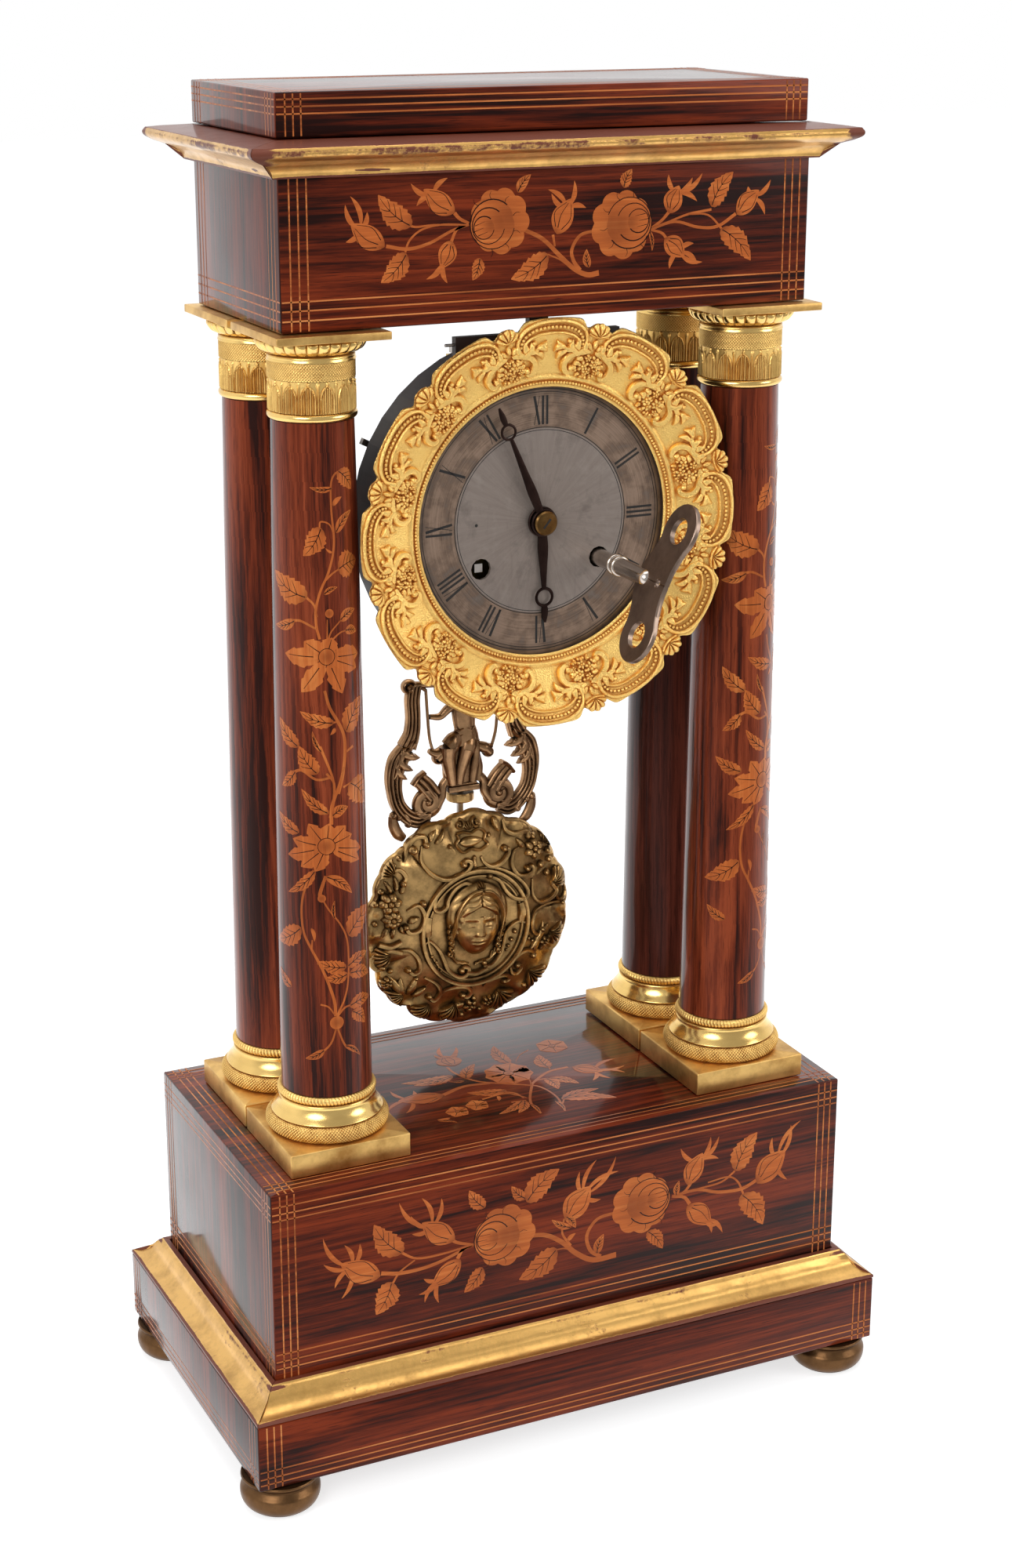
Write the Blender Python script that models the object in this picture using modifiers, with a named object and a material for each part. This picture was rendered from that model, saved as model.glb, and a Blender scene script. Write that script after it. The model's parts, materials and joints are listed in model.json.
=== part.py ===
# Portico clock: a rosewood and gilt four-column mantel clock with a drum movement
# and an openwork pendulum. Metres, +Z up, the dial faces -Y, the feet stand on z = 0.

import math

import bmesh
import bpy
from mathutils import Matrix

MM = 0.001
DEG = math.pi / 180.0
TURN = 2.0 * math.pi
QUARTER = 90.0 * DEG
SHARP = 40.0 * DEG          # edges bent more than this stay sharp
FACING = (QUARTER, 0.0, 0.0)  # turns a piece's height forward, to -Y

# Clearances
SEAT = 0.3 * MM            # gap kept where one piece rests on another
RUN = 0.08 * MM            # radial gap of a turning or sliding piece in its bore
OVERRUN = 1.0 * MM         # how far a cutter passes the wall it cuts
WELD = 0.001 * MM          # points closer than this are one point
EDGE = 0.5 * MM            # softened edge of the wooden blocks
FINE_EDGE = 0.3 * MM       # softened edge of the brass plates
SINK = 0.6 * MM            # how far joined shapes of one casting run into each other
ROUND_STEPS = 20           # facets round a column part
HOLE_STEPS = 12            # facets round a small hole

# Case, bottom to top
FOOT_RADIUS = 14.2 * MM
FOOT_HEIGHT = 13.4 * MM
FOOT_INSET = 12.0 * MM      # foot centre from the plinth's faces
PLINTH_HEIGHT = 25.2 * MM
BASE_DEPTH = 114.3 * MM
BASE_HEIGHT = 79.9 * MM
BASE_MOULDING_HEIGHT = 9.3 * MM
STEP_SIDE = 11.5 * MM       # plinth standing out past the base block
STEP_FRONT = 12.35 * MM
STEP_BACK = 13.55 * MM
PLINTH_FRONT = BASE_DEPTH / 2.0 + STEP_FRONT
PLINTH_BACK = BASE_DEPTH / 2.0 + STEP_BACK
COLUMN_FRONT_Y = -26.2 * MM
COLUMN_GAP = 1.4 * MM       # between the plates of a front and a back column
COLUMN_HEIGHT = 288.0 * MM  # base block's top to the attic's underside
BASE_PLATE_SIDE = 44.6 * MM
BASE_PLATE_INSET = 11.1 * MM  # from the base block's side
BASE_PLATE_HEIGHT = 8.9 * MM
BASE_RING_HEIGHT = 15.9 * MM
BASE_TORUS_RADIUS = 21.8 * MM
ROPE_RING_RADIUS = 17.3 * MM
SHAFT_FOOT_RADIUS = 16.0 * MM
SHAFT_HEAD_RADIUS = 13.7 * MM
TENON_RADIUS = 6.0 * MM
TENON_LENGTH = 5.0 * MM
CAPITAL_HEIGHT = 26.0 * MM
CAPITAL_HEAD_RADIUS = 18.2 * MM
ABACUS_WIDTH = 39.0 * MM
ABACUS_DEPTH = 42.4 * MM
ABACUS_HEIGHT = 2.9 * MM
ABACUS_OVERHANG = 3.65 * MM  # past the attic's side
ATTIC_FRONT = 41.8 * MM
ATTIC_BACK = 36.8 * MM
ATTIC_FACE_HEIGHT = 47.8 * MM
CORNICE_HEIGHT = 11.8 * MM
CORNICE_REACH = 13.2 * MM
SLAB_HEIGHT = 13.9 * MM
SLAB_STEP_SIDE = 0.3 * MM   # slab's faces set in from the attic's
SLAB_STEP_FRONT = 1.5 * MM
SLAB_STEP_BACK = -1.2 * MM
COLUMN_BACK_Y = COLUMN_FRONT_Y + BASE_PLATE_SIDE + COLUMN_GAP

# Levels of the case
PLINTH_Z = FOOT_HEIGHT
BASE_Z = PLINTH_Z + PLINTH_HEIGHT
COLUMN_Z = BASE_Z + BASE_HEIGHT
ATTIC_Z = COLUMN_Z + COLUMN_HEIGHT
CORNICE_Z = ATTIC_Z + ATTIC_FACE_HEIGHT
SLAB_Z = CORNICE_Z + CORNICE_HEIGHT

# Dial and bezel: a Y place is counted from the case's centre line, so the front is negative
DIAL_RADIUS = 48.0 * MM
DIAL_FRONT_Y = -32.1 * MM
DIAL_THICK = 1.2 * MM
DIAL_FOOT_RADIUS = 1.2 * MM
DIAL_FOOT_INSET = 8.0 * MM
DIAL_FOOT_ANGLES = (90.0, 210.0, 330.0)
WINDING_ANGLE = 33.2        # degrees, winding squares below the dial's centre line
WINDING_HOLE_RADIUS = 3.7 * MM
BEZEL_OVERHANG = 9.5 * MM   # past the drum
BEZEL_HEADROOM = 0.5 * MM   # under the attic
BEZEL_OVERLAP = 2.1 * MM    # bezel's inner edge over the dial
BEZEL_STAND = 2.6 * MM      # bezel's inner edge in front of the dial
BEZEL_DISH = 7.6 * MM       # rim in front of the inner edge
BEZEL_SHEET = 1.9 * MM
BEZEL_LOBES = 12
BEZEL_STEPS_PER_LOBE = 8
BEZEL_NOTCH = 2.6 * MM      # depth of the dip at each side of a shell
BEZEL_SHARES = (0.0, 0.12, 0.35, 0.65, 0.88, 1.0)
SHELL_HALF_ANGLE = 3.75 * DEG
DIP_HALF_ANGLE = 1.6 * DEG
SHELL_SHARE = 0.35
BEZEL_BORE = DIAL_RADIUS - BEZEL_OVERLAP
BEZEL_BORE_Y = DIAL_FRONT_Y - BEZEL_STAND
BEZEL_RIM_Y = BEZEL_BORE_Y - BEZEL_DISH

# Movement between its plates
PLATE_SETBACK = 9.7 * MM    # dial's front to the front plate's front
PLATE_THICK = 2.4 * MM
PLATE_SPAN = 28.0 * MM      # free depth between the plates
PLATE_REACH = 1.8 * MM      # plates past the dial
PLATE_MARGIN = 0.15 * MM    # plates past the great wheels
PILLAR_INSET = 3.8 * MM
PILLAR_RADIUS = 2.0 * MM
PILLAR_ANGLES = (15.0, 70.0, 165.0, 270.0)
CENTRE_PINION_RADIUS = 3.3 * MM
MESH_GAP = 0.35 * MM        # keeps turning teeth off each other
GREAT_WHEEL_THICK = 1.8 * MM
GREAT_TEETH = 30
GREAT_TOOTH = 1.6 * MM
TOOTH_SHIFT_SHARE = 0.13
BARREL_STEP = 5.0 * MM      # great wheel past its barrel
ARBOR_RADIUS = 2.2 * MM
SQUARE_SIDE = 2.9 * MM
SQUARE_REACH = 7.6 * MM     # square standing out of the front plate
CENTRE_ARBOR_RADIUS = 1.4 * MM
CENTRE_WHEEL_RADIUS = 15.0 * MM
CENTRE_TEETH = 24
CENTRE_TOOTH = 1.3 * MM
WHEEL_THICK = 1.4 * MM
ESCAPE_RISE = 23.5 * MM     # escape wheel's axis above the dial's centre
ESCAPE_SETBACK = 16.0 * MM  # behind the front plate
ESCAPE_RADIUS = 8.6 * MM
ESCAPE_TEETH = 15
ESCAPE_TOOTH = 1.6 * MM
PIVOT_RADIUS = 0.9 * MM
ANCHOR_ARBOR_RADIUS = 1.2 * MM
ANCHOR_STEM = 2.2 * MM
PALLET_GAP = 1.6 * MM       # keeps the anchor off the escape wheel through its swing
PALLET_WIDTH = 2.4 * MM
PALLET_ANGLES = (25.0, 155.0)
SWING_RISE = 39.5 * MM      # pendulum and anchor axis above the dial's centre
PLATE_RADIUS = DIAL_RADIUS + PLATE_REACH
WINDING_CIRCLE = (PLATE_RADIUS - PLATE_MARGIN + CENTRE_PINION_RADIUS + MESH_GAP) / 2.0
GREAT_WHEEL_RADIUS = WINDING_CIRCLE - CENTRE_PINION_RADIUS - MESH_GAP
BARREL_RADIUS = GREAT_WHEEL_RADIUS - BARREL_STEP
WINDING_X = WINDING_CIRCLE * math.cos(WINDING_ANGLE * DEG)
WINDING_DROP = WINDING_CIRCLE * math.sin(WINDING_ANGLE * DEG)
FRONT_PLATE_Y = DIAL_FRONT_Y + PLATE_SETBACK
INNER_FRONT_Y = FRONT_PLATE_Y + PLATE_THICK
BACK_PLATE_Y = INNER_FRONT_Y + PLATE_SPAN
BACK_FACE_Y = BACK_PLATE_Y + PLATE_THICK
ESCAPE_Y = INNER_FRONT_Y + ESCAPE_SETBACK

# Drum and strike lever
DRUM_ROOM = 0.9 * MM        # between the movement's plates and the drum
DRUM_WALL = 9.3 * MM
DRUM_BACK_WALL = 3.7 * MM
DRUM_DEPTH = 22.4 * MM      # front plate's front to the drum's back edge
DRUM_SHOULDER = 10.0 * MM   # the drum's side tapers over this depth at the back
DRUM_LIP = 2.5 * MM         # lip behind the dial's edge
DRUM_STEPS = 40
DRUM_COLUMN_GAP = 3.7 * MM  # between the drum and the columns' feet
LEVER_ANGLE = 153.4         # degrees round the dial, where the strike lever shows
LEVER_PIVOT_CIRCLE = 34.0 * MM
LEVER_PROUD = 0.3 * MM
LEVER_SIDE = 2.2 * MM
LEVER_SETBACK = 5.0 * MM    # in front of the drum's back edge
NOTCH_WIDTH = 5.6 * MM
DRUM_BORE = PLATE_RADIUS + DRUM_ROOM
DRUM_RADIUS = DRUM_BORE + DRUM_WALL
DRUM_BACK_RADIUS = DRUM_BORE + DRUM_BACK_WALL
DRUM_BACK_Y = FRONT_PLATE_Y + DRUM_DEPTH
BEZEL_RADIUS = DRUM_RADIUS + BEZEL_OVERHANG
DIAL_Z = ATTIC_Z - BEZEL_HEADROOM - BEZEL_RADIUS
WINDING_Z = DIAL_Z - WINDING_DROP
SWING_Z = DIAL_Z + SWING_RISE
DRUM_SHOULDER_Y = DRUM_BACK_Y - DRUM_SHOULDER
LEVER_Y = DRUM_BACK_Y - LEVER_SETBACK

# The case is made to the drum's width
COLUMN_X = DRUM_RADIUS + DRUM_COLUMN_GAP + SHAFT_FOOT_RADIUS
ATTIC_WIDTH = 2.0 * (COLUMN_X + ABACUS_WIDTH / 2.0 - ABACUS_OVERHANG)
BASE_WIDTH = 2.0 * (COLUMN_X + BASE_PLATE_SIDE / 2.0 + BASE_PLATE_INSET)
PLINTH_WIDTH = BASE_WIDTH + 2.0 * STEP_SIDE

# Hands and nut
HAND_THICK = 0.8 * MM
HAND_GAP = 0.9 * MM
HOUR_MARGIN = 8.2 * MM      # hour hand shorter than the minute hand
HOUR_RING_INSET = 9.0 * MM  # its ring's centre short of its point
HOUR_RING_RADIUS = 3.3 * MM
HOUR_HUB_RADIUS = 4.3 * MM
HOUR_PIPE_RADIUS = 2.5 * MM
HOUR_TIP = 0.6 * MM
HOUR_ANGLE = 178.0           # degrees clockwise from twelve
MINUTE_MARGIN = 2.4 * MM    # minute hand's point inside the bezel
MINUTE_RING_INSET = 9.0 * MM
MINUTE_RING_RADIUS = 2.7 * MM
MINUTE_HUB_RADIUS = 3.7 * MM
MINUTE_TIP = 0.5 * MM
MINUTE_ANGLE = 337.1
HAND_RING_WALL = 0.75 * MM
HAND_BELLY = 0.8 * MM       # extra half width of a hand's leaf
HAND_BELLY_SHARE = 0.7
HAND_STATIONS = 26
NUT_RADIUS = 3.1 * MM
NUT_THICK = 1.5 * MM
MINUTE_REACH = BEZEL_BORE - MINUTE_MARGIN
MINUTE_RING_AT = MINUTE_REACH - MINUTE_RING_INSET
HOUR_REACH = MINUTE_REACH - HOUR_MARGIN
HOUR_RING_AT = HOUR_REACH - HOUR_RING_INSET

# Winding key
KEY_RADIUS = 2.9 * MM
KEY_TIP_GAP = 0.7 * MM
KEY_LENGTH = 31.5 * MM      # its dome in front of the dial
KEY_BEAD_AT = 14.4 * MM     # its beads in front of the dial
KEY_BEAD_RADIUS = 3.5 * MM
KEY_SOCKET_DEPTH = 8.6 * MM
KEY_WING_AT = 12.4 * MM     # wing's centre line in front of the dome
KEY_WING_RADIUS = 9.6 * MM
KEY_WING_SPREAD = 18.3 * MM
KEY_WING_HOLE = 4.6 * MM
KEY_WING_THICK = 1.8 * MM
KEY_SMALL_HOLE = 1.1 * MM
KEY_WING_ANGLES = (-120.0, 120.0)
KEY_ANGLE = 24.5            # degrees, the top of the wing leans to the right
KEY_DOME_Y = DIAL_FRONT_Y - KEY_LENGTH
KEY_BEAD_Y = DIAL_FRONT_Y - KEY_BEAD_AT
KEY_WING_Y = KEY_DOME_Y - KEY_WING_AT

# Hanger above the drum
HANGER_SETBACK = 3.6 * MM   # behind the dial's front
HANGER_THICK = 3.0 * MM
HANGER_WIDTH = 60.6 * MM
HANGER_NECK_HEIGHT = 6.5 * MM
HANGER_NECK_WIDTH = 7.0 * MM
HANGER_PIN_RADIUS = 0.5 * MM
HANGER_PIN_LENGTH = 8.0 * MM
HANGER_PIN_REACH = 3.2 * MM
HANGER_PIN_DROP = 2.6 * MM
HANGER_Y = DIAL_FRONT_Y + HANGER_SETBACK
HANGER_TOP = ATTIC_Z - HANGER_NECK_HEIGHT

# Bell and hammer behind the back plate
BELL_DROP = 14.5 * MM       # bell's axis below the dial's centre
BELL_INSET = 19.8 * MM      # bell's rim inside the back plate's edge
BELL_STAND = 4.8 * MM       # mouth behind the back plate
BELL_DEPTH = 12.4 * MM
BELL_WALL = 1.4 * MM
BELL_STEPS = 28
BELL_SHARES = ((1.0, 0.0), (0.985, 0.35), (0.90, 0.70), (0.66, 0.92), (0.30, 1.0))
BELL_POST_RADIUS = 1.8 * MM
BELL_SEAT_RADIUS = 3.6 * MM
HAMMER_OFFSET = 6.0 * MM    # hammer's arbor outside the bell's rim
HAMMER_DROP = 24.5 * MM     # hammer's arbor below the dial's centre
HAMMER_RISE = 19.0 * MM
HAMMER_HEAD_RADIUS = 2.6 * MM
HAMMER_HEAD_LENGTH = 5.2 * MM
HAMMER_GAP = 1.7 * MM
HAMMER_SETBACK = 3.0 * MM   # behind the bell's mouth
HAMMER_ARM = 1.6 * MM
BELL_RADIUS = PLATE_RADIUS - BELL_INSET
BELL_Z = DIAL_Z - BELL_DROP
BELL_MOUTH_Y = BACK_FACE_Y + BELL_STAND
BELL_BACK_Y = BELL_MOUTH_Y + BELL_DEPTH
BELL_END_Y = BELL_BACK_Y + BELL_POST_RADIUS
HAMMER_X = BELL_RADIUS + HAMMER_OFFSET
HAMMER_Y = BELL_MOUTH_Y + HAMMER_SETBACK

# Pendulum, its suspension and the crutch
ROD_STAND = 4.8 * MM        # rod's front behind the end of the bell's post
ROD_WIDTH = 2.2 * MM
ROD_THICK = 2.0 * MM
ROD_TOP_DROP = 6.8 * MM     # rod's top below the swing axis
ROD_LIFT = 39.2 * MM        # rod's foot above the bob's centre
SPRING_THICK = 0.3 * MM
SPRING_WIDTH = 4.0 * MM
SPRING_HEAD_WIDTH = 5.0 * MM
SPRING_HEAD_HEIGHT = 2.0 * MM
FRAME_THICK = 3.0 * MM
FRAME_LIFT = 32.2 * MM      # frame's foot above the bob's centre
FRAME_HEIGHT = 62.0 * MM
FRAME_HALF_WIDTH = 30.0 * MM
BOB_RADIUS = 42.3 * MM
BOB_LIFT = 53.3 * MM        # bob's centre above the base block
BOB_THICK = 7.6 * MM
BOB_SCALLOPS = 16
BOB_SHARES = ((0.0, 1.0), (0.30, 0.96), (0.55, 0.83), (0.78, 0.60), (0.93, 0.40), (1.0, 0.22),
              (0.99, 0.0), (0.0, 0.0))
BOB_RIPPLE_SHARE = 0.022
RATING_NUT_RADIUS = 5.3 * MM
RATING_NUT_HEIGHT = 3.4 * MM
RATING_NUT_LIFT = 46.8 * MM
COCK_WIDTH = 8.0 * MM
COCK_FOOT_WIDTH = 26.0 * MM
COCK_FOOT_HEIGHT = 15.0 * MM
COCK_FOOT_THICK = 2.6 * MM
COCK_ARM_HEIGHT = 4.6 * MM
COCK_ARM_RISE = 3.2 * MM    # arm's underside above the swing axis
COCK_SLIT = 1.8 * MM        # lets the spring swing with the pendulum
CRUTCH_STAND = 2.1 * MM     # crutch in front of the rod
CRUTCH_THICK = 1.4 * MM
CRUTCH_DROP = 31.0 * MM
CRUTCH_GAP = 0.45 * MM
CRUTCH_PRONG = 1.2 * MM
CRUTCH_BAR = 2.4 * MM
CRUTCH_HUB_RADIUS = 2.0 * MM
CRUTCH_HUB_ANGLES = (-60.0, 240.0)
ROD_FRONT_Y = BELL_END_Y + ROD_STAND
ROD_Y = ROD_FRONT_Y + ROD_THICK / 2.0
FRAME_BACK_Y = ROD_FRONT_Y - SEAT
BOB_BACK_Y = FRAME_BACK_Y - FRAME_THICK - SEAT
CRUTCH_Y = ROD_FRONT_Y - CRUTCH_STAND
BOB_Z = COLUMN_Z + BOB_LIFT
FRAME_BOTTOM_Z = BOB_Z + FRAME_LIFT
RATING_NUT_Z = BOB_Z + RATING_NUT_LIFT
ROD_BOTTOM_Z = BOB_Z + ROD_LIFT

# The case's centre line lies here, so that the whole clock is centred on the origin
KEY_REACH = KEY_WING_RADIUS - KEY_WING_Y
BACK_REACH = PLINTH_BACK - FOOT_INSET + FOOT_RADIUS
CASE_Y = (KEY_REACH - BACK_REACH) / 2.0

for old in list(bpy.data.objects):
    bpy.data.objects.remove(old, do_unlink=True)

scene = bpy.context.scene
parts = bpy.data.collections.new("portico_clock")
cutters = bpy.data.collections.new("cutters")
scene.collection.children.link(parts)
scene.collection.children.link(cutters)


def material(name, colour, roughness, metallic):
    """A Principled material with one plain colour."""
    made = bpy.data.materials.new(name)
    made.use_nodes = True
    shader = made.node_tree.nodes["Principled BSDF"]
    shader.inputs["Base Color"].default_value = (*colour, 1.0)
    shader.inputs["Roughness"].default_value = roughness
    shader.inputs["Metallic"].default_value = metallic
    made.diffuse_color = (*colour, 1.0)
    return made


ROSEWOOD = material("rosewood", (0.072, 0.014, 0.007), 0.22, 0.0)
EBONISED = material("ebonised_wood", (0.012, 0.010, 0.009), 0.30, 0.0)
GILT_WOOD = material("gilded_wood", (0.52, 0.31, 0.08), 0.42, 0.7)
GILT_BRASS = material("gilt_brass", (0.83, 0.50, 0.10), 0.30, 1.0)
BRASS_PLATE = material("brushed_brass", (0.52, 0.33, 0.08), 0.38, 1.0)
MOVEMENT_BRASS = material("movement_brass", (0.60, 0.42, 0.14), 0.30, 1.0)
SILVERED = material("silvered_dial", (0.17, 0.15, 0.14), 0.45, 0.8)
BLUED_STEEL = material("dark_steel", (0.025, 0.016, 0.014), 0.35, 0.6)
STEEL = material("steel", (0.34, 0.31, 0.28), 0.28, 1.0)
BRONZE = material("old_gilt_bronze", (0.19, 0.10, 0.025), 0.38, 1.0)
FOOT_BRONZE = material("worn_gilt_bronze", (0.15, 0.085, 0.03), 0.5, 0.9)


def pivot(name, x, y, z, parent=None):
    """An empty at a joint's axis or at the case's centre line, which carries pieces."""
    empty = bpy.data.objects.new(name, None)
    parts.objects.link(empty)
    empty.location = (x, y, z)
    empty.parent = parent
    return empty


CASE = pivot("case_centre_line", 0.0, CASE_Y, 0.0)


def place(name, mesh, look, location, rotation=(0.0, 0.0, 0.0), parent=CASE, cutter=False):
    """Put a mesh into the scene as one named piece."""
    piece = bpy.data.objects.new(name, mesh)
    (cutters if cutter else parts).objects.link(piece)
    piece.location = location
    piece.rotation_euler = rotation
    piece.parent = parent
    if cutter:
        piece.hide_render = True
        piece.display_type = "WIRE"
    elif not mesh.materials:
        mesh.materials.append(look)
    return piece


def finish_mesh(bm, name, smooth=True):
    """Turn a bmesh into a mesh with outward faces."""
    bmesh.ops.recalc_face_normals(bm, faces=bm.faces)
    if bm.calc_volume(signed=True) < 0.0:
        bmesh.ops.reverse_faces(bm, faces=bm.faces)
    mesh = bpy.data.meshes.new(name)
    bm.to_mesh(mesh)
    bm.free()
    if smooth:
        mesh.shade_smooth()
        mesh.set_sharp_from_angle(angle=SHARP)
    return mesh


def evaluated(piece):
    """The mesh of a piece with its modifiers applied, its loose caps welded."""
    bpy.context.view_layer.update()
    graph = bpy.context.evaluated_depsgraph_get()
    mesh = bpy.data.meshes.new_from_object(piece.evaluated_get(graph))
    bm = bmesh.new()
    bm.from_mesh(mesh)
    bmesh.ops.remove_doubles(bm, verts=bm.verts, dist=WELD)
    bm.to_mesh(mesh)
    bm.free()
    return mesh


def block(name, size, centre, look, parent=CASE, edge=0.0, rotation=(0.0, 0.0, 0.0), cutter=False):
    """A box of the given size about its centre, with softened edges."""
    bm = bmesh.new()
    bmesh.ops.create_cube(bm, size=1.0)
    bmesh.ops.scale(bm, vec=size, verts=bm.verts)
    if edge:
        bmesh.ops.bevel(bm, geom=bm.edges[:], offset=edge, segments=1, affect="EDGES")
    return place(name, finish_mesh(bm, name, smooth=False), look, centre, rotation, parent, cutter)


def rod(name, radius, front, back, x, z, look, steps=HOLE_STEPS, parent=CASE, cutter=False):
    """A cylinder lying along Y, from its front end to its back end."""
    bm = bmesh.new()
    bmesh.ops.create_cone(bm, cap_ends=True, segments=steps, radius1=radius, radius2=radius,
                          depth=back - front)
    centre = (x, (front + back) / 2.0, z)
    mesh = finish_mesh(bm, name)
    return place(name, mesh, look, centre, FACING, parent, cutter)


def lying(name, radius, length, centre, look, parent=CASE, cutter=False):
    """A cylinder lying along X about its centre."""
    bm = bmesh.new()
    bmesh.ops.create_cone(bm, cap_ends=True, segments=HOLE_STEPS, radius1=radius, radius2=radius,
                          depth=length)
    return place(name, finish_mesh(bm, name), look, centre, (0.0, QUARTER, 0.0), parent, cutter)


def turned(name, profile, steps, closed, look, location, facing=False, parent=CASE, cutter=False):
    """A turned piece: a profile of (radius, height) points, outer side running down.

    A closed profile makes a ring. With facing set, the height runs forward, to -Y."""
    mesh = bpy.data.meshes.new(name)
    points = [(radius, 0.0, height) for radius, height in profile]
    edges = [(i, i + 1) for i in range(len(points) - 1)]
    if closed:
        edges.append((len(points) - 1, 0))
    mesh.from_pydata(points, edges, [])
    tilt = QUARTER if facing else 0.0
    piece = place(name, mesh, look, location, (tilt, 0.0, 0.0), parent, cutter)
    screw = piece.modifiers.new("turned", "SCREW")
    screw.steps = steps
    screw.render_steps = steps
    screw.use_merge_vertices = True
    screw.merge_threshold = WELD
    screw.use_smooth_shade = True
    return piece


def combine(piece, other, operation):
    """Cut one shape out of a piece, or join it to the piece."""
    boolean = piece.modifiers.new(other.name, "BOOLEAN")
    boolean.operation = operation
    boolean.solver = "EXACT"
    boolean.object = other


def settle(piece):
    """Apply a piece's modifiers, so that its copies can share the mesh."""
    mesh = evaluated(piece)
    look = piece.data.materials[0] if piece.data.materials else None
    piece.modifiers.clear()
    piece.data = mesh
    if look and not mesh.materials:
        mesh.materials.append(look)
    return piece


def arc(cx, cy, radius, start, stop, count):
    """Points of a circular arc, the angles in degrees, both ends included."""
    share = [i / (count - 1) for i in range(count)]
    turns = [(start + (stop - start) * s) * DEG for s in share]
    return [(cx + radius * math.cos(a), cy + radius * math.sin(a)) for a in turns]


def circle(cx, cy, radius, count):
    """Points round a full circle."""
    return [(cx + radius * math.cos(TURN * i / count), cy + radius * math.sin(TURN * i / count))
            for i in range(count)]


def bore_circle(cx, cy, shaft_radius):
    """The outline of a bore whose flats all clear a turning shaft."""
    return circle(cx, cy, bore_radius(shaft_radius, HOLE_STEPS), HOLE_STEPS)


def bore_radius(shaft_radius, steps):
    """Corner radius of a faceted bore whose flats clear a turning shaft by the running gap."""
    return (shaft_radius + RUN) / math.cos(math.pi / steps)


def sheet(name, outlines, thick, look, location, rotation, parent=CASE, cutter=False):
    """A flat piece: its first outline is the edge, the others are holes."""
    curve = bpy.data.curves.new(name, "CURVE")
    curve.dimensions = "2D"
    curve.fill_mode = "BOTH"
    curve.extrude = thick / 2.0
    for outline in outlines:
        spline = curve.splines.new("POLY")
        spline.points.add(len(outline) - 1)
        for point, (x, y) in zip(spline.points, outline):
            point.co = (x, y, 0.0, 1.0)
        spline.use_cyclic_u = True
    drawn = bpy.data.objects.new(name + "_outline", curve)
    parts.objects.link(drawn)
    mesh = evaluated(drawn)
    bpy.data.objects.remove(drawn, do_unlink=True)
    mesh.name = name
    mesh.materials.clear()
    mesh.shade_smooth()
    mesh.set_sharp_from_angle(angle=SHARP)
    return place(name, mesh, look, location, rotation, parent, cutter)



def toothed(radius, depth, teeth):
    """The outline of a wheel with straight-sided teeth."""
    points = []
    for i in range(teeth):
        for reach, share in ((radius - depth, 0.0), (radius, 0.3), (radius, 0.5), (radius - depth, 0.8)):
            angle = TURN * (i + share + TOOTH_SHIFT_SHARE) / teeth
            points.append((reach * math.cos(angle), reach * math.sin(angle)))
    return points


# Feet: flat turned buns with a flaring neck
FOOT_SHARES = ((0.98, 1.0), (0.90, 0.78), (1.0, 0.48), (0.96, 0.22), (0.70, 0.0))


def make_feet():
    height = FOOT_HEIGHT - SEAT
    profile = [(0.0, height)]
    profile += [(FOOT_RADIUS * out, height * up) for out, up in FOOT_SHARES]
    profile += [(0.0, 0.0)]
    x = PLINTH_WIDTH / 2.0 - FOOT_INSET
    front = -PLINTH_FRONT + FOOT_INSET
    back = PLINTH_BACK - FOOT_INSET
    for name, px, py in (("foot_front_left", -x, front), ("foot_front_right", x, front),
                         ("foot_back_left", -x, back), ("foot_back_right", x, back)):
        turned(name, profile, ROUND_STEPS, False, FOOT_BRONZE, (px, py, 0.0))


def make_blocks():
    """The plinth, the base block, the attic block and the top slab."""
    depth = PLINTH_FRONT + PLINTH_BACK
    middle = (PLINTH_BACK - PLINTH_FRONT) / 2.0
    block("plinth", (PLINTH_WIDTH, depth, PLINTH_HEIGHT),
          (0.0, middle, PLINTH_Z + PLINTH_HEIGHT / 2.0), ROSEWOOD, edge=EDGE)
    height = BASE_HEIGHT - SEAT
    block("base_block", (BASE_WIDTH, BASE_DEPTH, height),
          (0.0, 0.0, BASE_Z + SEAT + height / 2.0), ROSEWOOD, edge=EDGE)
    depth = ATTIC_FRONT + ATTIC_BACK
    middle = (ATTIC_BACK - ATTIC_FRONT) / 2.0
    height = ATTIC_FACE_HEIGHT + CORNICE_HEIGHT - SEAT
    block("attic_block", (ATTIC_WIDTH, depth, height),
          (0.0, middle, ATTIC_Z + height / 2.0), ROSEWOOD, edge=EDGE)
    front = ATTIC_FRONT - SLAB_STEP_FRONT
    back = ATTIC_BACK - SLAB_STEP_BACK
    middle = (back - front) / 2.0
    block("top_slab", (ATTIC_WIDTH - 2.0 * SLAB_STEP_SIDE, front + back, SLAB_HEIGHT),
          (0.0, middle, SLAB_Z + SLAB_HEIGHT / 2.0), ROSEWOOD, edge=EDGE)


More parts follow.
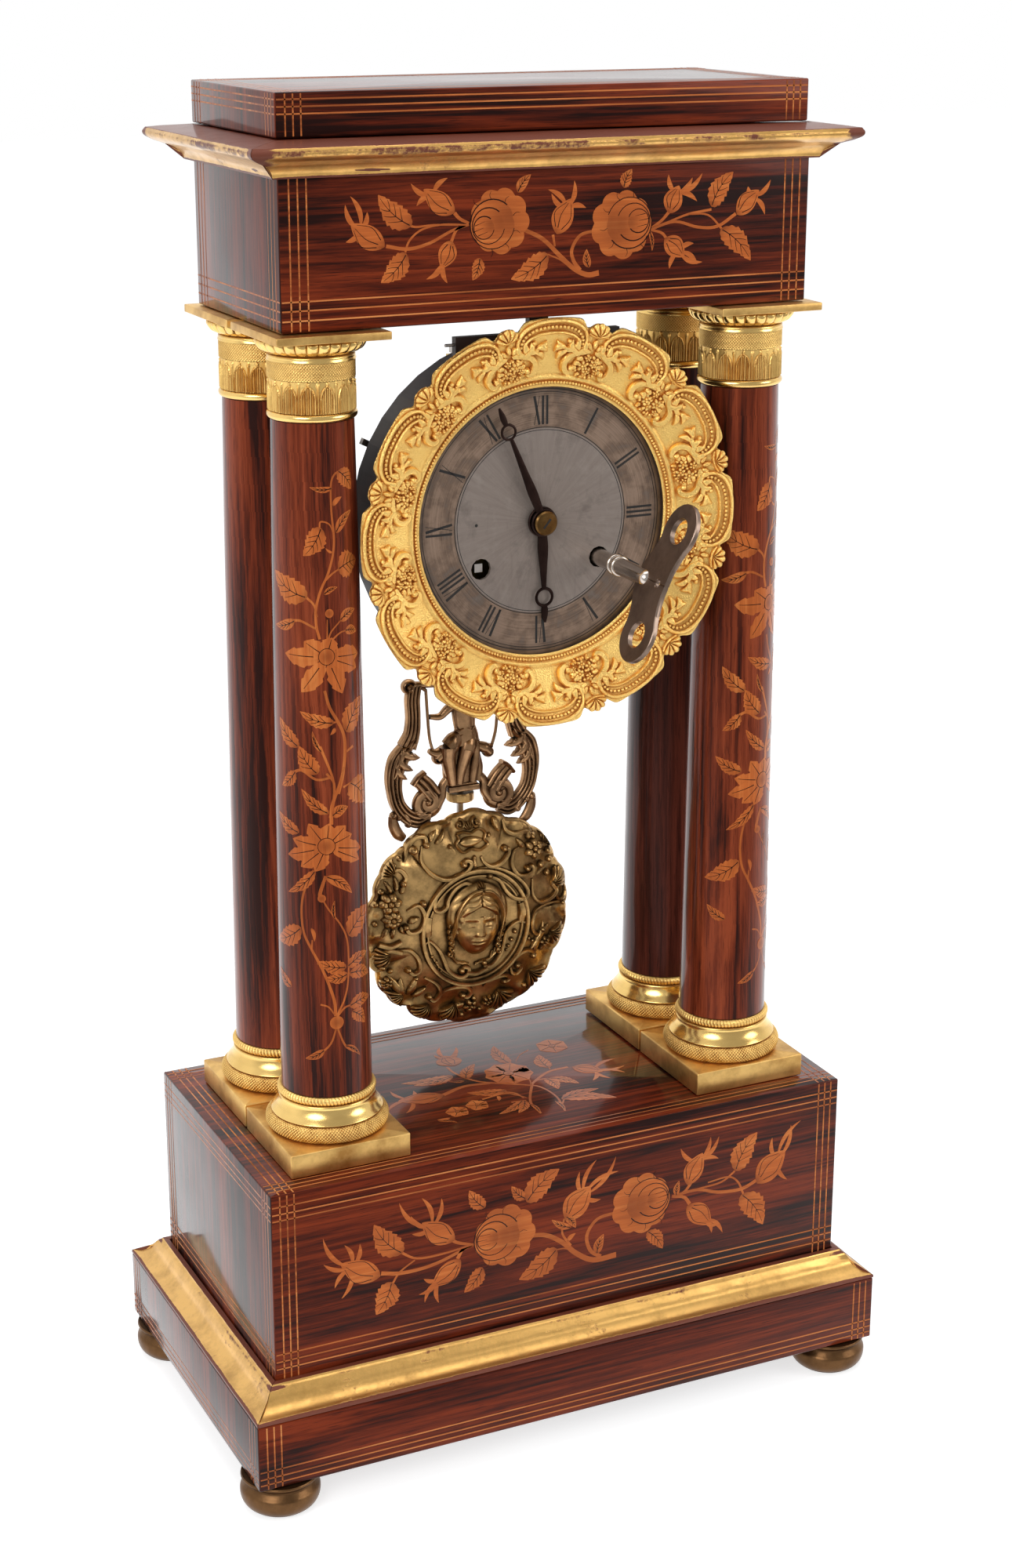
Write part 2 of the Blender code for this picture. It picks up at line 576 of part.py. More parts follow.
def moulding_strip(name, shares, reach, half_length, end_reaches, rise, height, location, turn):
    """A mitred strip: its profile is (share of the reach, share of the height).

    Each end runs on by that end's own reach, so neighbouring strips meet on the mitre."""
    bm = bmesh.new()
    low, high = end_reaches
    outline = []
    for out, up in shares:
        y = -(SEAT + (reach - SEAT) * out)
        outline.append(bm.verts.new((-half_length - low * out + SEAT, y, rise + height * up)))
    face = bm.faces.new(outline)
    grown = bmesh.ops.extrude_face_region(bm, geom=[face])
    moved = [item for item in grown["geom"] if isinstance(item, bmesh.types.BMVert)]
    for vert in moved:
        out = (-vert.co.y - SEAT) / (reach - SEAT)
        vert.co.x = half_length + high * out - SEAT
    mesh = finish_mesh(bm, name, smooth=False)
    place(name, mesh, GILT_WOOD, location, (0.0, 0.0, turn * DEG))


BASE_MOULDING_SHARES = ((0.0, 0.0), (1.0, 0.0), (1.0, 0.09), (0.72, 0.22), (0.50, 0.44),
                        (0.36, 0.70), (0.24, 0.92), (0.20, 1.0), (0.0, 1.0))
CORNICE_SHARES = ((0.0, 0.0), (0.18, 0.0), (0.20, 0.06), (0.33, 0.28), (0.45, 0.37), (0.80, 0.53),
                  (0.96, 0.64), (1.0, 0.76), (0.94, 0.88), (0.0, 1.0))


def make_mouldings():
    """Four mitred strips round the base block's foot and four round the attic's head."""
    side = STEP_SIDE
    half_x = BASE_WIDTH / 2.0
    half_y = BASE_DEPTH / 2.0
    front = STEP_FRONT
    back = STEP_BACK
    rise = BASE_Z + SEAT
    for name, reach, half, ends, spot, turn in (
            ("base_moulding_front", front, half_x, (side, side), (0.0, -half_y, 0.0), 0.0),
            ("base_moulding_right", side, half_y, (front, back), (half_x, 0.0, 0.0), 90.0),
            ("base_moulding_back", back, half_x, (side, side), (0.0, half_y, 0.0), 180.0),
            ("base_moulding_left", side, half_y, (back, front), (-half_x, 0.0, 0.0), 270.0)):
        moulding_strip(name, BASE_MOULDING_SHARES, reach, half, ends, rise, BASE_MOULDING_HEIGHT,
                       spot, turn)
    half_x = ATTIC_WIDTH / 2.0
    half_y = (ATTIC_FRONT + ATTIC_BACK) / 2.0
    middle = (ATTIC_BACK - ATTIC_FRONT) / 2.0
    ends = (CORNICE_REACH, CORNICE_REACH)
    height = CORNICE_HEIGHT - SEAT
    for name, half, spot, turn in (
            ("cornice_front", half_x, (0.0, -ATTIC_FRONT, 0.0), 0.0),
            ("cornice_right", half_y, (half_x, middle, 0.0), 90.0),
            ("cornice_back", half_x, (0.0, ATTIC_BACK, 0.0), 180.0),
            ("cornice_left", half_y, (-half_x, middle, 0.0), 270.0)):
        moulding_strip(name, CORNICE_SHARES, CORNICE_REACH, half, ends, CORNICE_Z, height, spot, turn)


COLUMN_BASE_SHARES = ((0.98, 0.94, "ring"), (1.0, 0.86, "ring"), (0.98, 0.78, "ring"),
                      (0.77, 0.74, "torus"), (0.80, 0.56, "torus"), (0.89, 0.40, "torus"),
                      (0.97, 0.32, "torus"), (1.0, 0.18, "torus"), (0.96, 0.0, "torus"))
CAPITAL_SHARES = ((0.98, 1.0), (1.0, 0.93), (0.86, 0.82), (0.80, 0.79), (0.785, 0.72), (0.785, 0.11),
                  (0.82, 0.08), (0.82, 0.02), (0.80, 0.0))
SHAFT_SHARES = ((0.0, 1.0), (0.42, 0.67), (0.80, 0.33), (1.0, 0.0))


def make_column_bases(spots):
    """The cast bases: a square plate with a turned foot on it, and a socket for the shaft."""
    socket = TENON_RADIUS + SEAT
    plate = BASE_PLATE_HEIGHT
    top = plate + BASE_RING_HEIGHT
    floor = top - TENON_LENGTH - SEAT
    reach = {"ring": ROPE_RING_RADIUS, "torus": BASE_TORUS_RADIUS}
    profile = [(0.0, floor), (socket, floor), (socket, top), (ROPE_RING_RADIUS - SINK, top)]
    profile += [(reach[kind] * out, plate + BASE_RING_HEIGHT * up)
                for out, up, kind in COLUMN_BASE_SHARES]
    profile += [(BASE_TORUS_RADIUS - OVERRUN, plate - SINK), (0.0, plate - SINK)]
    cast = None
    for where, x, y in spots:
        spot = (x, y, COLUMN_Z + SEAT)
        if cast is None:
            cast = block("column_base_" + where, (BASE_PLATE_SIDE, BASE_PLATE_SIDE, plate - SEAT), spot,
                         GILT_BRASS, edge=FINE_EDGE)
            cast.data.transform(Matrix.Translation((0.0, 0.0, (plate - SEAT) / 2.0)))
            lathe = turned("column_base_turning", profile, ROUND_STEPS, False, GILT_BRASS,
                           (x, y, COLUMN_Z), cutter=True)
            combine(cast, lathe, "UNION")
            settle(cast)
        else:
            place("column_base_" + where, cast.data, GILT_BRASS, spot)


def make_columns():
    """Four columns, each a cast base, a turned shaft with tenons, a capital and a plate."""
    spots = (("front_left", -COLUMN_X, COLUMN_FRONT_Y), ("front_right", COLUMN_X, COLUMN_FRONT_Y),
             ("back_left", -COLUMN_X, COLUMN_BACK_Y), ("back_right", COLUMN_X, COLUMN_BACK_Y))
    make_column_bases(spots)
    socket = TENON_RADIUS + SEAT
    shaft_bottom = COLUMN_Z + BASE_PLATE_HEIGHT + BASE_RING_HEIGHT + SEAT
    capital_bottom = ATTIC_Z - ABACUS_HEIGHT - SEAT - CAPITAL_HEIGHT
    length = capital_bottom - SEAT - shaft_bottom
    swell = SHAFT_FOOT_RADIUS - SHAFT_HEAD_RADIUS
    shaft = [(0.0, length + TENON_LENGTH), (TENON_RADIUS, length + TENON_LENGTH), (TENON_RADIUS, length)]
    shaft += [(SHAFT_HEAD_RADIUS + swell * out, length * up) for out, up in SHAFT_SHARES]
    shaft += [(TENON_RADIUS, 0.0), (TENON_RADIUS, -TENON_LENGTH), (0.0, -TENON_LENGTH)]
    floor = TENON_LENGTH + SEAT
    capital = [(0.0, CAPITAL_HEIGHT)]
    capital += [(CAPITAL_HEAD_RADIUS * out, CAPITAL_HEIGHT * up) for out, up in CAPITAL_SHARES]
    capital += [(socket, 0.0), (socket, floor), (0.0, floor)]
    plate_z = ATTIC_Z - SEAT - (ABACUS_HEIGHT - SEAT) / 2.0
    for where, x, y in spots:
        turned("column_shaft_" + where, shaft, ROUND_STEPS, False, ROSEWOOD, (x, y, shaft_bottom))
        turned("capital_" + where, capital, ROUND_STEPS, False, GILT_BRASS, (x, y, capital_bottom))
        block("abacus_" + where, (ABACUS_WIDTH, ABACUS_DEPTH, ABACUS_HEIGHT - SEAT),
              (x, y, plate_z), BRASS_PLATE, edge=FINE_EDGE)


def make_drum():
    """The ebonised wooden drum, open at the back, with a lip that the front plate meets."""
    bore = DRUM_BORE
    rebate = DIAL_RADIUS + SEAT
    lip = DIAL_RADIUS - DRUM_LIP
    lip_front = DIAL_FRONT_Y + DIAL_THICK + SEAT
    lip_back = FRONT_PLATE_Y - SEAT
    profile = [(rebate, -lip_front)]
    for radius in (rebate, DRUM_RADIUS):
        share = (radius - BEZEL_BORE) / (BEZEL_RADIUS - BEZEL_BORE)
        profile.append((radius, -bezel_face(share) - BEZEL_SHEET - SEAT))
    profile += [(DRUM_RADIUS, -DRUM_SHOULDER_Y), (DRUM_RADIUS - OVERRUN, -DRUM_SHOULDER_Y - OVERRUN),
                (DRUM_BACK_RADIUS + OVERRUN, -DRUM_BACK_Y + OVERRUN),
                (DRUM_BACK_RADIUS, -DRUM_BACK_Y), (bore, -DRUM_BACK_Y), (bore, -lip_back),
                (lip, -lip_back), (lip, -lip_front)]
    drum = turned("drum_case", profile, DRUM_STEPS, True, EBONISED, (0.0, 0.0, DIAL_Z), facing=True)
    angle = LEVER_ANGLE * DEG
    inner = bore - OVERRUN
    outer = DRUM_RADIUS + OVERRUN
    middle = (inner + outer) / 2.0
    front = DRUM_SHOULDER_Y
    back = DRUM_BACK_Y + OVERRUN
    notch = block("drum_notch", (outer - inner, back - front, NOTCH_WIDTH),
                  (middle * math.cos(angle), (front + back) / 2.0, DIAL_Z + middle * math.sin(angle)),
                  EBONISED, rotation=(0.0, -angle, 0.0), cutter=True)
    combine(drum, notch, "DIFFERENCE")


def bezel_face(share):
    """Where the bezel's dished face stands, from its bore (0) to its rim (1)."""
    return BEZEL_BORE_Y + (BEZEL_RIM_Y - BEZEL_BORE_Y) * share


def lobe_dip(angle):
    """Share of the notch depth at an angle: two dips, with a small shell standing between them."""
    pitch = TURN / BEZEL_LOBES
    off = abs((angle / pitch) % 1.0 - 0.5) * pitch
    dip = math.exp(-((off - SHELL_HALF_ANGLE) / DIP_HALF_ANGLE) ** 2)
    return dip + SHELL_SHARE * math.exp(-(off / SHELL_HALF_ANGLE) ** 2)


def make_bezel():
    """The dished gilt bezel: a turned ring whose rim is drawn in between its twelve lobes."""
    front = [(BEZEL_BORE + (BEZEL_RADIUS - BEZEL_BORE) * s, -bezel_face(s)) for s in BEZEL_SHARES]
    back = [(r, h - BEZEL_SHEET) for r, h in reversed(front)]
    steps = BEZEL_LOBES * BEZEL_STEPS_PER_LOBE
    bezel = turned("bezel", front + back, steps, True, GILT_BRASS, (0.0, 0.0, DIAL_Z), facing=True)
    settle(bezel)
    for vert in bezel.data.vertices:
        x, y, height = vert.co
        radius = math.hypot(x, y)
        share = (radius - BEZEL_BORE) / (BEZEL_RADIUS - BEZEL_BORE)
        inward = BEZEL_NOTCH * max(share, 0.0) ** 4 * lobe_dip(math.atan2(x, y) % TURN)
        scale = (radius - inward) / radius
        vert.co = (x * scale, y * scale, height)


def make_dial():
    """The silvered dial, with its winding holes and three feet."""
    holes = [circle(0.0, 0.0, HOUR_PIPE_RADIUS + SEAT, HOLE_STEPS),
             circle(-WINDING_X, -WINDING_DROP, WINDING_HOLE_RADIUS, HOLE_STEPS),
             circle(WINDING_X, -WINDING_DROP, WINDING_HOLE_RADIUS, HOLE_STEPS)]
    dial = sheet("dial", [circle(0.0, 0.0, DIAL_RADIUS, DRUM_STEPS)] + holes, DIAL_THICK, SILVERED,
                 (0.0, DIAL_FRONT_Y + DIAL_THICK / 2.0, DIAL_Z), FACING)
    for i, angle in enumerate(DIAL_FOOT_ANGLES):
        x = (DIAL_RADIUS - DIAL_FOOT_INSET) * math.cos(angle * DEG)
        z = DIAL_Z + (DIAL_RADIUS - DIAL_FOOT_INSET) * math.sin(angle * DEG)
        foot = rod("dial_foot_%d" % i, DIAL_FOOT_RADIUS, DIAL_FRONT_Y + DIAL_THICK / 2.0,
                   FRONT_PLATE_Y - SEAT, x, z, SILVERED, cutter=True)
        combine(dial, foot, "UNION")


def hand_outline(reach, ring_at, ring_radius, hub_radius, tip):
    """A pierced hand pointing up: half its width is the widest of hub, leaf and ring."""
    right = [(0.0, -hub_radius)]
    for i in range(1, HAND_STATIONS):
        at = -hub_radius + (reach + hub_radius) * i / HAND_STATIONS
        if at < ring_at:
            along = max(0.0, at / ring_at)
            half = tip + HAND_BELLY * math.sin(math.pi * along ** HAND_BELLY_SHARE) ** 3
        else:
            half = tip * (reach - at) / (reach - ring_at)
        for centre, radius in ((0.0, hub_radius), (ring_at, ring_radius)):
            if abs(at - centre) < radius:
                half = max(half, math.sqrt(radius ** 2 - (at - centre) ** 2))
        right.append((half, at))
    left = [(-x, y) for x, y in reversed(right[1:])]
    return right + [(0.0, reach)] + left


def make_hand(name, reach, ring_at, ring_radius, hub_radius, tip, turn, axis):
    """One flat steel hand with a ring near its end, on the centre arbor."""
    outline = hand_outline(reach, ring_at, ring_radius, hub_radius, tip)
    eye = circle(0.0, ring_at, ring_radius - HAND_RING_WALL, HOLE_STEPS)
    bore = bore_circle(0.0, 0.0, CENTRE_ARBOR_RADIUS)
    return sheet(name, [outline, eye, bore], HAND_THICK, BLUED_STEEL, (0.0, 0.0, 0.0),
                 (QUARTER, turn * DEG, 0.0), axis)


def make_hands():
    """The two pierced hands, the hour pipe and the nut that holds them."""
    hour_y = DIAL_FRONT_Y - HAND_GAP - HAND_THICK / 2.0
    minute_y = hour_y - HAND_THICK - HAND_GAP
    hour_axis = pivot("hour_axis", 0.0, hour_y, DIAL_Z, CASE)
    minute_axis = pivot("minute_axis", 0.0, minute_y, DIAL_Z, CASE)
    hour = make_hand("hour_hand", HOUR_REACH, HOUR_RING_AT, HOUR_RING_RADIUS, HOUR_HUB_RADIUS,
                     HOUR_TIP, HOUR_ANGLE, hour_axis)
    make_hand("minute_hand", MINUTE_REACH, MINUTE_RING_AT, MINUTE_RING_RADIUS, MINUTE_HUB_RADIUS,
              MINUTE_TIP, MINUTE_ANGLE, minute_axis)
    bore = bore_radius(CENTRE_ARBOR_RADIUS, HOLE_STEPS)
    top = HAND_THICK / 2.0 - RUN
    bottom = hour_y - FRONT_PLATE_Y + SEAT
    pipe = turned("hour_pipe", [(bore, top), (HOUR_PIPE_RADIUS, top), (HOUR_PIPE_RADIUS, bottom),
                                (bore, bottom)], HOLE_STEPS, True, BLUED_STEEL, (0.0, 0.0, 0.0),
                  facing=True, parent=hour_axis, cutter=True)
    combine(hour, pipe, "UNION")
    seat = HAND_THICK / 2.0 + SEAT
    deep = seat + NUT_THICK / 2.0
    bore = bore_radius(CENTRE_ARBOR_RADIUS, ROUND_STEPS)
    profile = [(0.0, seat + NUT_THICK), (NUT_RADIUS - FINE_EDGE, seat + NUT_THICK),
               (NUT_RADIUS, seat + NUT_THICK - FINE_EDGE), (NUT_RADIUS, seat), (bore, seat),
               (bore, deep), (0.0, deep)]
    turned("hand_nut", profile, ROUND_STEPS, False, MOVEMENT_BRASS, (0.0, 0.0, 0.0), facing=True,
           parent=minute_axis)


def make_plates():
    """The front plate, and the back plate with its pillars."""
    holes = [bore_circle(0.0, 0.0, CENTRE_ARBOR_RADIUS),
             bore_circle(-WINDING_X, -WINDING_DROP, ARBOR_RADIUS),
             bore_circle(WINDING_X, -WINDING_DROP, ARBOR_RADIUS)]
    sheet("front_plate", [circle(0.0, 0.0, PLATE_RADIUS, DRUM_STEPS)] + holes, PLATE_THICK, MOVEMENT_BRASS,
          (0.0, FRONT_PLATE_Y + PLATE_THICK / 2.0, DIAL_Z), FACING)
    anchor_hole = circle(0.0, SWING_RISE, 2.0 * PIVOT_RADIUS, HOLE_STEPS)
    back = sheet("back_plate", [circle(0.0, 0.0, PLATE_RADIUS, DRUM_STEPS), anchor_hole], PLATE_THICK,
                 MOVEMENT_BRASS, (0.0, BACK_PLATE_Y + PLATE_THICK / 2.0, DIAL_Z), FACING)
    for i, angle in enumerate(PILLAR_ANGLES):
        x = (PLATE_RADIUS - PILLAR_INSET) * math.cos(angle * DEG)
        z = DIAL_Z + (PLATE_RADIUS - PILLAR_INSET) * math.sin(angle * DEG)
        pillar = rod("pillar_%d" % i, PILLAR_RADIUS, INNER_FRONT_Y + SEAT,
                     BACK_PLATE_Y + SINK, x, z, MOVEMENT_BRASS, cutter=True)
        combine(back, pillar, "UNION")


def make_barrels():
    """The going and strike barrels with their toothed great wheels, and the winding arbors."""
    front = INNER_FRONT_Y + SEAT
    back = BACK_PLATE_Y - SEAT
    bore = bore_radius(ARBOR_RADIUS, HOLE_STEPS)
    rear = back - WHEEL_THICK - SEAT    # in front of the centre wheel
    for side, x, wheel_front, drum_front, drum_back in (
            ("going", WINDING_X, front, front + GREAT_WHEEL_THICK - SINK,
             rear - GREAT_WHEEL_THICK - SEAT),
            ("strike", -WINDING_X, rear - GREAT_WHEEL_THICK, front + GREAT_WHEEL_THICK + SEAT,
             rear - GREAT_WHEEL_THICK + SINK)):
        axis = pivot(side + "_axis", x, 0.0, WINDING_Z, CASE)
        outline = toothed(GREAT_WHEEL_RADIUS, GREAT_TOOTH, GREAT_TEETH)
        wheel = sheet(side + "_barrel", [outline, circle(0.0, 0.0, bore + SINK, HOLE_STEPS)],
                      GREAT_WHEEL_THICK, MOVEMENT_BRASS,
                      (0.0, wheel_front + GREAT_WHEEL_THICK / 2.0, 0.0), FACING, axis)
        wall = bore_radius(ARBOR_RADIUS, 2 * HOLE_STEPS)
        profile = [(wall, -drum_front), (BARREL_RADIUS, -drum_front), (BARREL_RADIUS, -drum_back),
                   (wall, -drum_back)]
        drum = turned(side + "_drum", profile, 2 * HOLE_STEPS, True, MOVEMENT_BRASS, (0.0, 0.0, 0.0),
                      facing=True, parent=axis, cutter=True)
        combine(wheel, drum, "UNION")
        arbor = rod(side + "_arbor", ARBOR_RADIUS, FRONT_PLATE_Y - SEAT, back, 0.0, 0.0, STEEL,
                    parent=axis)
        reach = SQUARE_REACH + OVERRUN
        square = block(side + "_square", (SQUARE_SIDE, reach, SQUARE_SIDE),
                       (0.0, FRONT_PLATE_Y - SQUARE_REACH + reach / 2.0, 0.0), STEEL, axis, cutter=True)
        combine(arbor, square, "UNION")


def make_train():
    """The centre wheel on its long arbor, and the escape wheel."""
    front = INNER_FRONT_Y + SEAT
    back = BACK_PLATE_Y - SEAT
    axis = pivot("centre_axis", 0.0, 0.0, DIAL_Z, CASE)
    wheel = sheet("centre_wheel", [toothed(CENTRE_WHEEL_RADIUS, CENTRE_TOOTH, CENTRE_TEETH)],
                  WHEEL_THICK, MOVEMENT_BRASS, (0.0, back - WHEEL_THICK / 2.0, 0.0), FACING, axis)
    minute_front = DIAL_FRONT_Y - 2.0 * HAND_GAP - 2.0 * HAND_THICK
    arbor = rod("centre_arbor", CENTRE_ARBOR_RADIUS, minute_front - NUT_THICK / 2.0,
                back - WHEEL_THICK / 2.0, 0.0, 0.0, STEEL, parent=axis, cutter=True)
    combine(wheel, arbor, "UNION")
    pinion = rod("centre_pinion", CENTRE_PINION_RADIUS, front, front + 2.0 * GREAT_WHEEL_THICK,
                 0.0, 0.0, STEEL, parent=axis, cutter=True)
    combine(wheel, pinion, "UNION")
    axis = pivot("escape_axis", 0.0, 0.0, DIAL_Z + ESCAPE_RISE, CASE)
    escape = sheet("escape_wheel", [toothed(ESCAPE_RADIUS, ESCAPE_TOOTH, ESCAPE_TEETH)], WHEEL_THICK,
                   MOVEMENT_BRASS, (0.0, ESCAPE_Y, 0.0), FACING, axis)
    arbor = rod("escape_arbor", PIVOT_RADIUS, front, back, 0.0, 0.0, STEEL, parent=axis, cutter=True)
    combine(escape, arbor, "UNION")


def make_anchor():
    """The pallet anchor over the escape wheel, its arbor, and the crutch behind the plate."""
    axis = pivot("swing_axis", 0.0, 0.0, SWING_Z, CASE)
    drop = SWING_RISE - ESCAPE_RISE
    clear = ESCAPE_RADIUS + PALLET_GAP
    inner = arc(0.0, -drop, clear, *PALLET_ANGLES, HOLE_STEPS)
    outer = arc(0.0, -drop, clear + PALLET_WIDTH, *reversed(PALLET_ANGLES), HOLE_STEPS)
    anchor = sheet("anchor", [inner + outer], WHEEL_THICK, STEEL, (0.0, ESCAPE_Y, 0.0), FACING, axis)
    stem = block("anchor_stem", (ANCHOR_STEM, WHEEL_THICK - RUN, drop - clear),
                 (0.0, ESCAPE_Y, (clear - drop) / 2.0 - SINK), STEEL, axis, cutter=True)
    combine(anchor, stem, "UNION")
    arbor = rod("anchor_arbor", ANCHOR_ARBOR_RADIUS, INNER_FRONT_Y + SEAT, CRUTCH_Y,
                0.0, 0.0, STEEL, parent=axis, cutter=True)
    combine(anchor, arbor, "UNION")
    inside = ROD_WIDTH / 2.0 + CRUTCH_GAP
    outside = inside + CRUTCH_PRONG
    shoulder = -CRUTCH_DROP + CRUTCH_BAR
    outline = arc(0.0, 0.0, CRUTCH_HUB_RADIUS, *CRUTCH_HUB_ANGLES, HOLE_STEPS)
    outline += [(-PIVOT_RADIUS, shoulder), (-outside, shoulder), (-outside, -CRUTCH_DROP),
                (outside, -CRUTCH_DROP), (outside, shoulder), (PIVOT_RADIUS, shoulder)]
    crutch = sheet("crutch", [outline], CRUTCH_THICK, STEEL, (0.0, CRUTCH_Y, 0.0), FACING, axis,
                   cutter=True)
    combine(anchor, crutch, "UNION")
    reach = ROD_Y + ROD_THICK - CRUTCH_Y
    for side in (-1.0, 1.0):
        prong = block("crutch_prong_%d" % side, (CRUTCH_PRONG - RUN, reach, CRUTCH_BAR - RUN),
                      (side * (inside + CRUTCH_PRONG / 2.0), CRUTCH_Y + reach / 2.0,
                       shoulder - CRUTCH_BAR / 2.0), STEEL, axis, cutter=True)
        combine(anchor, prong, "UNION")
    return axis


def make_cock():
    """The suspension cock on the back plate: a foot with the anchor's bearing, and a split arm."""
    foot_back = BACK_FACE_Y + SEAT + COCK_FOOT_THICK
    foot_y = foot_back - COCK_FOOT_THICK / 2.0
    top = COCK_ARM_RISE + COCK_ARM_HEIGHT
    half = COCK_FOOT_WIDTH / 2.0
    outline = [(-half, top - COCK_FOOT_HEIGHT), (half, top - COCK_FOOT_HEIGHT),
               (half, top - COCK_ARM_HEIGHT), (COCK_WIDTH / 2.0, top), (-COCK_WIDTH / 2.0, top),
               (-half, top - COCK_ARM_HEIGHT)]
    bearing = bore_circle(0.0, 0.0, ANCHOR_ARBOR_RADIUS)
    cock = sheet("suspension_cock", [outline, bearing], COCK_FOOT_THICK, MOVEMENT_BRASS,
                 (0.0, foot_y, SWING_Z), FACING)
    arm_front = foot_back - SINK
    arm_back = ROD_Y + SPRING_WIDTH / 2.0
    reach = arm_back - arm_front
    arm_y = (arm_front + arm_back) / 2.0
    arm = block("cock_arm", (COCK_WIDTH - 2.0 * SEAT, reach, COCK_ARM_HEIGHT - SEAT),
                (0.0, arm_y, SWING_Z + COCK_ARM_RISE + COCK_ARM_HEIGHT / 2.0), MOVEMENT_BRASS,
                cutter=True)
    combine(cock, arm, "UNION")
    slit_front = ROD_Y - SPRING_WIDTH / 2.0 - SEAT
    slit_length = SPRING_WIDTH + SEAT + OVERRUN
    slit = block("cock_slit", (COCK_SLIT, slit_length, 2.0 * COCK_ARM_HEIGHT),
                 (0.0, slit_front + slit_length / 2.0,
                  SWING_Z + COCK_ARM_RISE + COCK_ARM_HEIGHT / 2.0), MOVEMENT_BRASS, cutter=True)
    combine(cock, slit, "DIFFERENCE")


# Pendulum frame: half outlines as shares of its half width and height, right side
FRAME_EDGE_SHARES = ((0.10, 1.0), (0.66, 1.0), (0.82, 0.98), (0.84, 0.92), (0.74, 0.86), (0.76, 0.70),
                     (0.86, 0.60), (0.98, 0.48), (1.0, 0.36), (0.96, 0.24), (0.99, 0.16), (0.90, 0.06),
                     (0.66, 0.0), (0.20, 0.0))
FRAME_WINDOW_SHARES = ((0.20, 0.93), (0.60, 0.93), (0.60, 0.86), (0.56, 0.72), (0.68, 0.58),
                       (0.82, 0.46), (0.82, 0.34), (0.66, 0.28), (0.56, 0.40), (0.40, 0.36),
                       (0.28, 0.44), (0.22, 0.60), (0.30, 0.72))
FRAME_NUT_WINDOW_SHARES = ((-0.24, 0.14), (0.24, 0.14), (0.24, 0.33), (-0.24, 0.33))


def make_pendulum(axis):
    """The spring, the flat rod, the openwork frame, the bob and the rating nut."""
    head = COCK_ARM_RISE + COCK_ARM_HEIGHT + SEAT + RUN
    top = head + SPRING_HEAD_HEIGHT / 2.0
    bottom = SEAT - ROD_TOP_DROP
    spring = block("suspension_spring", (SPRING_THICK, SPRING_WIDTH, top - bottom),
                   (0.0, ROD_Y, (top + bottom) / 2.0), STEEL, axis)
    clamp = block("spring_head", (SPRING_HEAD_WIDTH, SPRING_WIDTH + RUN, SPRING_HEAD_HEIGHT),
                  (0.0, ROD_Y, top), STEEL, axis, cutter=True)
    combine(spring, clamp, "UNION")
    rod_top = -ROD_TOP_DROP
    rod_bottom = ROD_BOTTOM_Z - SWING_Z
    block("pendulum_rod", (ROD_WIDTH, ROD_THICK, rod_top - rod_bottom),
          (0.0, ROD_Y, (rod_top + rod_bottom) / 2.0), STEEL, axis, edge=FINE_EDGE)
    width = FRAME_HALF_WIDTH
    tall = FRAME_HEIGHT
    right = [(width * u, tall * v) for u, v in FRAME_EDGE_SHARES]
    left = [(-x, y) for x, y in reversed(right)]
    window = [(width * u, tall * v) for u, v in FRAME_WINDOW_SHARES]
    mirrored = [(-x, y) for x, y in reversed(window)]
    nut_window = [(width * u, tall * v) for u, v in FRAME_NUT_WINDOW_SHARES]
    sheet("pendulum_frame", [right + left, window, mirrored, nut_window], FRAME_THICK, BRONZE,
          (0.0, FRAME_BACK_Y - FRAME_THICK / 2.0, FRAME_BOTTOM_Z - SWING_Z), FACING, axis)
    profile = [(BOB_RADIUS * out, BOB_THICK * up) for out, up in BOB_SHARES]
    bob = turned("pendulum_bob", profile, 4 * BOB_SCALLOPS, False, BRONZE,
                 (0.0, BOB_BACK_Y, BOB_Z - SWING_Z), facing=True, parent=axis)
    settle(bob)
    for vert in bob.data.vertices:
        x, y, height = vert.co
        share = math.hypot(x, y) / BOB_RADIUS
        ripple = BOB_RIPPLE_SHARE * share ** 6 * math.cos(BOB_SCALLOPS * math.atan2(x, y))
        vert.co = (x * (1.0 + ripple), y * (1.0 + ripple), height)
    nut_z = RATING_NUT_Z - SWING_Z
    bore = bore_radius(math.hypot(ROD_WIDTH, ROD_THICK) / 2.0, ROUND_STEPS)
    nut_axis = pivot("rating_axis", 0.0, ROD_Y, nut_z, axis)
    half = RATING_NUT_HEIGHT / 2.0
    profile = [(bore, half), (RATING_NUT_RADIUS - FINE_EDGE, half), (RATING_NUT_RADIUS, half - EDGE),
               (RATING_NUT_RADIUS, EDGE - half), (RATING_NUT_RADIUS - FINE_EDGE, -half), (bore, -half)]
    turned("rating_nut", profile, ROUND_STEPS, True, BRONZE, (0.0, 0.0, 0.0), parent=nut_axis)


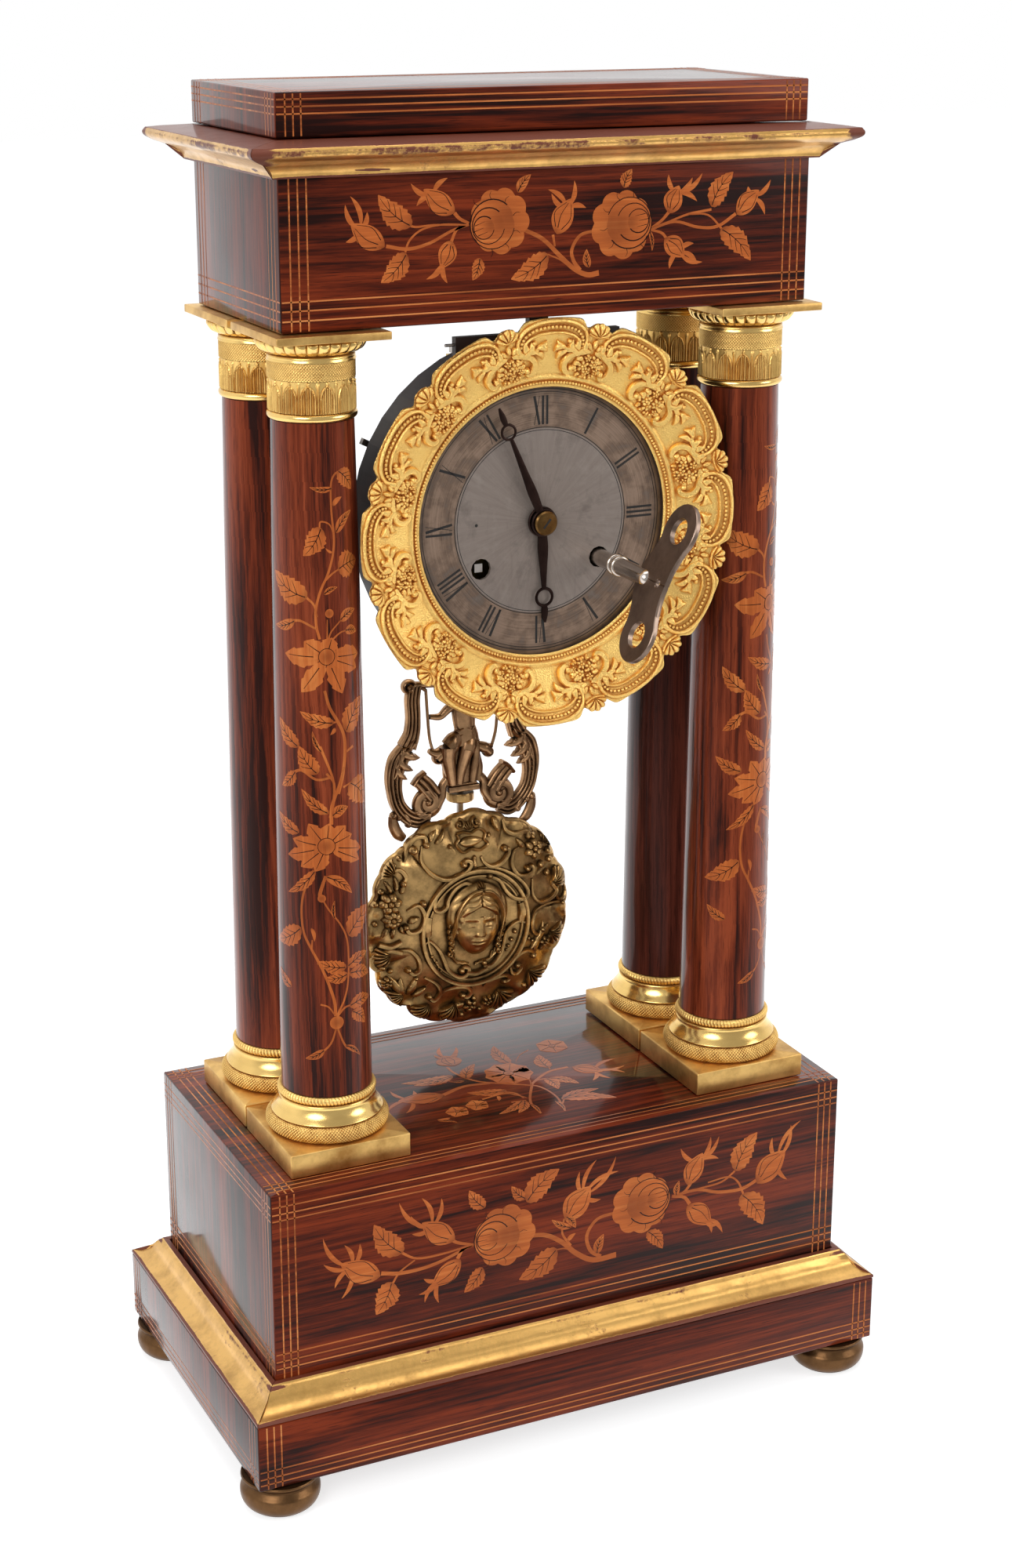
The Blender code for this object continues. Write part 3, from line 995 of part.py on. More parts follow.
def make_bell():
    """The bell behind the plates, on its post."""
    bore = bore_radius(BELL_POST_RADIUS, BELL_STEPS)
    profile = [(BELL_RADIUS * out, -BELL_MOUTH_Y - BELL_DEPTH * deep) for out, deep in BELL_SHARES]
    profile += [(bore, -BELL_BACK_Y), (bore, BELL_WALL - BELL_BACK_Y)]
    for out, deep in reversed(BELL_SHARES):
        lift = BELL_WALL * deep
        profile.append((BELL_RADIUS * out - BELL_WALL, -BELL_MOUTH_Y - BELL_DEPTH * deep + lift))
    turned("bell", profile, BELL_STEPS, True, MOVEMENT_BRASS, (0.0, 0.0, BELL_Z), facing=True)
    foot = -(BACK_FACE_Y + SEAT)
    seat = BELL_WALL + SEAT - BELL_BACK_Y
    end = -BELL_END_Y
    waist = BELL_POST_RADIUS + FINE_EDGE
    profile = [(0.0, foot), (BELL_SEAT_RADIUS, foot), (BELL_SEAT_RADIUS, foot - OVERRUN),
               (waist, foot - OVERRUN - SINK), (waist, seat + OVERRUN + SINK),
               (BELL_SEAT_RADIUS - SINK, seat + OVERRUN), (BELL_SEAT_RADIUS - SINK, seat),
               (BELL_POST_RADIUS, seat), (BELL_POST_RADIUS, end), (0.0, end)]
    turned("bell_post", profile, HOLE_STEPS, False, STEEL, (0.0, 0.0, BELL_Z), facing=True)


def make_hammer():
    """The strike hammer beside the bell: an arbor on the plate, an arm and a round head."""
    axis = pivot("hammer_axis", HAMMER_X, 0.0, DIAL_Z - HAMMER_DROP, CASE)
    arbor = rod("strike_hammer", ANCHOR_ARBOR_RADIUS, BACK_FACE_Y + SEAT, HAMMER_Y + HAMMER_ARM,
                0.0, 0.0, STEEL, parent=axis)
    head_z = DIAL_Z - HAMMER_DROP + HAMMER_RISE
    rise = head_z - BELL_Z
    bell_edge = math.sqrt(BELL_RADIUS ** 2 - (rise - HAMMER_HEAD_RADIUS) ** 2)
    head_left = bell_edge + HAMMER_GAP - HAMMER_X
    head_x = head_left + HAMMER_HEAD_LENGTH / 2.0
    arm = block("hammer_arm", (HAMMER_ARM, HAMMER_ARM, HAMMER_RISE),
                (0.0, HAMMER_Y, HAMMER_RISE / 2.0), STEEL, axis, cutter=True)
    combine(arbor, arm, "UNION")
    head = lying("hammer_head", HAMMER_HEAD_RADIUS, HAMMER_HEAD_LENGTH,
                 (head_x, HAMMER_Y, HAMMER_RISE), STEEL, axis, cutter=True)
    combine(arbor, head, "UNION")


def make_strike_lever():
    """The strike lever between the plates, whose steel end shows in the drum's notch."""
    angle = LEVER_ANGLE * DEG
    axis = pivot("lever_axis", LEVER_PIVOT_CIRCLE * math.cos(angle), 0.0,
                 DIAL_Z + LEVER_PIVOT_CIRCLE * math.sin(angle), CASE)
    arbor = rod("strike_lever", PIVOT_RADIUS, INNER_FRONT_Y + SEAT, BACK_PLATE_Y - SEAT,
                0.0, 0.0, STEEL, parent=axis)
    length = DRUM_RADIUS + LEVER_PROUD - LEVER_PIVOT_CIRCLE
    arm = block("lever_arm", (length, LEVER_SIDE, LEVER_SIDE),
                (length / 2.0 * math.cos(angle), LEVER_Y, length / 2.0 * math.sin(angle)), STEEL, axis,
                rotation=(0.0, -angle, 0.0), cutter=True)
    combine(arbor, arm, "UNION")


def make_hanger():
    """The T-shaped plate that hangs the drum from the attic, and its pin."""
    half = HANGER_WIDTH / 2.0
    neck = HANGER_NECK_WIDTH / 2.0
    seat = DRUM_RADIUS + SEAT
    edge = math.degrees(math.acos(half / seat))
    far_edge = math.degrees(math.acos(-half / seat))
    outline = arc(0.0, 0.0, seat, far_edge, edge, HOLE_STEPS)
    top = HANGER_TOP - DIAL_Z
    outline += [(half, top), (neck, top), (neck, ATTIC_Z - SEAT - DIAL_Z), (-neck, ATTIC_Z - SEAT - DIAL_Z),
                (-neck, top), (-half, top)]
    plate = sheet("hanger_plate", [outline], HANGER_THICK, EBONISED, (0.0, HANGER_Y, DIAL_Z), FACING)
    pin_x = -half - HANGER_PIN_REACH + HANGER_PIN_LENGTH / 2.0
    pin_z = HANGER_TOP - HANGER_PIN_DROP
    lying("hanger_pin", HANGER_PIN_RADIUS, HANGER_PIN_LENGTH, (pin_x, HANGER_Y, pin_z), STEEL)
    drilled = lying("pin_hole", HANGER_PIN_RADIUS + RUN, HANGER_PIN_LENGTH + 2.0 * SEAT,
                    (pin_x, HANGER_Y, pin_z), STEEL, cutter=True)
    combine(plate, drilled, "DIFFERENCE")


def make_key():
    """The double-winged winding key on the going square, as it stands in the photograph."""
    axis = pivot("key_axis", WINDING_X, 0.0, WINDING_Z, CASE)
    tip = -(FRONT_PLATE_Y - SEAT - KEY_TIP_GAP)
    dome = -KEY_DOME_Y
    profile = [(0.0, dome), (KEY_RADIUS - OVERRUN, dome - FINE_EDGE), (KEY_RADIUS, dome - KEY_RADIUS)]
    for side in (1.0, -1.0):
        bead = -KEY_BEAD_Y + side * KEY_BEAD_RADIUS / 2.0
        profile += [(KEY_RADIUS, bead + OVERRUN), (KEY_BEAD_RADIUS, bead), (KEY_RADIUS, bead - OVERRUN)]
    profile += [(KEY_RADIUS, tip), (0.0, tip)]
    key = turned("winding_key", profile, ROUND_STEPS, False, STEEL, (0.0, 0.0, 0.0), facing=True,
                 parent=axis)
    spread = KEY_WING_SPREAD
    lobe = arc(spread, 0.0, KEY_WING_RADIUS, *KEY_WING_ANGLES, HOLE_STEPS)
    waist_back = -KEY_WING_Y - dome + KEY_RADIUS
    outline = lobe + [(0.0, waist_back)] + [(-x, y) for x, y in reversed(lobe)]
    outline.append((0.0, -KEY_WING_RADIUS / 2.0))
    holes = [circle(spread, 0.0, KEY_WING_HOLE, HOLE_STEPS),
             circle(-spread, 0.0, KEY_WING_HOLE, HOLE_STEPS),
             circle(0.0, 0.0, KEY_SMALL_HOLE, HOLE_STEPS)]
    spin = (0.0, KEY_ANGLE * DEG - QUARTER, 0.0)
    wing = sheet("key_wing", [outline] + holes, KEY_WING_THICK, STEEL, (0.0, KEY_WING_Y, 0.0), spin,
                 axis, cutter=True)
    combine(key, wing, "UNION")
    side = SQUARE_SIDE + 2.0 * RUN
    length = KEY_SOCKET_DEPTH + OVERRUN
    socket = block("key_socket", (side, length, side), (0.0, OVERRUN - tip - length / 2.0, 0.0), STEEL,
                   axis, cutter=True)
    combine(key, socket, "DIFFERENCE")


make_feet()
make_blocks()
make_mouldings()
make_columns()
make_drum()
make_bezel()
make_dial()
make_hands()
make_plates()
make_barrels()
make_train()
swing = make_anchor()
make_cock()
make_pendulum(swing)
make_bell()
make_hammer()
make_strike_lever()
make_hanger()
make_key()
print("parts", len([o for o in parts.objects if o.type == "MESH"]))
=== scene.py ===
# %% [markdown]
# # A portico clock in rosewood and gilt brass
#
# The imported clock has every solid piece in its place. This lesson gives it its looks: veneer,
# inlay and stringing on the wood, chased ornament on the gilt mounts, engraving on the dial and
# a finish for every metal. Sizes are in millimetres, counted from the middle of the base block,
# and become metres only when a mesh is made.

import json
import math

import bpy
import numpy as np
from mathutils import Matrix, Vector


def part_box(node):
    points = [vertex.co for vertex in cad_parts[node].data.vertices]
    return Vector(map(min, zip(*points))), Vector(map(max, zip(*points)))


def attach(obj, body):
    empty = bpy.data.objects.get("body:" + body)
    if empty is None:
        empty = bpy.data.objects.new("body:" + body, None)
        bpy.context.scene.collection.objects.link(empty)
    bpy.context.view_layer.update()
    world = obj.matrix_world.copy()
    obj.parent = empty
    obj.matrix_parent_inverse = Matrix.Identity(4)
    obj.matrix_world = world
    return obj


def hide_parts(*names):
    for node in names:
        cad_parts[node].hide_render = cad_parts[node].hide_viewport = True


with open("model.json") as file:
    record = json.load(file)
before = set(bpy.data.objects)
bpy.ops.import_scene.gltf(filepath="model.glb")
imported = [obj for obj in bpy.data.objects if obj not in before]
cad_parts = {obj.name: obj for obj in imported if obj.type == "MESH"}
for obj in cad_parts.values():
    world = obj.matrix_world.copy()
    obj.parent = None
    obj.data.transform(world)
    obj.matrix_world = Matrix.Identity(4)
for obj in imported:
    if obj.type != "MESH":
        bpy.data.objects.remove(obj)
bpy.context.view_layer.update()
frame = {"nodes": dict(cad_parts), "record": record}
MM = 0.001
TURN = 2 * math.pi
SPOTS = ("front_left", "front_right", "back_left", "back_right")
SIDES = ("front", "right", "back", "left")
base_low, base_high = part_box("base_block")
CASE_LINE = np.array((0, (base_low.y + base_high.y) / 2, 0))


def box_mm(node):
    """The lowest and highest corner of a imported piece, in millimetres from the case's middle."""
    low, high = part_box(node)
    return (np.array(low) - CASE_LINE) / MM, (np.array(high) - CASE_LINE) / MM


def skin(node):
    """The box of a veneered block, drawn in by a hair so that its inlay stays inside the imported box."""
    low, high = box_mm(node)
    return low + 0.06, high - 0.06


# %% [markdown]
# ## Surfaces worked out as grids
#
# Nearly every piece here is a surface of two parameters. A turned foot is a profile and an
# angle, a scroll is a path and a section, a leaf is a length and a breadth. Each could be drawn
# by hand in edit mode, but a formula gives the same piece each time and can be sized from the
# clock. So the points of a piece are one numpy array of rows and columns, and the faces follow
# from the numbering alone.

# %% Faces of a grid, and shells closed over it


def grid_faces(rows, columns):
    """Four-sided faces of a grid numbered row by row, whose columns wrap round."""
    row, column = np.meshgrid(np.arange(rows - 1), np.arange(columns), indexing="ij")
    here, beside = row * columns + column, row * columns + (column + 1) % columns
    return np.stack([here, beside, beside + columns, here + columns], -1).reshape(-1, 4)


def outward(points, faces):
    """Turns the faces over if the signed volume, a third of the sum of point times area, is negative."""
    middle, total = points.mean(0), 0
    for ring in faces:
        corners = points[ring] - middle
        for k in range(1, ring.shape[1] - 1):
            total += np.sum(corners[:, 0] * np.cross(corners[:, k], corners[:, k + 1]))
    return points, faces if total > 0 else [ring[:, ::-1] for ring in faces]


def shell(grid):
    """A closed skin: the grid's columns wrap round, and its first and last rows close to their middles."""
    rows, columns = grid.shape[:2]
    points = np.concatenate([grid.reshape(-1, 3), grid[:1].mean(1), grid[-1:].mean(1)])
    ring = np.arange(columns)
    beside, last, pole = (ring + 1) % columns, (rows - 1) * columns, rows * columns
    caps = np.concatenate([np.stack([beside, ring, np.full(columns, pole)], 1),
                           np.stack([ring + last, beside + last, np.full(columns, pole + 1)], 1)])
    return outward(points, [grid_faces(rows, columns), caps])


def closed_ring(rows):
    """A closed ring: rows of points run round the object, and the last row joins the first."""
    grid = np.array(rows)
    faces = grid_faces(len(grid) + 1, grid.shape[1]) % (len(grid) * grid.shape[1])
    return outward(grid.reshape(-1, 3), [faces])


def slab(top, bottom):
    """A thin closed piece between two grids of the same size."""
    return shell(np.concatenate([top, bottom[:, ::-1]], axis=1))


def triangles(shapes):
    """How many triangles some shapes come to."""
    return sum(len(ring) * (ring.shape[1] - 2) for shape in shapes for ring in shape[1])


trial = shell(np.random.RandomState(1).rand(3, 4, 3))
print("a shell over a 3 by 4 grid has", sum(len(ring) for ring in trial[1]), "faces")

# %% Profiles turned round an axis


def turned(profile, steps, centre=(0, 0, 0), swell=None, facing=False):
    """A profile of (radius, height) carried round a circle. swell(profile, angles) gives a radius to
    add at each profile point and angle. facing turns the height towards the viewer, to -Y."""
    profile = np.asarray(profile, float)
    angle = np.arange(steps) * TURN / steps
    radius = profile[:, :1] + (np.zeros((1, steps)) if swell is None else swell(profile, angle))
    height = np.broadcast_to(profile[:, 1:], radius.shape)
    across, up = radius * np.cos(angle), radius * np.sin(angle)
    grid = np.stack([across, -height, up] if facing else [across, up, height], -1)
    return shell(grid + np.asarray(centre, float))


def smooth_profile(points, steps=6):
    """More points along a profile: a Catmull-Rom curve, the cubic through four points in a row."""
    p = np.asarray(points, float)
    p = np.concatenate([[2 * p[0] - p[1]], p, [2 * p[-1] - p[-2]]])
    t = np.arange(steps)[:, None] / steps
    rows = [0.5 * (2 * b + (c - a) * t + (2 * a - 5 * b + 4 * c - d) * t ** 2
                   + (3 * b - a - 3 * c + d) * t ** 3) for a, b, c, d in zip(p, p[1:], p[2:], p[3:])]
    return np.concatenate(rows + [p[-2:-1]])


# %% Sections carried along a path


def circle(count):
    """Points round the unit circle."""
    angle = np.arange(count) * TURN / count
    return np.stack([np.cos(angle), np.sin(angle)], 1)


def swept(path, width, height, normal, section=circle(8)):
    """A section carried along a path. The section's first axis lies across the path and its second
    along the normal, scaled by the width and height at each point."""
    path, normal = np.asarray(path, float), np.asarray(normal, float)
    count = len(path)
    width, height = np.broadcast_to(width, count), np.broadcast_to(height, count)
    normal = np.broadcast_to(normal, (count, 3))
    along = np.gradient(path, axis=0)
    across = np.cross(along, normal)
    across /= np.linalg.norm(across, axis=1, keepdims=True) + 1e-12
    grid = (path[:, None] + across[:, None] * section[None, :, :1] * width[:, None, None]
            + normal[:, None] * section[None, :, 1:] * height[:, None, None])
    return shell(grid)


def repeated(shape, places, sizes=1):
    """The same small shape at many places, each with its own size."""
    points, faces = shape
    places = np.asarray(places, float)
    sizes = np.broadcast_to(sizes, len(places))[:, None, None]
    many = (points[None] * sizes + places[:, None]).reshape(-1, 3)
    shift = (np.arange(len(places)) * len(points))[:, None, None]
    return many, [(ring[None] + shift).reshape(-1, ring.shape[1]) for ring in faces]


BEAD = turned([(0.5, -0.87), (0.87, -0.5), (1, 0), (0.87, 0.5), (0.5, 0.87)], 8)
print("one bead has", sum(len(ring) for ring in BEAD[1]), "faces")

# %% [markdown]
# ## From arrays to objects
#
# Blender can take a mesh from lists or from whole arrays. Arrays are quicker, so all of a
# piece's shapes are joined into one list of points, one of loops and one of face starts. A
# wooden piece also gets a UV map in metres with its grain along the first axis: on a block each
# face takes the two axes that lie in it, and on a column it is the height and the way round.

# %% Make a piece


def face_uv(mesh, kind, centre, shift):
    """UV in metres: kind is block, or round for height and the way round a centre."""
    loops, faces = len(mesh.loops), len(mesh.polygons)
    point = np.zeros(len(mesh.vertices) * 3)
    mesh.vertices.foreach_get("co", point)
    corner = np.zeros(loops, int)
    mesh.loops.foreach_get("vertex_index", corner)
    spot = point.reshape(-1, 3)[corner]
    size = np.zeros(faces, int)
    mesh.polygons.foreach_get("loop_total", size)
    owner = np.repeat(np.arange(faces), size)
    normal, middle = np.zeros(faces * 3), np.zeros(faces * 3)
    mesh.polygons.foreach_get("normal", normal)
    mesh.polygons.foreach_get("center", middle)
    normal, middle = normal.reshape(-1, 3)[owner], middle.reshape(-1, 3)[owner]
    if kind == "block":
        way = np.abs(normal).argmax(1)
        uv = np.where((way == 0)[:, None], spot[:, [2, 1]],
                      np.where((way == 1)[:, None], spot[:, [0, 2]], spot[:, [0, 1]]))
    else:
        out, mid = spot[:, :2] - centre, middle[:, :2] - centre
        face_angle = np.arctan2(mid[:, 1], mid[:, 0])
        turn = np.arctan2(out[:, 1], out[:, 0]) - face_angle
        turn = (turn + math.pi) % TURN - math.pi
        uv = np.stack([spot[:, 2], (face_angle + turn) * np.linalg.norm(mid, axis=1)], 1)
    layer = mesh.uv_layers.new(name="grain")
    layer.data.foreach_set("uv", (uv + shift).astype(np.float32).ravel())


def piece(name, shapes, finish, body="case", crease=35, replaces=(), slot=None, uv=None,
          centre=(0, 0), shift=(0, 0)):
    """One object from many shapes, with its place in its mesh, riding on a body of the clock. A
    shape may bring a shade for each of its points, which the finish reads as an attribute."""
    points = np.concatenate([shape[0] for shape in shapes])
    loops, starts, first, used = [], [], 0, 0
    for shape_points, faces, *_ in shapes:
        for ring in faces:
            loops.append((ring + first).ravel())
            starts.append(used + np.arange(len(ring)) * ring.shape[1])
            used += ring.size
        first += len(shape_points)
    loops, starts = np.concatenate(loops), np.concatenate(starts)
    mesh = bpy.data.meshes.new(name)
    mesh.vertices.add(len(points))
    mesh.vertices.foreach_set("co", (points * MM + CASE_LINE).astype(np.float32).ravel())
    mesh.loops.add(len(loops))
    mesh.loops.foreach_set("vertex_index", loops.astype(np.int32))
    mesh.polygons.add(len(starts))
    mesh.polygons.foreach_set("loop_start", starts.astype(np.int32))
    mesh.update(calc_edges=True)
    mesh.validate()
    mesh.shade_smooth()
    mesh.set_sharp_from_angle(angle=math.radians(crease))
    if len(shapes[0]) > 2:
        shade = mesh.attributes.new("shade", "FLOAT", "POINT")
        shade.data.foreach_set("value", np.concatenate([shape[2] for shape in shapes]).astype(np.float32))
    if uv:
        face_uv(mesh, uv, np.asarray(centre) * MM + CASE_LINE[:2], np.asarray(shift))
    made = bpy.data.objects.new(name, mesh)
    bpy.context.scene.collection.objects.link(made)
    mesh.materials.append(finish)
    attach(made, body)
    if replaces:
        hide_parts(*replaces)
    return made


# %% [markdown]
# ## Finishes
#
# A finish could be a plain colour, but old wood and gilding are never plain. Each one here is
# built from noise at the size of the real thing: figure and pores in the rosewood, worn patches
# in the gilding, tarnish on the dial. Effects that several finishes share are node groups,
# placed in each finish with its own colours.

# %% Small helpers for node trees


def srgb(red, green, blue):
    """A colour given from 0 to 255, made linear for the shader."""
    c = np.array((red, green, blue)) / 255
    return (*(np.where(c <= 0.04045, c / 12.92, ((c + 0.055) / 1.055) ** 2.4)).tolist(), 1)


def feed(tree, node, sockets):
    """Gives each socket of a node its value, or links another node's output to it."""
    for key, value in sockets.items():
        if isinstance(value, bpy.types.NodeSocket):
            tree.links.new(value, node.inputs[key])
        else:
            node.inputs[key].default_value = value
    return node


def add(tree, kind, sockets=None, **settings):
    """One node in a tree, with its settings and what its sockets take."""
    node = tree.nodes.new("ShaderNode" + kind)
    for key, value in settings.items():
        setattr(node, key, value)
    return feed(tree, node, sockets or {})


def blend_colours(tree, share, first, second):
    """The two colours mixed by a share that varies over the surface."""
    return add(tree, "Mix", {0: share, 6: first, 7: second}, data_type="RGBA").outputs[2]


def span(tree, value, low, high, to_low=0, to_high=1):
    """A value stretched from one range to another and held inside it."""
    return add(tree, "MapRange", {"Value": value, "From Min": low, "From Max": high,
                                  "To Min": to_low, "To Max": to_high}).outputs["Result"]


def sum_of(tree, first, second, how="ADD"):
    """Arithmetic on two values."""
    return add(tree, "Math", {0: first, 1: second}, operation=how).outputs[0]


def times(tree, first, second):
    """The product of two values."""
    return sum_of(tree, first, second, "MULTIPLY")


def effect(name, inputs, outputs):
    """An empty node group with named inputs (kind, value) and outputs (kind)."""
    tree = bpy.data.node_groups.new(name, "ShaderNodeTree")
    for label, (kind, value) in inputs.items():
        socket = tree.interface.new_socket(name=label, in_out="INPUT", socket_type="NodeSocket" + kind)
        if value is not None:
            socket.default_value = value
    for label, kind in outputs.items():
        tree.interface.new_socket(name=label, in_out="OUTPUT", socket_type="NodeSocket" + kind)
    return tree, tree.nodes.new("NodeGroupInput").outputs, tree.nodes.new("NodeGroupOutput")


def place_effect(tree, group, sockets):
    """A node group placed in a finish."""
    return add(tree, "Group", sockets, node_tree=group).outputs


def finish(name, metallic=0, roughness=0.5, coat_roughness=0.1, specular=0.5):
    """A new material, its tree and its shader, with the values that are the same all over."""
    made = bpy.data.materials.new(name)
    made.use_nodes = True
    shader = made.node_tree.nodes["Principled BSDF"]
    feed(made.node_tree, shader, {"Metallic": metallic, "Roughness": roughness,
                                  "Coat Roughness": coat_roughness, "Specular IOR Level": specular})
    return made, made.node_tree, shader


def object_place(tree, scale=(1, 1, 1), move=(0, 0, 0), turn=(0, 0, 0)):
    """Object coordinates, moved, turned and scaled."""
    coordinates = add(tree, "TexCoord").outputs["Object"]
    return add(tree, "Mapping", {"Vector": coordinates, "Location": move, "Rotation": turn,
                                 "Scale": scale}).outputs["Vector"]


def noise(tree, vector, scale, detail=4, roughness=0.55, distortion=0):
    """The value of a noise texture."""
    return add(tree, "TexNoise", {"Vector": vector, "Scale": scale, "Detail": detail,
                                  "Roughness": roughness, "Distortion": distortion}).outputs["Fac"]


def bump(tree, height, strength, distance=0.0002):
    """A normal from a height that varies over the surface."""
    return add(tree, "Bump", {"Height": height, "Strength": strength, "Distance": distance}).outputs["Normal"]

# %% [markdown]
# ### Rosewood
#
# The veneer is dark red-brown with nearly black streaks, under a French polish. Its figure is
# noise squeezed across the grain: one broad layer for the dark bands, a finer one for streaks,
# and a very fine one for the pores. The polish is a coat over the wood.

# %% The wood figure group, and the woods

figure, given, gives = effect(
    "wood_figure",
    {"Vector": ("Vector", None), "Dark": ("Color", srgb(30, 12, 9)), "Middle": ("Color", srgb(84, 32, 19)),
     "Light": ("Color", srgb(128, 58, 32)), "Bands": ("Float", 0.92)},
    {"Color": "Color", "Height": "Float"})
bands, streaks, pores, zones = (
    noise(figure, add(figure, "Mapping", {"Vector": given["Vector"], "Scale": scale}).outputs[0], 1, *fineness)
    for scale, *fineness in (((6, 85, 1), 5, 0.6, 1.2), ((16, 620, 1), 4, 0.62, 0.5),
                             ((110, 2600, 1), 2, 0.5), ((3.2, 15, 1), 3, 0.5, 0.6)))
tone = sum_of(figure, times(figure, bands, 0.6), times(figure, streaks, 0.4))
tone = sum_of(figure, tone, span(figure, zones, 0.35, 0.65, 0.06, -0.06))
colour = blend_colours(figure, span(figure, tone, 0.50, 0.61), given["Middle"], given["Light"])
dark_share = times(figure, span(figure, tone, 0.41, 0.505, 1, 0), given["Bands"])
colour = blend_colours(figure, dark_share, colour, given["Dark"])
pore_share = span(figure, pores, 0.30, 0.42, 0.65, 0)
feed(figure, gives, {"Color": blend_colours(figure, pore_share, colour, given["Dark"]),
                     "Height": sum_of(figure, streaks, pore_share, "SUBTRACT")})


def polish(tree, most):
    """A French polish that is rubbed thin: it shows mostly where a face is seen at a low angle."""
    return span(tree, add(tree, "LayerWeight", {"Blend": 0.5}).outputs["Facing"], 0.15, 0.70, 0.05, most)


def wood(name, dark, middle, light, rough=0.34, most=0.75):
    """A polished wood that reads its grain from the piece's own UV map."""
    made, tree, shader = finish(name, roughness=rough, coat_roughness=0.10, specular=0.08)
    figured = place_effect(tree, figure, {"Vector": add(tree, "UVMap", uv_map="grain").outputs["UV"],
                                          "Dark": srgb(*dark), "Middle": srgb(*middle), "Light": srgb(*light)})
    haze = noise(tree, object_place(tree), 22, 3)
    feed(tree, shader, {"Base Color": figured["Color"], "Normal": bump(tree, figured["Height"], 0.08),
                        "Roughness": span(tree, haze, 0.35, 0.75, rough - 0.06, rough + 0.12),
                        "Coat Weight": polish(tree, most)})
    return made


ROSEWOOD = wood("rosewood", (25, 11, 9), (86, 30, 14), (124, 48, 22))
COLUMN_WOOD = wood("column_rosewood", (34, 15, 12), (108, 44, 24), (144, 66, 38))
# Painted shade: a darker copy of the column wood, for the back right column, which stands in shade.
PAINTED_SHADE_COLUMN_WOOD = wood("column_rosewood_painted_shade", (22, 11, 10), (66, 30, 22), (96, 46, 34))
STRING_WOOD = wood("stringing_wood", (140, 74, 38), (190, 108, 56), (214, 138, 80), 0.4, 0.5)
print("woods:", ROSEWOOD.name, COLUMN_WOOD.name, STRING_WOOD.name)

# %% [markdown]
# ### Gilding and metals
#
# Gilded wood is gold leaf over red clay, rubbed through at the edges and dulled in patches, so
# its shader mixes leaf and clay by a worn mask. Cast mounts are bright where they are burnished
# and brown in the hollows, where dirt and painted shade are laid into the colour together. Two
# measures tell hollows from edges: Pointiness, the bend of a dense mesh, and the Ambient Occlusion
# node, the free room over a point. Plates get fine brushing.

# %% Groups for wear, for dirt and painted shade in hollows, and for brushing

wear, given, gives = effect(
    "worn_leaf",
    {"Vector": ("Vector", None), "Amount": ("Float", 0.45), "Patch Size": ("Float", 45)},
    {"Worn": "Float", "Height": "Float"})
patches = noise(wear, given["Vector"], given["Patch Size"], 8, 0.66, 0.3)
flecks = noise(wear, given["Vector"], 620, 4, 0.7)
edges = span(wear, add(wear, "NewGeometry").outputs["Pointiness"], 0.502, 0.535, 0, 0.35)
rubbed = sum_of(wear, sum_of(wear, times(wear, patches, 0.72), times(wear, flecks, 0.28)), edges)
limit = sum_of(wear, 1, given["Amount"], "SUBTRACT")
worn = span(wear, rubbed, sum_of(wear, limit, 0.05, "SUBTRACT"), sum_of(wear, limit, 0.05))
feed(wear, gives, {"Worn": worn, "Height": sum_of(wear, times(wear, flecks, 0.5), worn, "SUBTRACT")})

hollow_dirt_and_shade, given, gives = effect(
    "hollow_dirt_and_painted_shade",
    {"Vector": ("Vector", None), "Bright": ("Color", srgb(242, 196, 106)),
     "Dark": ("Color", srgb(110, 72, 26)), "Low": ("Float", 0.455), "High": ("Float", 0.50),
     "Reach": ("Float", 0.0022)},
    {"Color": "Color", "Hollow": "Float"})
# Painted shade, mixed with dirt: where the mesh bends inwards or the Ambient Occlusion node finds little free room,
# the colour goes to the dark tone, and a dirt noise varies how far.
bend = span(hollow_dirt_and_shade, add(hollow_dirt_and_shade, "NewGeometry").outputs["Pointiness"], given["Low"], given["High"], 1, 0)
free = add(hollow_dirt_and_shade, "AmbientOcclusion", {"Distance": given["Reach"]}, samples=6).outputs["AO"]
soil = noise(hollow_dirt_and_shade, given["Vector"], 300, 5, 0.6)
deep = times(hollow_dirt_and_shade, sum_of(hollow_dirt_and_shade, bend, span(hollow_dirt_and_shade, free, 0.42, 0.88, 1, 0), "MAXIMUM"),
             span(hollow_dirt_and_shade, soil, 0.30, 0.62, 0.55, 1))
cloudy = span(hollow_dirt_and_shade, noise(hollow_dirt_and_shade, given["Vector"], 60), 0.35, 0.7, 0, 0.30)
tint = blend_colours(hollow_dirt_and_shade, cloudy, given["Bright"], given["Dark"])
feed(hollow_dirt_and_shade, gives, {"Color": blend_colours(hollow_dirt_and_shade, deep, tint, given["Dark"]), "Hollow": deep})

brushing, given, gives = effect(
    "brushing", {"Vector": ("Vector", None), "Rough": ("Float", 0.3)},
    {"Height": "Float", "Roughness": "Float", "Stain": "Float"})
lines = noise(brushing, given["Vector"], 1, 3, 0.7)
stain = noise(brushing, add(brushing, "TexCoord").outputs["Object"], 70, 6, 0.62)
uneven = times(brushing, sum_of(brushing, lines, stain), 0.10)
feed(brushing, gives, {"Height": lines, "Stain": span(brushing, stain, 0.4, 0.7),
                       "Roughness": sum_of(brushing, given["Rough"], uneven)})
print("shared effects:", [group.name for group in bpy.data.node_groups])

# %% Gilded wood, and gilt and bronzed castings


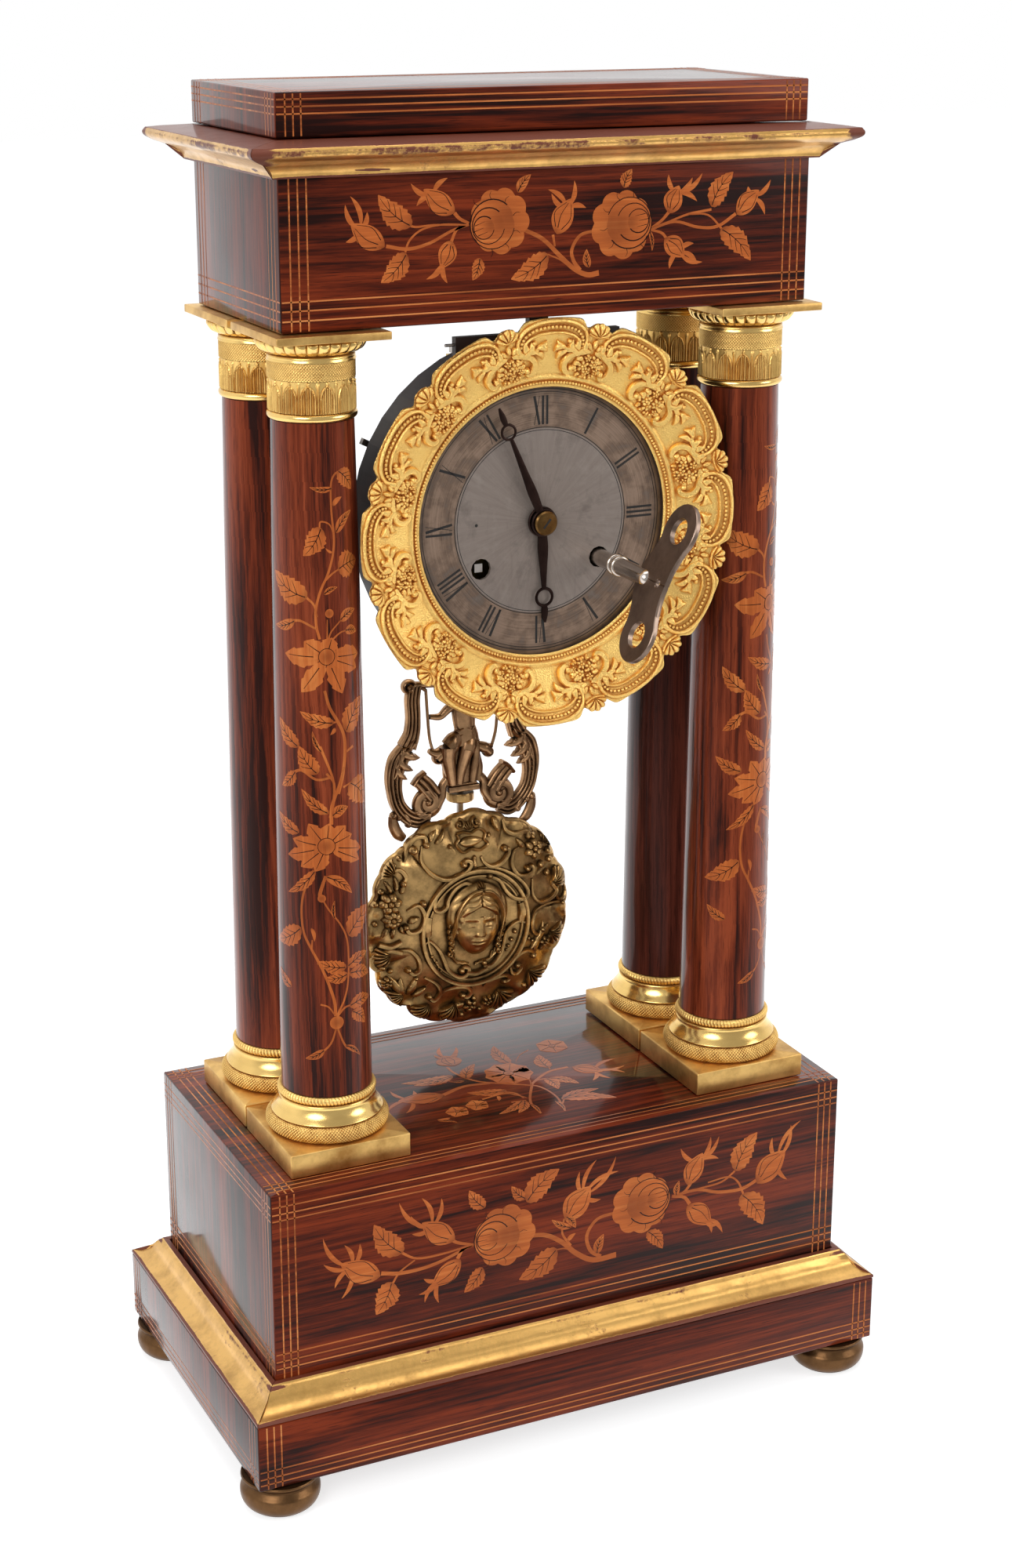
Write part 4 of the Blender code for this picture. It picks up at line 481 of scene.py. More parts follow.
def gilded_wood(name, leaf, clay, amount, patch):
    """Gold leaf over red clay: metal where the leaf is whole, dull and red where it is worn."""
    made, tree, shader = finish(name, roughness=0.4)
    place = object_place(tree)
    worn = place_effect(tree, wear, {"Vector": place, "Amount": amount, "Patch Size": patch})
    dust = span(tree, noise(tree, place, 95, 6, 0.7), 0.42, 0.70, 0, 0.55)
    gold = blend_colours(tree, dust, srgb(*leaf), srgb(150, 112, 58))
    rough = span(tree, worn["Worn"], 0, 1, 0.30, 0.55)
    feed(tree, shader, {"Base Color": blend_colours(tree, worn["Worn"], gold, srgb(*clay)),
                        "Metallic": span(tree, worn["Worn"], 0, 1, 1, 0.15),
                        "Roughness": sum_of(tree, rough, times(tree, dust, 0.25)),
                        "Normal": bump(tree, worn["Height"], 0.35, 0.0003),
                        "Coat Weight": polish(tree, 0.5)})
    return made


def casting(name, bright, dark, rough, grain_height, grain_scale=1500, low=0.455, high=0.50, reach=0.0022,
            patina=0):
    """A cast and gilt mount: bright relief, hollows browned by dirt and painted shade, a fine matt grain and cloudy
    patina.
    """
    made, tree, shader = finish(name, metallic=1, roughness=rough)
    place = object_place(tree)
    toned = place_effect(tree, hollow_dirt_and_shade, {"Vector": place, "Bright": srgb(*bright), "Dark": srgb(*dark),
                                        "Low": low, "High": high, "Reach": reach})
    cloudy = span(tree, noise(tree, place, 130, 6, 0.68), 0.42, 0.66, 0, patina)
    matt = noise(tree, place, grain_scale, 2, 0.5)
    feed(tree, shader, {"Base Color": blend_colours(tree, cloudy, toned["Color"], srgb(*dark)),
                        "Roughness": sum_of(tree, times(tree, toned["Hollow"], 0.35), rough),
                        "Normal": bump(tree, matt, grain_height, 0.0003)})
    return made


def brushed(name, colour, stained, rough, scale, metal=1):
    """A metal rubbed in one direction: the scale stretches the noise into lines."""
    made, tree, shader = finish(name, metallic=metal, roughness=rough)
    lined = place_effect(tree, brushing, {"Vector": object_place(tree, scale), "Rough": rough})
    feed(tree, shader, {"Base Color": blend_colours(tree, lined["Stain"], srgb(*colour), srgb(*stained)),
                        "Roughness": lined["Roughness"], "Normal": bump(tree, lined["Height"], 0.12)})
    return made


GILDED_WOOD = gilded_wood("gilded_wood", (236, 186, 108), (108, 50, 28), 0.37, 38)
MATT_GILT = casting("matt_gilding", (255, 216, 132), (158, 98, 40), 0.38, 0.25, reach=0.0010)
BURNISHED = casting("burnished_gilding", (255, 216, 134), (156, 106, 50), 0.20, 0.04)
OLD_BRONZE = casting("old_gilt_bronze", (226, 182, 118), (60, 42, 24), 0.31, 0.14, 900, reach=0.0035, patina=0.62)
BROWN_BRONZE = casting("brown_bronze", (186, 144, 104), (46, 31, 21), 0.28, 0.14, 900, reach=0.0035, patina=0.5)
FOOT_BRONZE = casting("worn_gilt_bronze", (116, 84, 54), (52, 36, 24), 0.36, 0.30, 500, patina=0.4)
AGED_BRASS = casting("aged_brass", (138, 104, 60), (50, 34, 18), 0.28, 0.30, 500, patina=0.6)
PLATE_BRASS = brushed("brushed_brass", (240, 198, 122), (176, 130, 70), 0.32, (40, 900, 900))
MOVEMENT_BRASS = brushed("movement_brass", (212, 184, 116), (150, 118, 62), 0.26, (900, 900, 30))
KEY_STEEL = brushed("key_steel", (144, 124, 110), (100, 84, 74), 0.28, (60, 700, 700))
POLISHED_STEEL = brushed("polished_steel", (214, 204, 194), (170, 158, 148), 0.12, (700, 60, 700))
DARK_STEEL = brushed("browned_steel", (52, 38, 34), (30, 20, 18), 0.34, (300, 300, 300))
STEEL = brushed("old_steel", (202, 196, 190), (140, 130, 122), 0.30, (60, 700, 700))
EBONISED = brushed("ebonised_wood", (30, 20, 17), (56, 36, 28), 0.36, (500, 60, 500), 0)
print("metals and gilding:", len(bpy.data.materials), "materials so far")

# %% [markdown]
# ## The camera and the light
#
# The camera stands to the left of the clock and a little above it. A long lens keeps the case's
# lines nearly parallel, as in a catalogue picture. The light is a pale room with three large
# soft lamps. Floor and backdrop are white to the camera and to reflections, and behind the camera
# the room grows dim, so that metal has a dark side as it has in a studio.

# %% Camera

CAMERA_AT, CAMERA_LENS, CAMERA_ROLL = (-0.3867, -0.81165, 0.5282), 60.45, -0.06
CAMERA_WAY = Vector((0.4084, 0.8586, -0.3099))
camera = bpy.data.objects.new("camera", bpy.data.cameras.new("camera"))
bpy.context.scene.collection.objects.link(camera)
camera.data.lens, camera.data.sensor_width = CAMERA_LENS, 36
camera.location = CAMERA_AT
level = CAMERA_WAY.to_track_quat("-Z", "Y").to_matrix().to_4x4()
roll = Matrix.Rotation(math.radians(CAMERA_ROLL), 4, CAMERA_WAY)
camera.rotation_euler = (roll @ level).to_euler()
bpy.context.scene.camera = camera
bpy.context.scene.view_settings.view_transform = "Standard"
print("camera looks down by", round(math.degrees(math.asin(-CAMERA_WAY.z)), 1), "degrees")

# %% Room, lamps and floor


def white_to_view(tree, shown, real):
    """Mixes two shaders: shown is what the camera and reflections see, real is what lights the clock."""
    path = add(tree, "LightPath").outputs
    mirrored = sum_of(tree, path["Is Glossy Ray"], path["Is Transmission Ray"], "MAXIMUM")
    seen = sum_of(tree, path["Is Camera Ray"], mirrored, "MAXIMUM")
    return add(tree, "MixShader", {0: seen, 1: real, 2: shown}).outputs[0]


room = bpy.data.worlds.new("pale_room")
bpy.context.scene.world = room
room.use_nodes = True
tree = room.node_tree
way = add(tree, "SeparateXYZ", {"Vector": add(tree, "TexCoord").outputs["Generated"]}).outputs["Y"]
in_camera = add(tree, "LightPath").outputs["Is Camera Ray"]
backdrop = sum_of(tree, span(tree, way, -0.50, 0.10, 0.46, 1), in_camera, "MAXIMUM")
white = add(tree, "Background", {"Color": (1, 1, 1, 1), "Strength": backdrop}).outputs[0]
soft = add(tree, "Background", {"Color": (0.95, 0.97, 1, 1), "Strength": 0.55}).outputs[0]
feed(tree, tree.nodes["World Output"], {"Surface": white_to_view(tree, white, soft)})

AIM = Vector((0, 0, 0.25))
for name, spot, size, power in (("window_left", (-1.3, -1.1, 1.1), 1.1, 15),
                                ("window_right", (1.4, -1.2, 0.9), 1, 10),
                                ("ceiling", (0, 0.1, 1.8), 1.5, 13)):
    lamp = bpy.data.objects.new(name, bpy.data.lights.new(name, "AREA"))
    lamp.data.shape, lamp.data.size, lamp.data.energy = "DISK", size, power
    lamp.location = spot
    lamp.rotation_euler = (AIM - Vector(spot)).to_track_quat("-Z", "Y").to_euler()
    bpy.context.scene.collection.objects.link(lamp)

floor_finish, tree, shader = finish("pale_floor", roughness=0.9, specular=0.1)
feed(tree, shader, {"Base Color": (0.6, 0.6, 0.6, 1)})
shade = add(tree, "Emission", {"Color": (1, 1, 1, 1), "Strength": 0.68}).outputs[0]
both = add(tree, "AddShader", {0: shader.outputs[0], 1: shade}).outputs[0]
feed(tree, tree.nodes["Material Output"], {"Surface": white_to_view(tree, both, shader.outputs[0])})
floor_mesh = bpy.data.meshes.new("floor")
floor_mesh.from_pydata([(-6, -0.42, 0), (6, -0.42, 0), (6, 6, 0), (-6, 6, 0)], [], [(0, 1, 2, 3)])
floor = bpy.data.objects.new("floor", floor_mesh)
bpy.context.scene.collection.objects.link(floor)
floor_mesh.materials.append(floor_finish)
print("room, lamps and floor are ready")

# %% [markdown]
# ## The wooden case
#
# Plinth, base, attic and top slab are veneered blocks with softened edges. A cube with a Bevel
# would do, but then the grain could not run along each face. So a block is an outline with
# round corners, drawn in a little at the top and the bottom, and its UV map turns on each face.

# %% Blocks with softened edges


def rounded_block(low, high, edge, steps=3):
    """A block whose outline has round corners. At each end the outline moves in by edge times
    one minus the sine, while the height moves by edge times one minus the cosine."""
    middle, half = (low + high) / 2, (high - low) / 2 - edge
    quarter = np.linspace(0, math.pi / 2, steps + 1)
    round_angle = np.concatenate([quarter + k * math.pi / 2 for k in range(4)])
    sign = np.repeat(np.array([(1, 1), (-1, 1), (-1, -1), (1, -1)]), steps + 1, axis=0)
    way = np.stack([np.cos(round_angle), np.sin(round_angle)], 1)
    bend = np.linspace(0.15, math.pi / 2, steps + 1)
    rows = [(edge * math.sin(b), low[2] + edge * (1 - math.cos(b))) for b in bend]
    rows += [(r, low[2] + high[2] - z) for r, z in reversed(rows)]
    grid = [np.column_stack([middle[:2] + sign * half[:2] + way * r, np.full(len(way), z)])
            for r, z in rows]
    return shell(np.array(grid))


for number, node in enumerate(("plinth", "base_block", "attic_block", "top_slab")):
    piece(node + "_veneer", [rounded_block(*skin(node), 0.6)], ROSEWOOD, replaces=(node,),
          slot="rosewood", uv="block", shift=(0.31 * number, 0.17 * number), crease=60)
print("veneered blocks made; the base is", np.round(box_mm("base_block")[1] - box_mm("base_block")[0], 1))

# %% [markdown]
# ## Stringing
#
# Three light lines run round every panel and cross at the corners. They could be painted by the
# material, but real stringing is let into the veneer, and a thin strip catches the light as it
# does. Each line is a square section carried along a straight path.

# %% Lines round a face

SQUARE = np.array([(1, 1), (-1, 1), (-1, -1), (1, -1)], float)
SIDE_VIEWS = {"front": ((1, 0, 0), (0, -1, 0)), "right": ((0, 1, 0), (1, 0, 0)),
              "back": ((1, 0, 0), (0, 1, 0)), "left": ((0, 1, 0), (-1, 0, 0)),
              "top": ((1, 0, 0), (0, 0, 1))}


def face_lines(low, high, side, ends, below, above, width=0.5, lift=0.035):
    """Lines on one face of a block: at these distances from both ends, from the foot and from the top."""
    along, out = (np.array(v, float) for v in SIDE_VIEWS[side])
    up = np.array((0, 1, 0)) if side == "top" else np.array((0, 0, 1))
    middle, half = (low + high) / 2, (high - low) / 2
    face = middle + out * half
    reach, rise = abs(along @ half), abs(up @ half)
    runs = [(along * s * (reach - d) - up * (rise - 0.5), along * s * (reach - d) + up * (rise - 0.5))
            for d in ends for s in (-1, 1)]
    runs += [(up * (d - rise) - along * (reach - 0.5), up * (d - rise) + along * (reach - 0.5)) for d in below]
    runs += [(up * (rise - d) - along * (reach - 0.5), up * (rise - d) + along * (reach - 0.5)) for d in above]
    return [swept([face + a, face + b], width / 2, lift, out, SQUARE) for a, b in runs]


THREE = (3.3, 5.9, 8.5)
ATTIC_THREE = (3.6, 6.5, 9.4)
lines = []
for side in SIDES:
    lines += face_lines(*skin("plinth"), side, THREE, (2.4, 4.7, 7.5), ())
    lines += face_lines(*skin("base_block"), side, THREE, (13, 15.8, 18.6), (4.4, 7.2, 9.6))
    lines += face_lines(*skin("attic_block"), side, ATTIC_THREE, (3.8, 6.9, 9.8), ())
    lines += face_lines(*skin("top_slab"), side, THREE, (), (2.2, 4.4, 6.6))
for node in ("base_block", "top_slab"):
    lines += face_lines(*skin(node), "top", THREE, THREE, THREE)
piece("stringing", lines, STRING_WOOD, slot="rosewood", uv="block", crease=20)
print("stringing lines:", len(lines))

# %% [markdown]
# ## Gilded mouldings
#
# The cornice and the base moulding are mitred strips. A moulding is a profile carried along a
# side. At the mitre the strip grows by as much as the profile stands out, so each profile point
# has its own length. The profile is rounded by a Catmull-Rom curve between the corners.

# %% Mitred strips


def mitred_strip(low, high, side, profile, reach, ends, inset, wave=0):
    """A strip along one side of a block. profile is (share of the reach, height), ends are the
    reaches of the strips met at either end, and inset keeps the mitres a hair apart. A slow wave,
    the product of two sines, gives it a hand-planed look."""
    along, out = (np.array(v, float) for v in SIDE_VIEWS[side])
    middle, half = (low + high) / 2, (high - low) / 2
    share, height = profile[:, 0], profile[:, 1]
    way = np.linspace(0, 1, 60)[:, None]
    first = -abs(along @ half) - share[None] * ends[0] + inset
    last = abs(along @ half) + share[None] * ends[1] - inset
    place = first + (last - first) * way
    uneven = wave * np.abs(np.sin(way * 46 + height[None]) * np.sin(way * 18)) * (share[None] > 0.1)
    grid = (middle * (1, 1, 0) + out * np.abs(out @ half))[None, None] \
        + along * place[..., None] + out * (share[None] * reach - uneven)[..., None]
    grid[..., 2] = height[None]
    return shell(grid)


def fitted(shares, low, high, smooth):
    """Profile shares stretched between two levels, with the chosen stretch rounded."""
    points = np.array(shares) * (1, high - low) + (0, low)
    first, last = smooth
    return np.concatenate([points[:first], smooth_profile(points[first:last]), points[last:]])


def reaches(block, strips):
    """How far each strip of a moulding stands out from its block."""
    low, high = box_mm(block)
    found = {}
    for side in SIDES:
        out = np.array(SIDE_VIEWS[side][1], float)
        strip_low, strip_high = box_mm(strips + side)
        found[side] = min(out @ (strip_low - low), out @ (strip_high - high))
    return found


MOULDINGS = {
    "cornice": ("attic_block", ((0.03, 0), (0.18, 0), (0.20, 0.06), (0.24, 0.17), (0.33, 0.28), (0.45, 0.37),
                                (0.62, 0.45), (0.80, 0.53), (0.96, 0.64), (0.998, 0.76), (0.94, 0.88),
                                (0.6, 0.935), (0.03, 1)), (2, 11)),
    "base_moulding": ("base_block", ((0.03, 0), (1, 0), (1, 0.09), (0.95, 0.13), (0.72, 0.22), (0.50, 0.42),
                                     (0.40, 0.66), (0.30, 0.86), (0.22, 0.94), (0.19, 1), (0.03, 1)), (3, 10))}
for name, (block, shares, smooth) in MOULDINGS.items():
    reach = reaches(block, name + "_")
    for side in SIDES:
        low, high = box_mm(name + "_" + side)
        met = ("left", "right") if side in ("front", "back") else ("front", "back")
        strip = mitred_strip(*box_mm(block), side, fitted(shares, low[2], high[2], smooth), reach[side],
                             (reach[met[0]], reach[met[1]]), 0.12, 0.1)
        piece(name + "_gilded_" + side, [strip], GILDED_WOOD, replaces=(name + "_" + side,),
              slot="gilded_wood", crease=40)
    print(name, "stands out by", {side: round(float(value), 1) for side, value in reach.items()})

# %% [markdown]
# ## Columns, bases and capitals
#
# A shaft is turned with a slight swell, the entasis. Its mounts are turned too, then chased:
# diamonds cut across a torus, slanting lines on a ring, lobes under the abacus, pointed arches
# round the neck. All of that is a swell added to the radius at each angle and height. A texture
# could fake it with shading, but at the edges of a mount real relief breaks the outline.

# %% Chasing patterns


def diamonds(count, pitch, depth):
    """Two families of slanting grooves: the depth times the lesser of two absolute sines."""
    def swell(profile, angle):
        rise = np.concatenate([[0], np.cumsum(np.linalg.norm(np.diff(profile, axis=0), axis=1))])[:, None]
        lean, turn = rise * math.pi / pitch, angle[None] * count / 2
        return depth * (np.minimum(np.abs(np.sin(turn + lean)), np.abs(np.sin(turn - lean))) - 1)
    return swell


def slanting(count, pitch, depth):
    """One family of rope-like strands: the depth times an absolute sine that leans with height."""
    def swell(profile, angle):
        return depth * (np.abs(np.sin(angle[None] * count / 2 + profile[:, 1:] * math.pi / pitch)) - 1)
    return swell


def gadroons(count, depth, low, high):
    """Upright lobes that fade out towards the low edge."""
    def swell(profile, angle):
        share = np.clip((profile[:, 1:] - low) / (high - low), 0, 1)
        return depth * (np.abs(np.sin(angle[None] * count / 2)) ** 0.7 - 1) * np.sin(math.pi * share ** 0.8) ** 0.5
    return swell


def arches(count, low, high, depth):
    """Round arches with hatching inside, ribs between and buds, drawn as narrow bell curves."""
    def swell(profile, angle):
        v = (profile[:, 1:] - low) / (high - low)
        u = np.abs((angle[None] * count / TURN) % 1 - 0.5)
        half = 0.36 * np.sqrt(np.clip(1 - np.clip((v - 0.40) / 0.44, 0, 1) ** 1.8, 0, 1))
        arch = np.exp(-((u - half) / 0.035) ** 2) * (v < 0.88)
        hatch = (0.30 + 0.35 * np.cos(u * TURN * 9)) * (u < half * 0.82) * (v < 0.80)
        rib = 0.8 * np.exp(-((u - 0.5) / 0.035) ** 2) * (v < 0.82)
        bud = np.exp(-((u - 0.5) / 0.06) ** 2 - ((v - 0.88) / 0.06) ** 2)
        tip = np.exp(-(u / 0.05) ** 2 - ((v - 0.93) / 0.05) ** 2)
        return depth * (np.maximum.reduce([arch, hatch, rib, bud, tip]) - 0.6)
    return swell


def arc_profile(radius, height, size, first, last, count):
    """Part of a circle as (radius, height) points, between two angles in degrees."""
    angle = np.radians(np.linspace(first, last, count))
    return np.stack([radius + size * np.cos(angle), height + size * np.sin(angle)], 1)


print("a diamond cut is at most", diamonds(120, 1.2, 0.3)(np.array([(1, 0), (1, 1)]), np.zeros(1)).min(), "mm deep")

# %% Four columns with their mounts

BASE, CAP = box_mm("column_base_front_left")[0][2], box_mm("capital_front_left")[0][2]
SHAFT_FOOT, SHAFT_HEAD = box_mm("column_base_front_left")[1][2] + 0.15, CAP - 0.15
SHAFT_RISE = np.array(((0, 1), (0.42, 0.67), (0.80, 0.33), (1, 0)))
PLATE_RISE = 8.6


def shaft_radius(share):
    """The shaft's radius: 13.7 mm at the head and 2.3 mm more at the foot, along a slight swell."""
    return 13.7 + 2.3 * np.interp(share, *SHAFT_RISE.T)


def rising(radius, first, last, count):
    """A straight profile between two heights over the capital's foot."""
    return np.stack([np.full(count, radius), CAP + np.linspace(first, last, count)], 1)


share = np.linspace(0, 1, 26)
SHAFT = np.stack([shaft_radius(share), SHAFT_FOOT + (SHAFT_HEAD - SHAFT_FOOT) * share], 1)
HOLLOW = smooth_profile(np.array([(18.9, 14.6), (19.7, 15.1), (19.3, 15.8), (17.9, 17.6), (17.1, 19.6),
                                  (17, 20.9), (16.2, 21.4)]) + (0, BASE), 5)
ECHINUS = smooth_profile(np.array([(14, 21.2), (15.2, 21.6), (16.9, 22.5), (18, 24), (18.1, 25.2),
                                   (17.5, 25.9)]) + (0, CAP), 5)
SMALL_HOLLOW = [(14.6, CAP + 19), (14.6, CAP + 19.4), (13.6, CAP + 21.3)]
MOUNTS = (
    ("column_base_chasing_", MATT_GILT, 70, (),
     ((arc_profile(18.75, BASE + 11.6, 3.05, -89, 89, 44), 720, diamonds(116, 1.3, 0.55)),
      (arc_profile(15.9, BASE + 22.9, 1.5, -88, 88, 18), 480, slanting(84, 5.2, 0.45)))),
    ("column_base_hollow_", BURNISHED, 50, (), ((HOLLOW, 96, None),)),
    ("capital_chasing_", MATT_GILT, 70, ("capital_",),
     ((rising(14.25, 2.8, 13.1, 44), 576, arches(14, CAP + 2.8, CAP + 13.1, 0.6)),
      (rising(14.4, 13.3, 18.9, 26), 540, diamonds(90, 1, 0.3)))),
    ("capital_bright_", BURNISHED, 50, (),
     ((arc_profile(13.5, CAP + 1.4, 1.35, -88, 88, 12), 96, None),
      (arc_profile(13.4, CAP + 20.2, 1, -88, 88, 10), 96, None), (SMALL_HOLLOW, 96, None),
      (ECHINUS, 448, gadroons(28, 1.1, CAP + 21.2, CAP + 26.6)))))
for number, spot in enumerate(SPOTS):
    centre = np.array((*sum(box_mm("column_shaft_" + spot))[:2] / 2, 0))
    # The back right column takes the darker copy of the wood, which is painted shade.
    piece("column_veneer_" + spot, [turned(SHAFT, 72, centre)],
          PAINTED_SHADE_COLUMN_WOOD if spot == "back_right" else COLUMN_WOOD, replaces=("column_shaft_" + spot,),
          slot="rosewood", uv="round", centre=centre[:2], shift=(0.23 * number, 0.41 * number), crease=40)
    plate_low, plate_high = box_mm("column_base_" + spot)
    plate_high[2] = BASE + PLATE_RISE
    piece("column_plate_" + spot, [rounded_block(plate_low, plate_high, 0.5)], PLATE_BRASS,
          slot="brushed_brass", replaces=("column_base_" + spot,), crease=40)
    for name, metal, crease, taken, parts in MOUNTS:
        piece(name + spot, [turned(profile, steps, centre, swell) for profile, steps, swell in parts], metal,
              slot="gilt_brass", crease=crease, replaces=tuple(node + spot for node in taken))
    piece("capital_plate_" + spot, [rounded_block(*box_mm("abacus_" + spot), 0.3)], PLATE_BRASS,
          slot="brushed_brass", replaces=("abacus_" + spot,), crease=40)
print("columns dressed:", len(SPOTS))

# %% Turned feet

FOOT = smooth_profile([(13.6, 13.1), (13.9, 12.3), (12.9, 11.5), (12.3, 10.4), (13, 9.2), (14, 7.8), (14.19, 6.2),
                       (13.9, 4.2), (12.9, 2.2), (11.2, 0.7), (9.9, 0.05)], 4)
for spot in SPOTS:
    low, high = box_mm("foot_" + spot)
    middle = (low + high) / 2
    piece("foot_turned_" + spot, [turned(FOOT, 96, (middle[0], middle[1], 0))], FOOT_BRONZE,
          replaces=("foot_" + spot,), slot="worn_gilt_bronze", crease=50)
print("a foot has", len(FOOT), "rings of points")

# %% [markdown]
# ## Ornament laid on a surface
#
# The bezel and the pendulum are covered in cast scrolls, shells, leaves and flowers. Modelling
# them by sculpting would be slow to change. Here each motif is drawn on a flat sheet, in
# millimetres across and up, and a placing function bends the sheet onto the casting: a point of
# the sheet and a lift above it give a point in space. The same leaf then works everywhere.

# %% Motifs on a sheet

GROOVED = circle(14)
GROOVED[:, 1] *= 1 - 0.38 * (GROOVED[:, 1] > 0) * np.exp(-(GROOVED[:, 0] / 0.4) ** 2)
MIRRORED = (np.array((-1, 1)), np.array((1, 1)))


def heading(angle):
    """The unit vector at an angle."""
    return np.array((math.cos(angle), math.sin(angle)))


def left_of(way):
    """A direction turned a quarter to its left."""
    return np.array((-way[1], way[0]))


def laid(place, flat, lift):
    """Flat points put on a sheet at one lift."""
    return place(flat[..., 0], flat[..., 1], np.full(flat.shape[:-1], lift))


def leaf(place, root, tip, width, rise=0.7, bend=0, rib=0.25, teeth=0, rows=10, columns=7, sink=0.35):
    """A leaf from root to tip. Its half width is a skewed sine of the length, its back is arched
    across, a rib runs down the middle, teeth notch the edge, and bend curves it sideways."""
    root, along = np.asarray(root, float), np.subtract(tip, root)
    s, t = np.meshgrid(np.linspace(0.02, 1, rows), np.linspace(-1, 1, columns), indexing="ij")
    side = left_of(along)
    half = (width * np.sin(math.pi * s ** 0.75) ** 0.8 + 0.04) * (1 - 0.28 * ((s * teeth) % 1))
    spine = root + s[..., None] * along + (bend * 4 * s * (1 - s))[..., None] * side
    flat = spine + t[..., None] * (half / (np.linalg.norm(along) + 1e-9))[..., None] * side
    arch = rise * (1 - t * t) ** 0.5 * np.sin(math.pi * s ** 0.7) ** 0.5
    lift = arch - rib * np.exp(-(t / 0.25) ** 2) * np.sin(math.pi * s)
    return slab(place(flat[..., 0], flat[..., 1], lift), laid(place, flat, -sink))


def laid_path(place, points, width, height, lift=0, smooth=5, section=circle(8), ends=(1, 1)):
    """A strand laid along a curve on the sheet. Its width and height swell from one end share to
    full in the middle and down to the other end share."""
    flat = smooth_profile(points, smooth)
    size = np.interp(np.linspace(0, 1, len(flat)), (0, 0.35, 0.7, 1), (ends[0], 1, 1, ends[1]))
    path = laid(place, flat, lift)
    return swept(path, width * size, height * size, laid(place, flat, lift + 1) - path, section)


def curl(centre, radius, first, turns, count=16, tight=0.25):
    """Points of a spiral on the sheet: the radius falls evenly to a tight share of itself."""
    share = np.linspace(0, 1, count)
    angle = math.radians(first) + share * turns * TURN
    size = radius * (1 - (1 - tight) * share)
    return np.stack([centre[0] + size * np.cos(angle), centre[1] + size * np.sin(angle)], 1)


def knob(place, spot, size, rise, steps=10):
    """A small dome: the height follows a quarter circle."""
    bend = np.linspace(0, math.pi / 2, 5)[:, None]
    angle = (np.arange(steps) * TURN / steps)[None]
    across = spot[0] + size * np.cos(bend) * np.cos(angle)
    up = spot[1] + size * np.cos(bend) * np.sin(angle)
    foot = place(across[:1], up[:1], np.full((1, steps), -0.3))
    return shell(np.concatenate([foot, place(across, up, rise * np.sin(bend) + 0 * angle)]))


def flower(place, spot, size, petals, rise=0.8, turn=0):
    """A ring of petals round a dome."""
    ways = [size * heading(TURN * k / petals + turn) for k in range(petals)]
    return [knob(place, spot, size * 0.30, rise * 1.25, 8)] + [
        leaf(place, spot + 0.12 * way, spot + way, size * 0.36, rise, rib=0.12, rows=7, columns=5) for way in ways]


def fluted_shell(place, spot, radius, direction, flutes, spread, rise):
    """A fan of rounded flutes. Its lift and its edge follow an absolute sine of the angle, and the
    lift swells from the hinge and falls again at the edge."""
    s, u = np.meshgrid(np.linspace(0.10, 1, 9), np.linspace(0, 1, flutes * 8 + 1), indexing="ij")
    flute = np.abs(np.sin(math.pi * flutes * u)) ** 0.6
    reach = radius * s * (0.84 + 0.16 * flute) * (1 - 0.16 * (2 * u - 1) ** 2)
    angle = np.radians(direction + (u - 0.5) * spread)
    across, up = spot[0] + reach * np.cos(angle), spot[1] + reach * np.sin(angle)
    lift = rise * (0.35 + 0.65 * flute) * np.sin(0.10 + 2.92 * s) ** 0.6
    return slab(place(across, up, lift), place(across, up, np.full_like(lift, -0.35)))


def flat_sheet(across, up, lift):
    """A plain upright sheet, to try a motif on."""
    return np.stack([across, -lift, up], -1)


print("a flower of six petals has", triangles(flower(flat_sheet, (0, 0), 2, 6)), "triangles")

# %% [markdown]
# ## Floral inlay
#
# The panels carry roses, buds and leafy stems cut from a light fruitwood, shaded in hot sand and
# engraved with dark lines. Painting them by a texture would need a picture. Here every petal,
# leaf and line is a thin piece of veneer with its own outline, laid a hair above the ground, as
# the cutter's packet of veneers is. Positions are millimetres on the panel, and round the column
# for the vines.

# %% Flat shapes cut from veneer

LOWEST, LAYER, VENEER = 0.03, 0.016, 0.16
VEINS = ((0.22, 0.46), (0.40, 0.62), (0.58, 0.78))


def shaded(shape, tone):
    """A shape with a shade for each point. The two points that close its ends take a mean."""
    return *shape, np.concatenate([tone.ravel(), [tone[0].mean(), tone[-1].mean()]])


def cut(place, flat, layer, shade):
    """A slab of veneer from a grid of flat points. Higher layers lie a hair above lower ones."""
    lift = LOWEST + LAYER * layer
    return shaded(slab(laid(place, flat, lift), laid(place, flat, lift - VENEER)),
                  np.concatenate([shade, shade[:, ::-1]], axis=1))


def strip_grid(points, first, last, steps=5):
    """Two edges of a band along a curve, whose width goes from first to last."""
    line = smooth_profile(points, steps) if len(points) > 2 else np.linspace(points[0], points[1], 8)
    along = np.gradient(line, axis=0)
    side = np.stack([-along[:, 1], along[:, 0]], 1) / (np.linalg.norm(along, axis=1, keepdims=True) + 1e-9)
    half = np.linspace(first, last, len(line))[:, None] / 2
    return np.stack([line - side * half, line + side * half], 1)


def engraved(place, points, layer, first=0.32, last=0.13, steps=4):
    """A dark engraved line, a little thinner at its end."""
    grid = strip_grid(points, first, last, steps)
    return cut(place, grid, layer, np.ones(grid.shape[:2]))


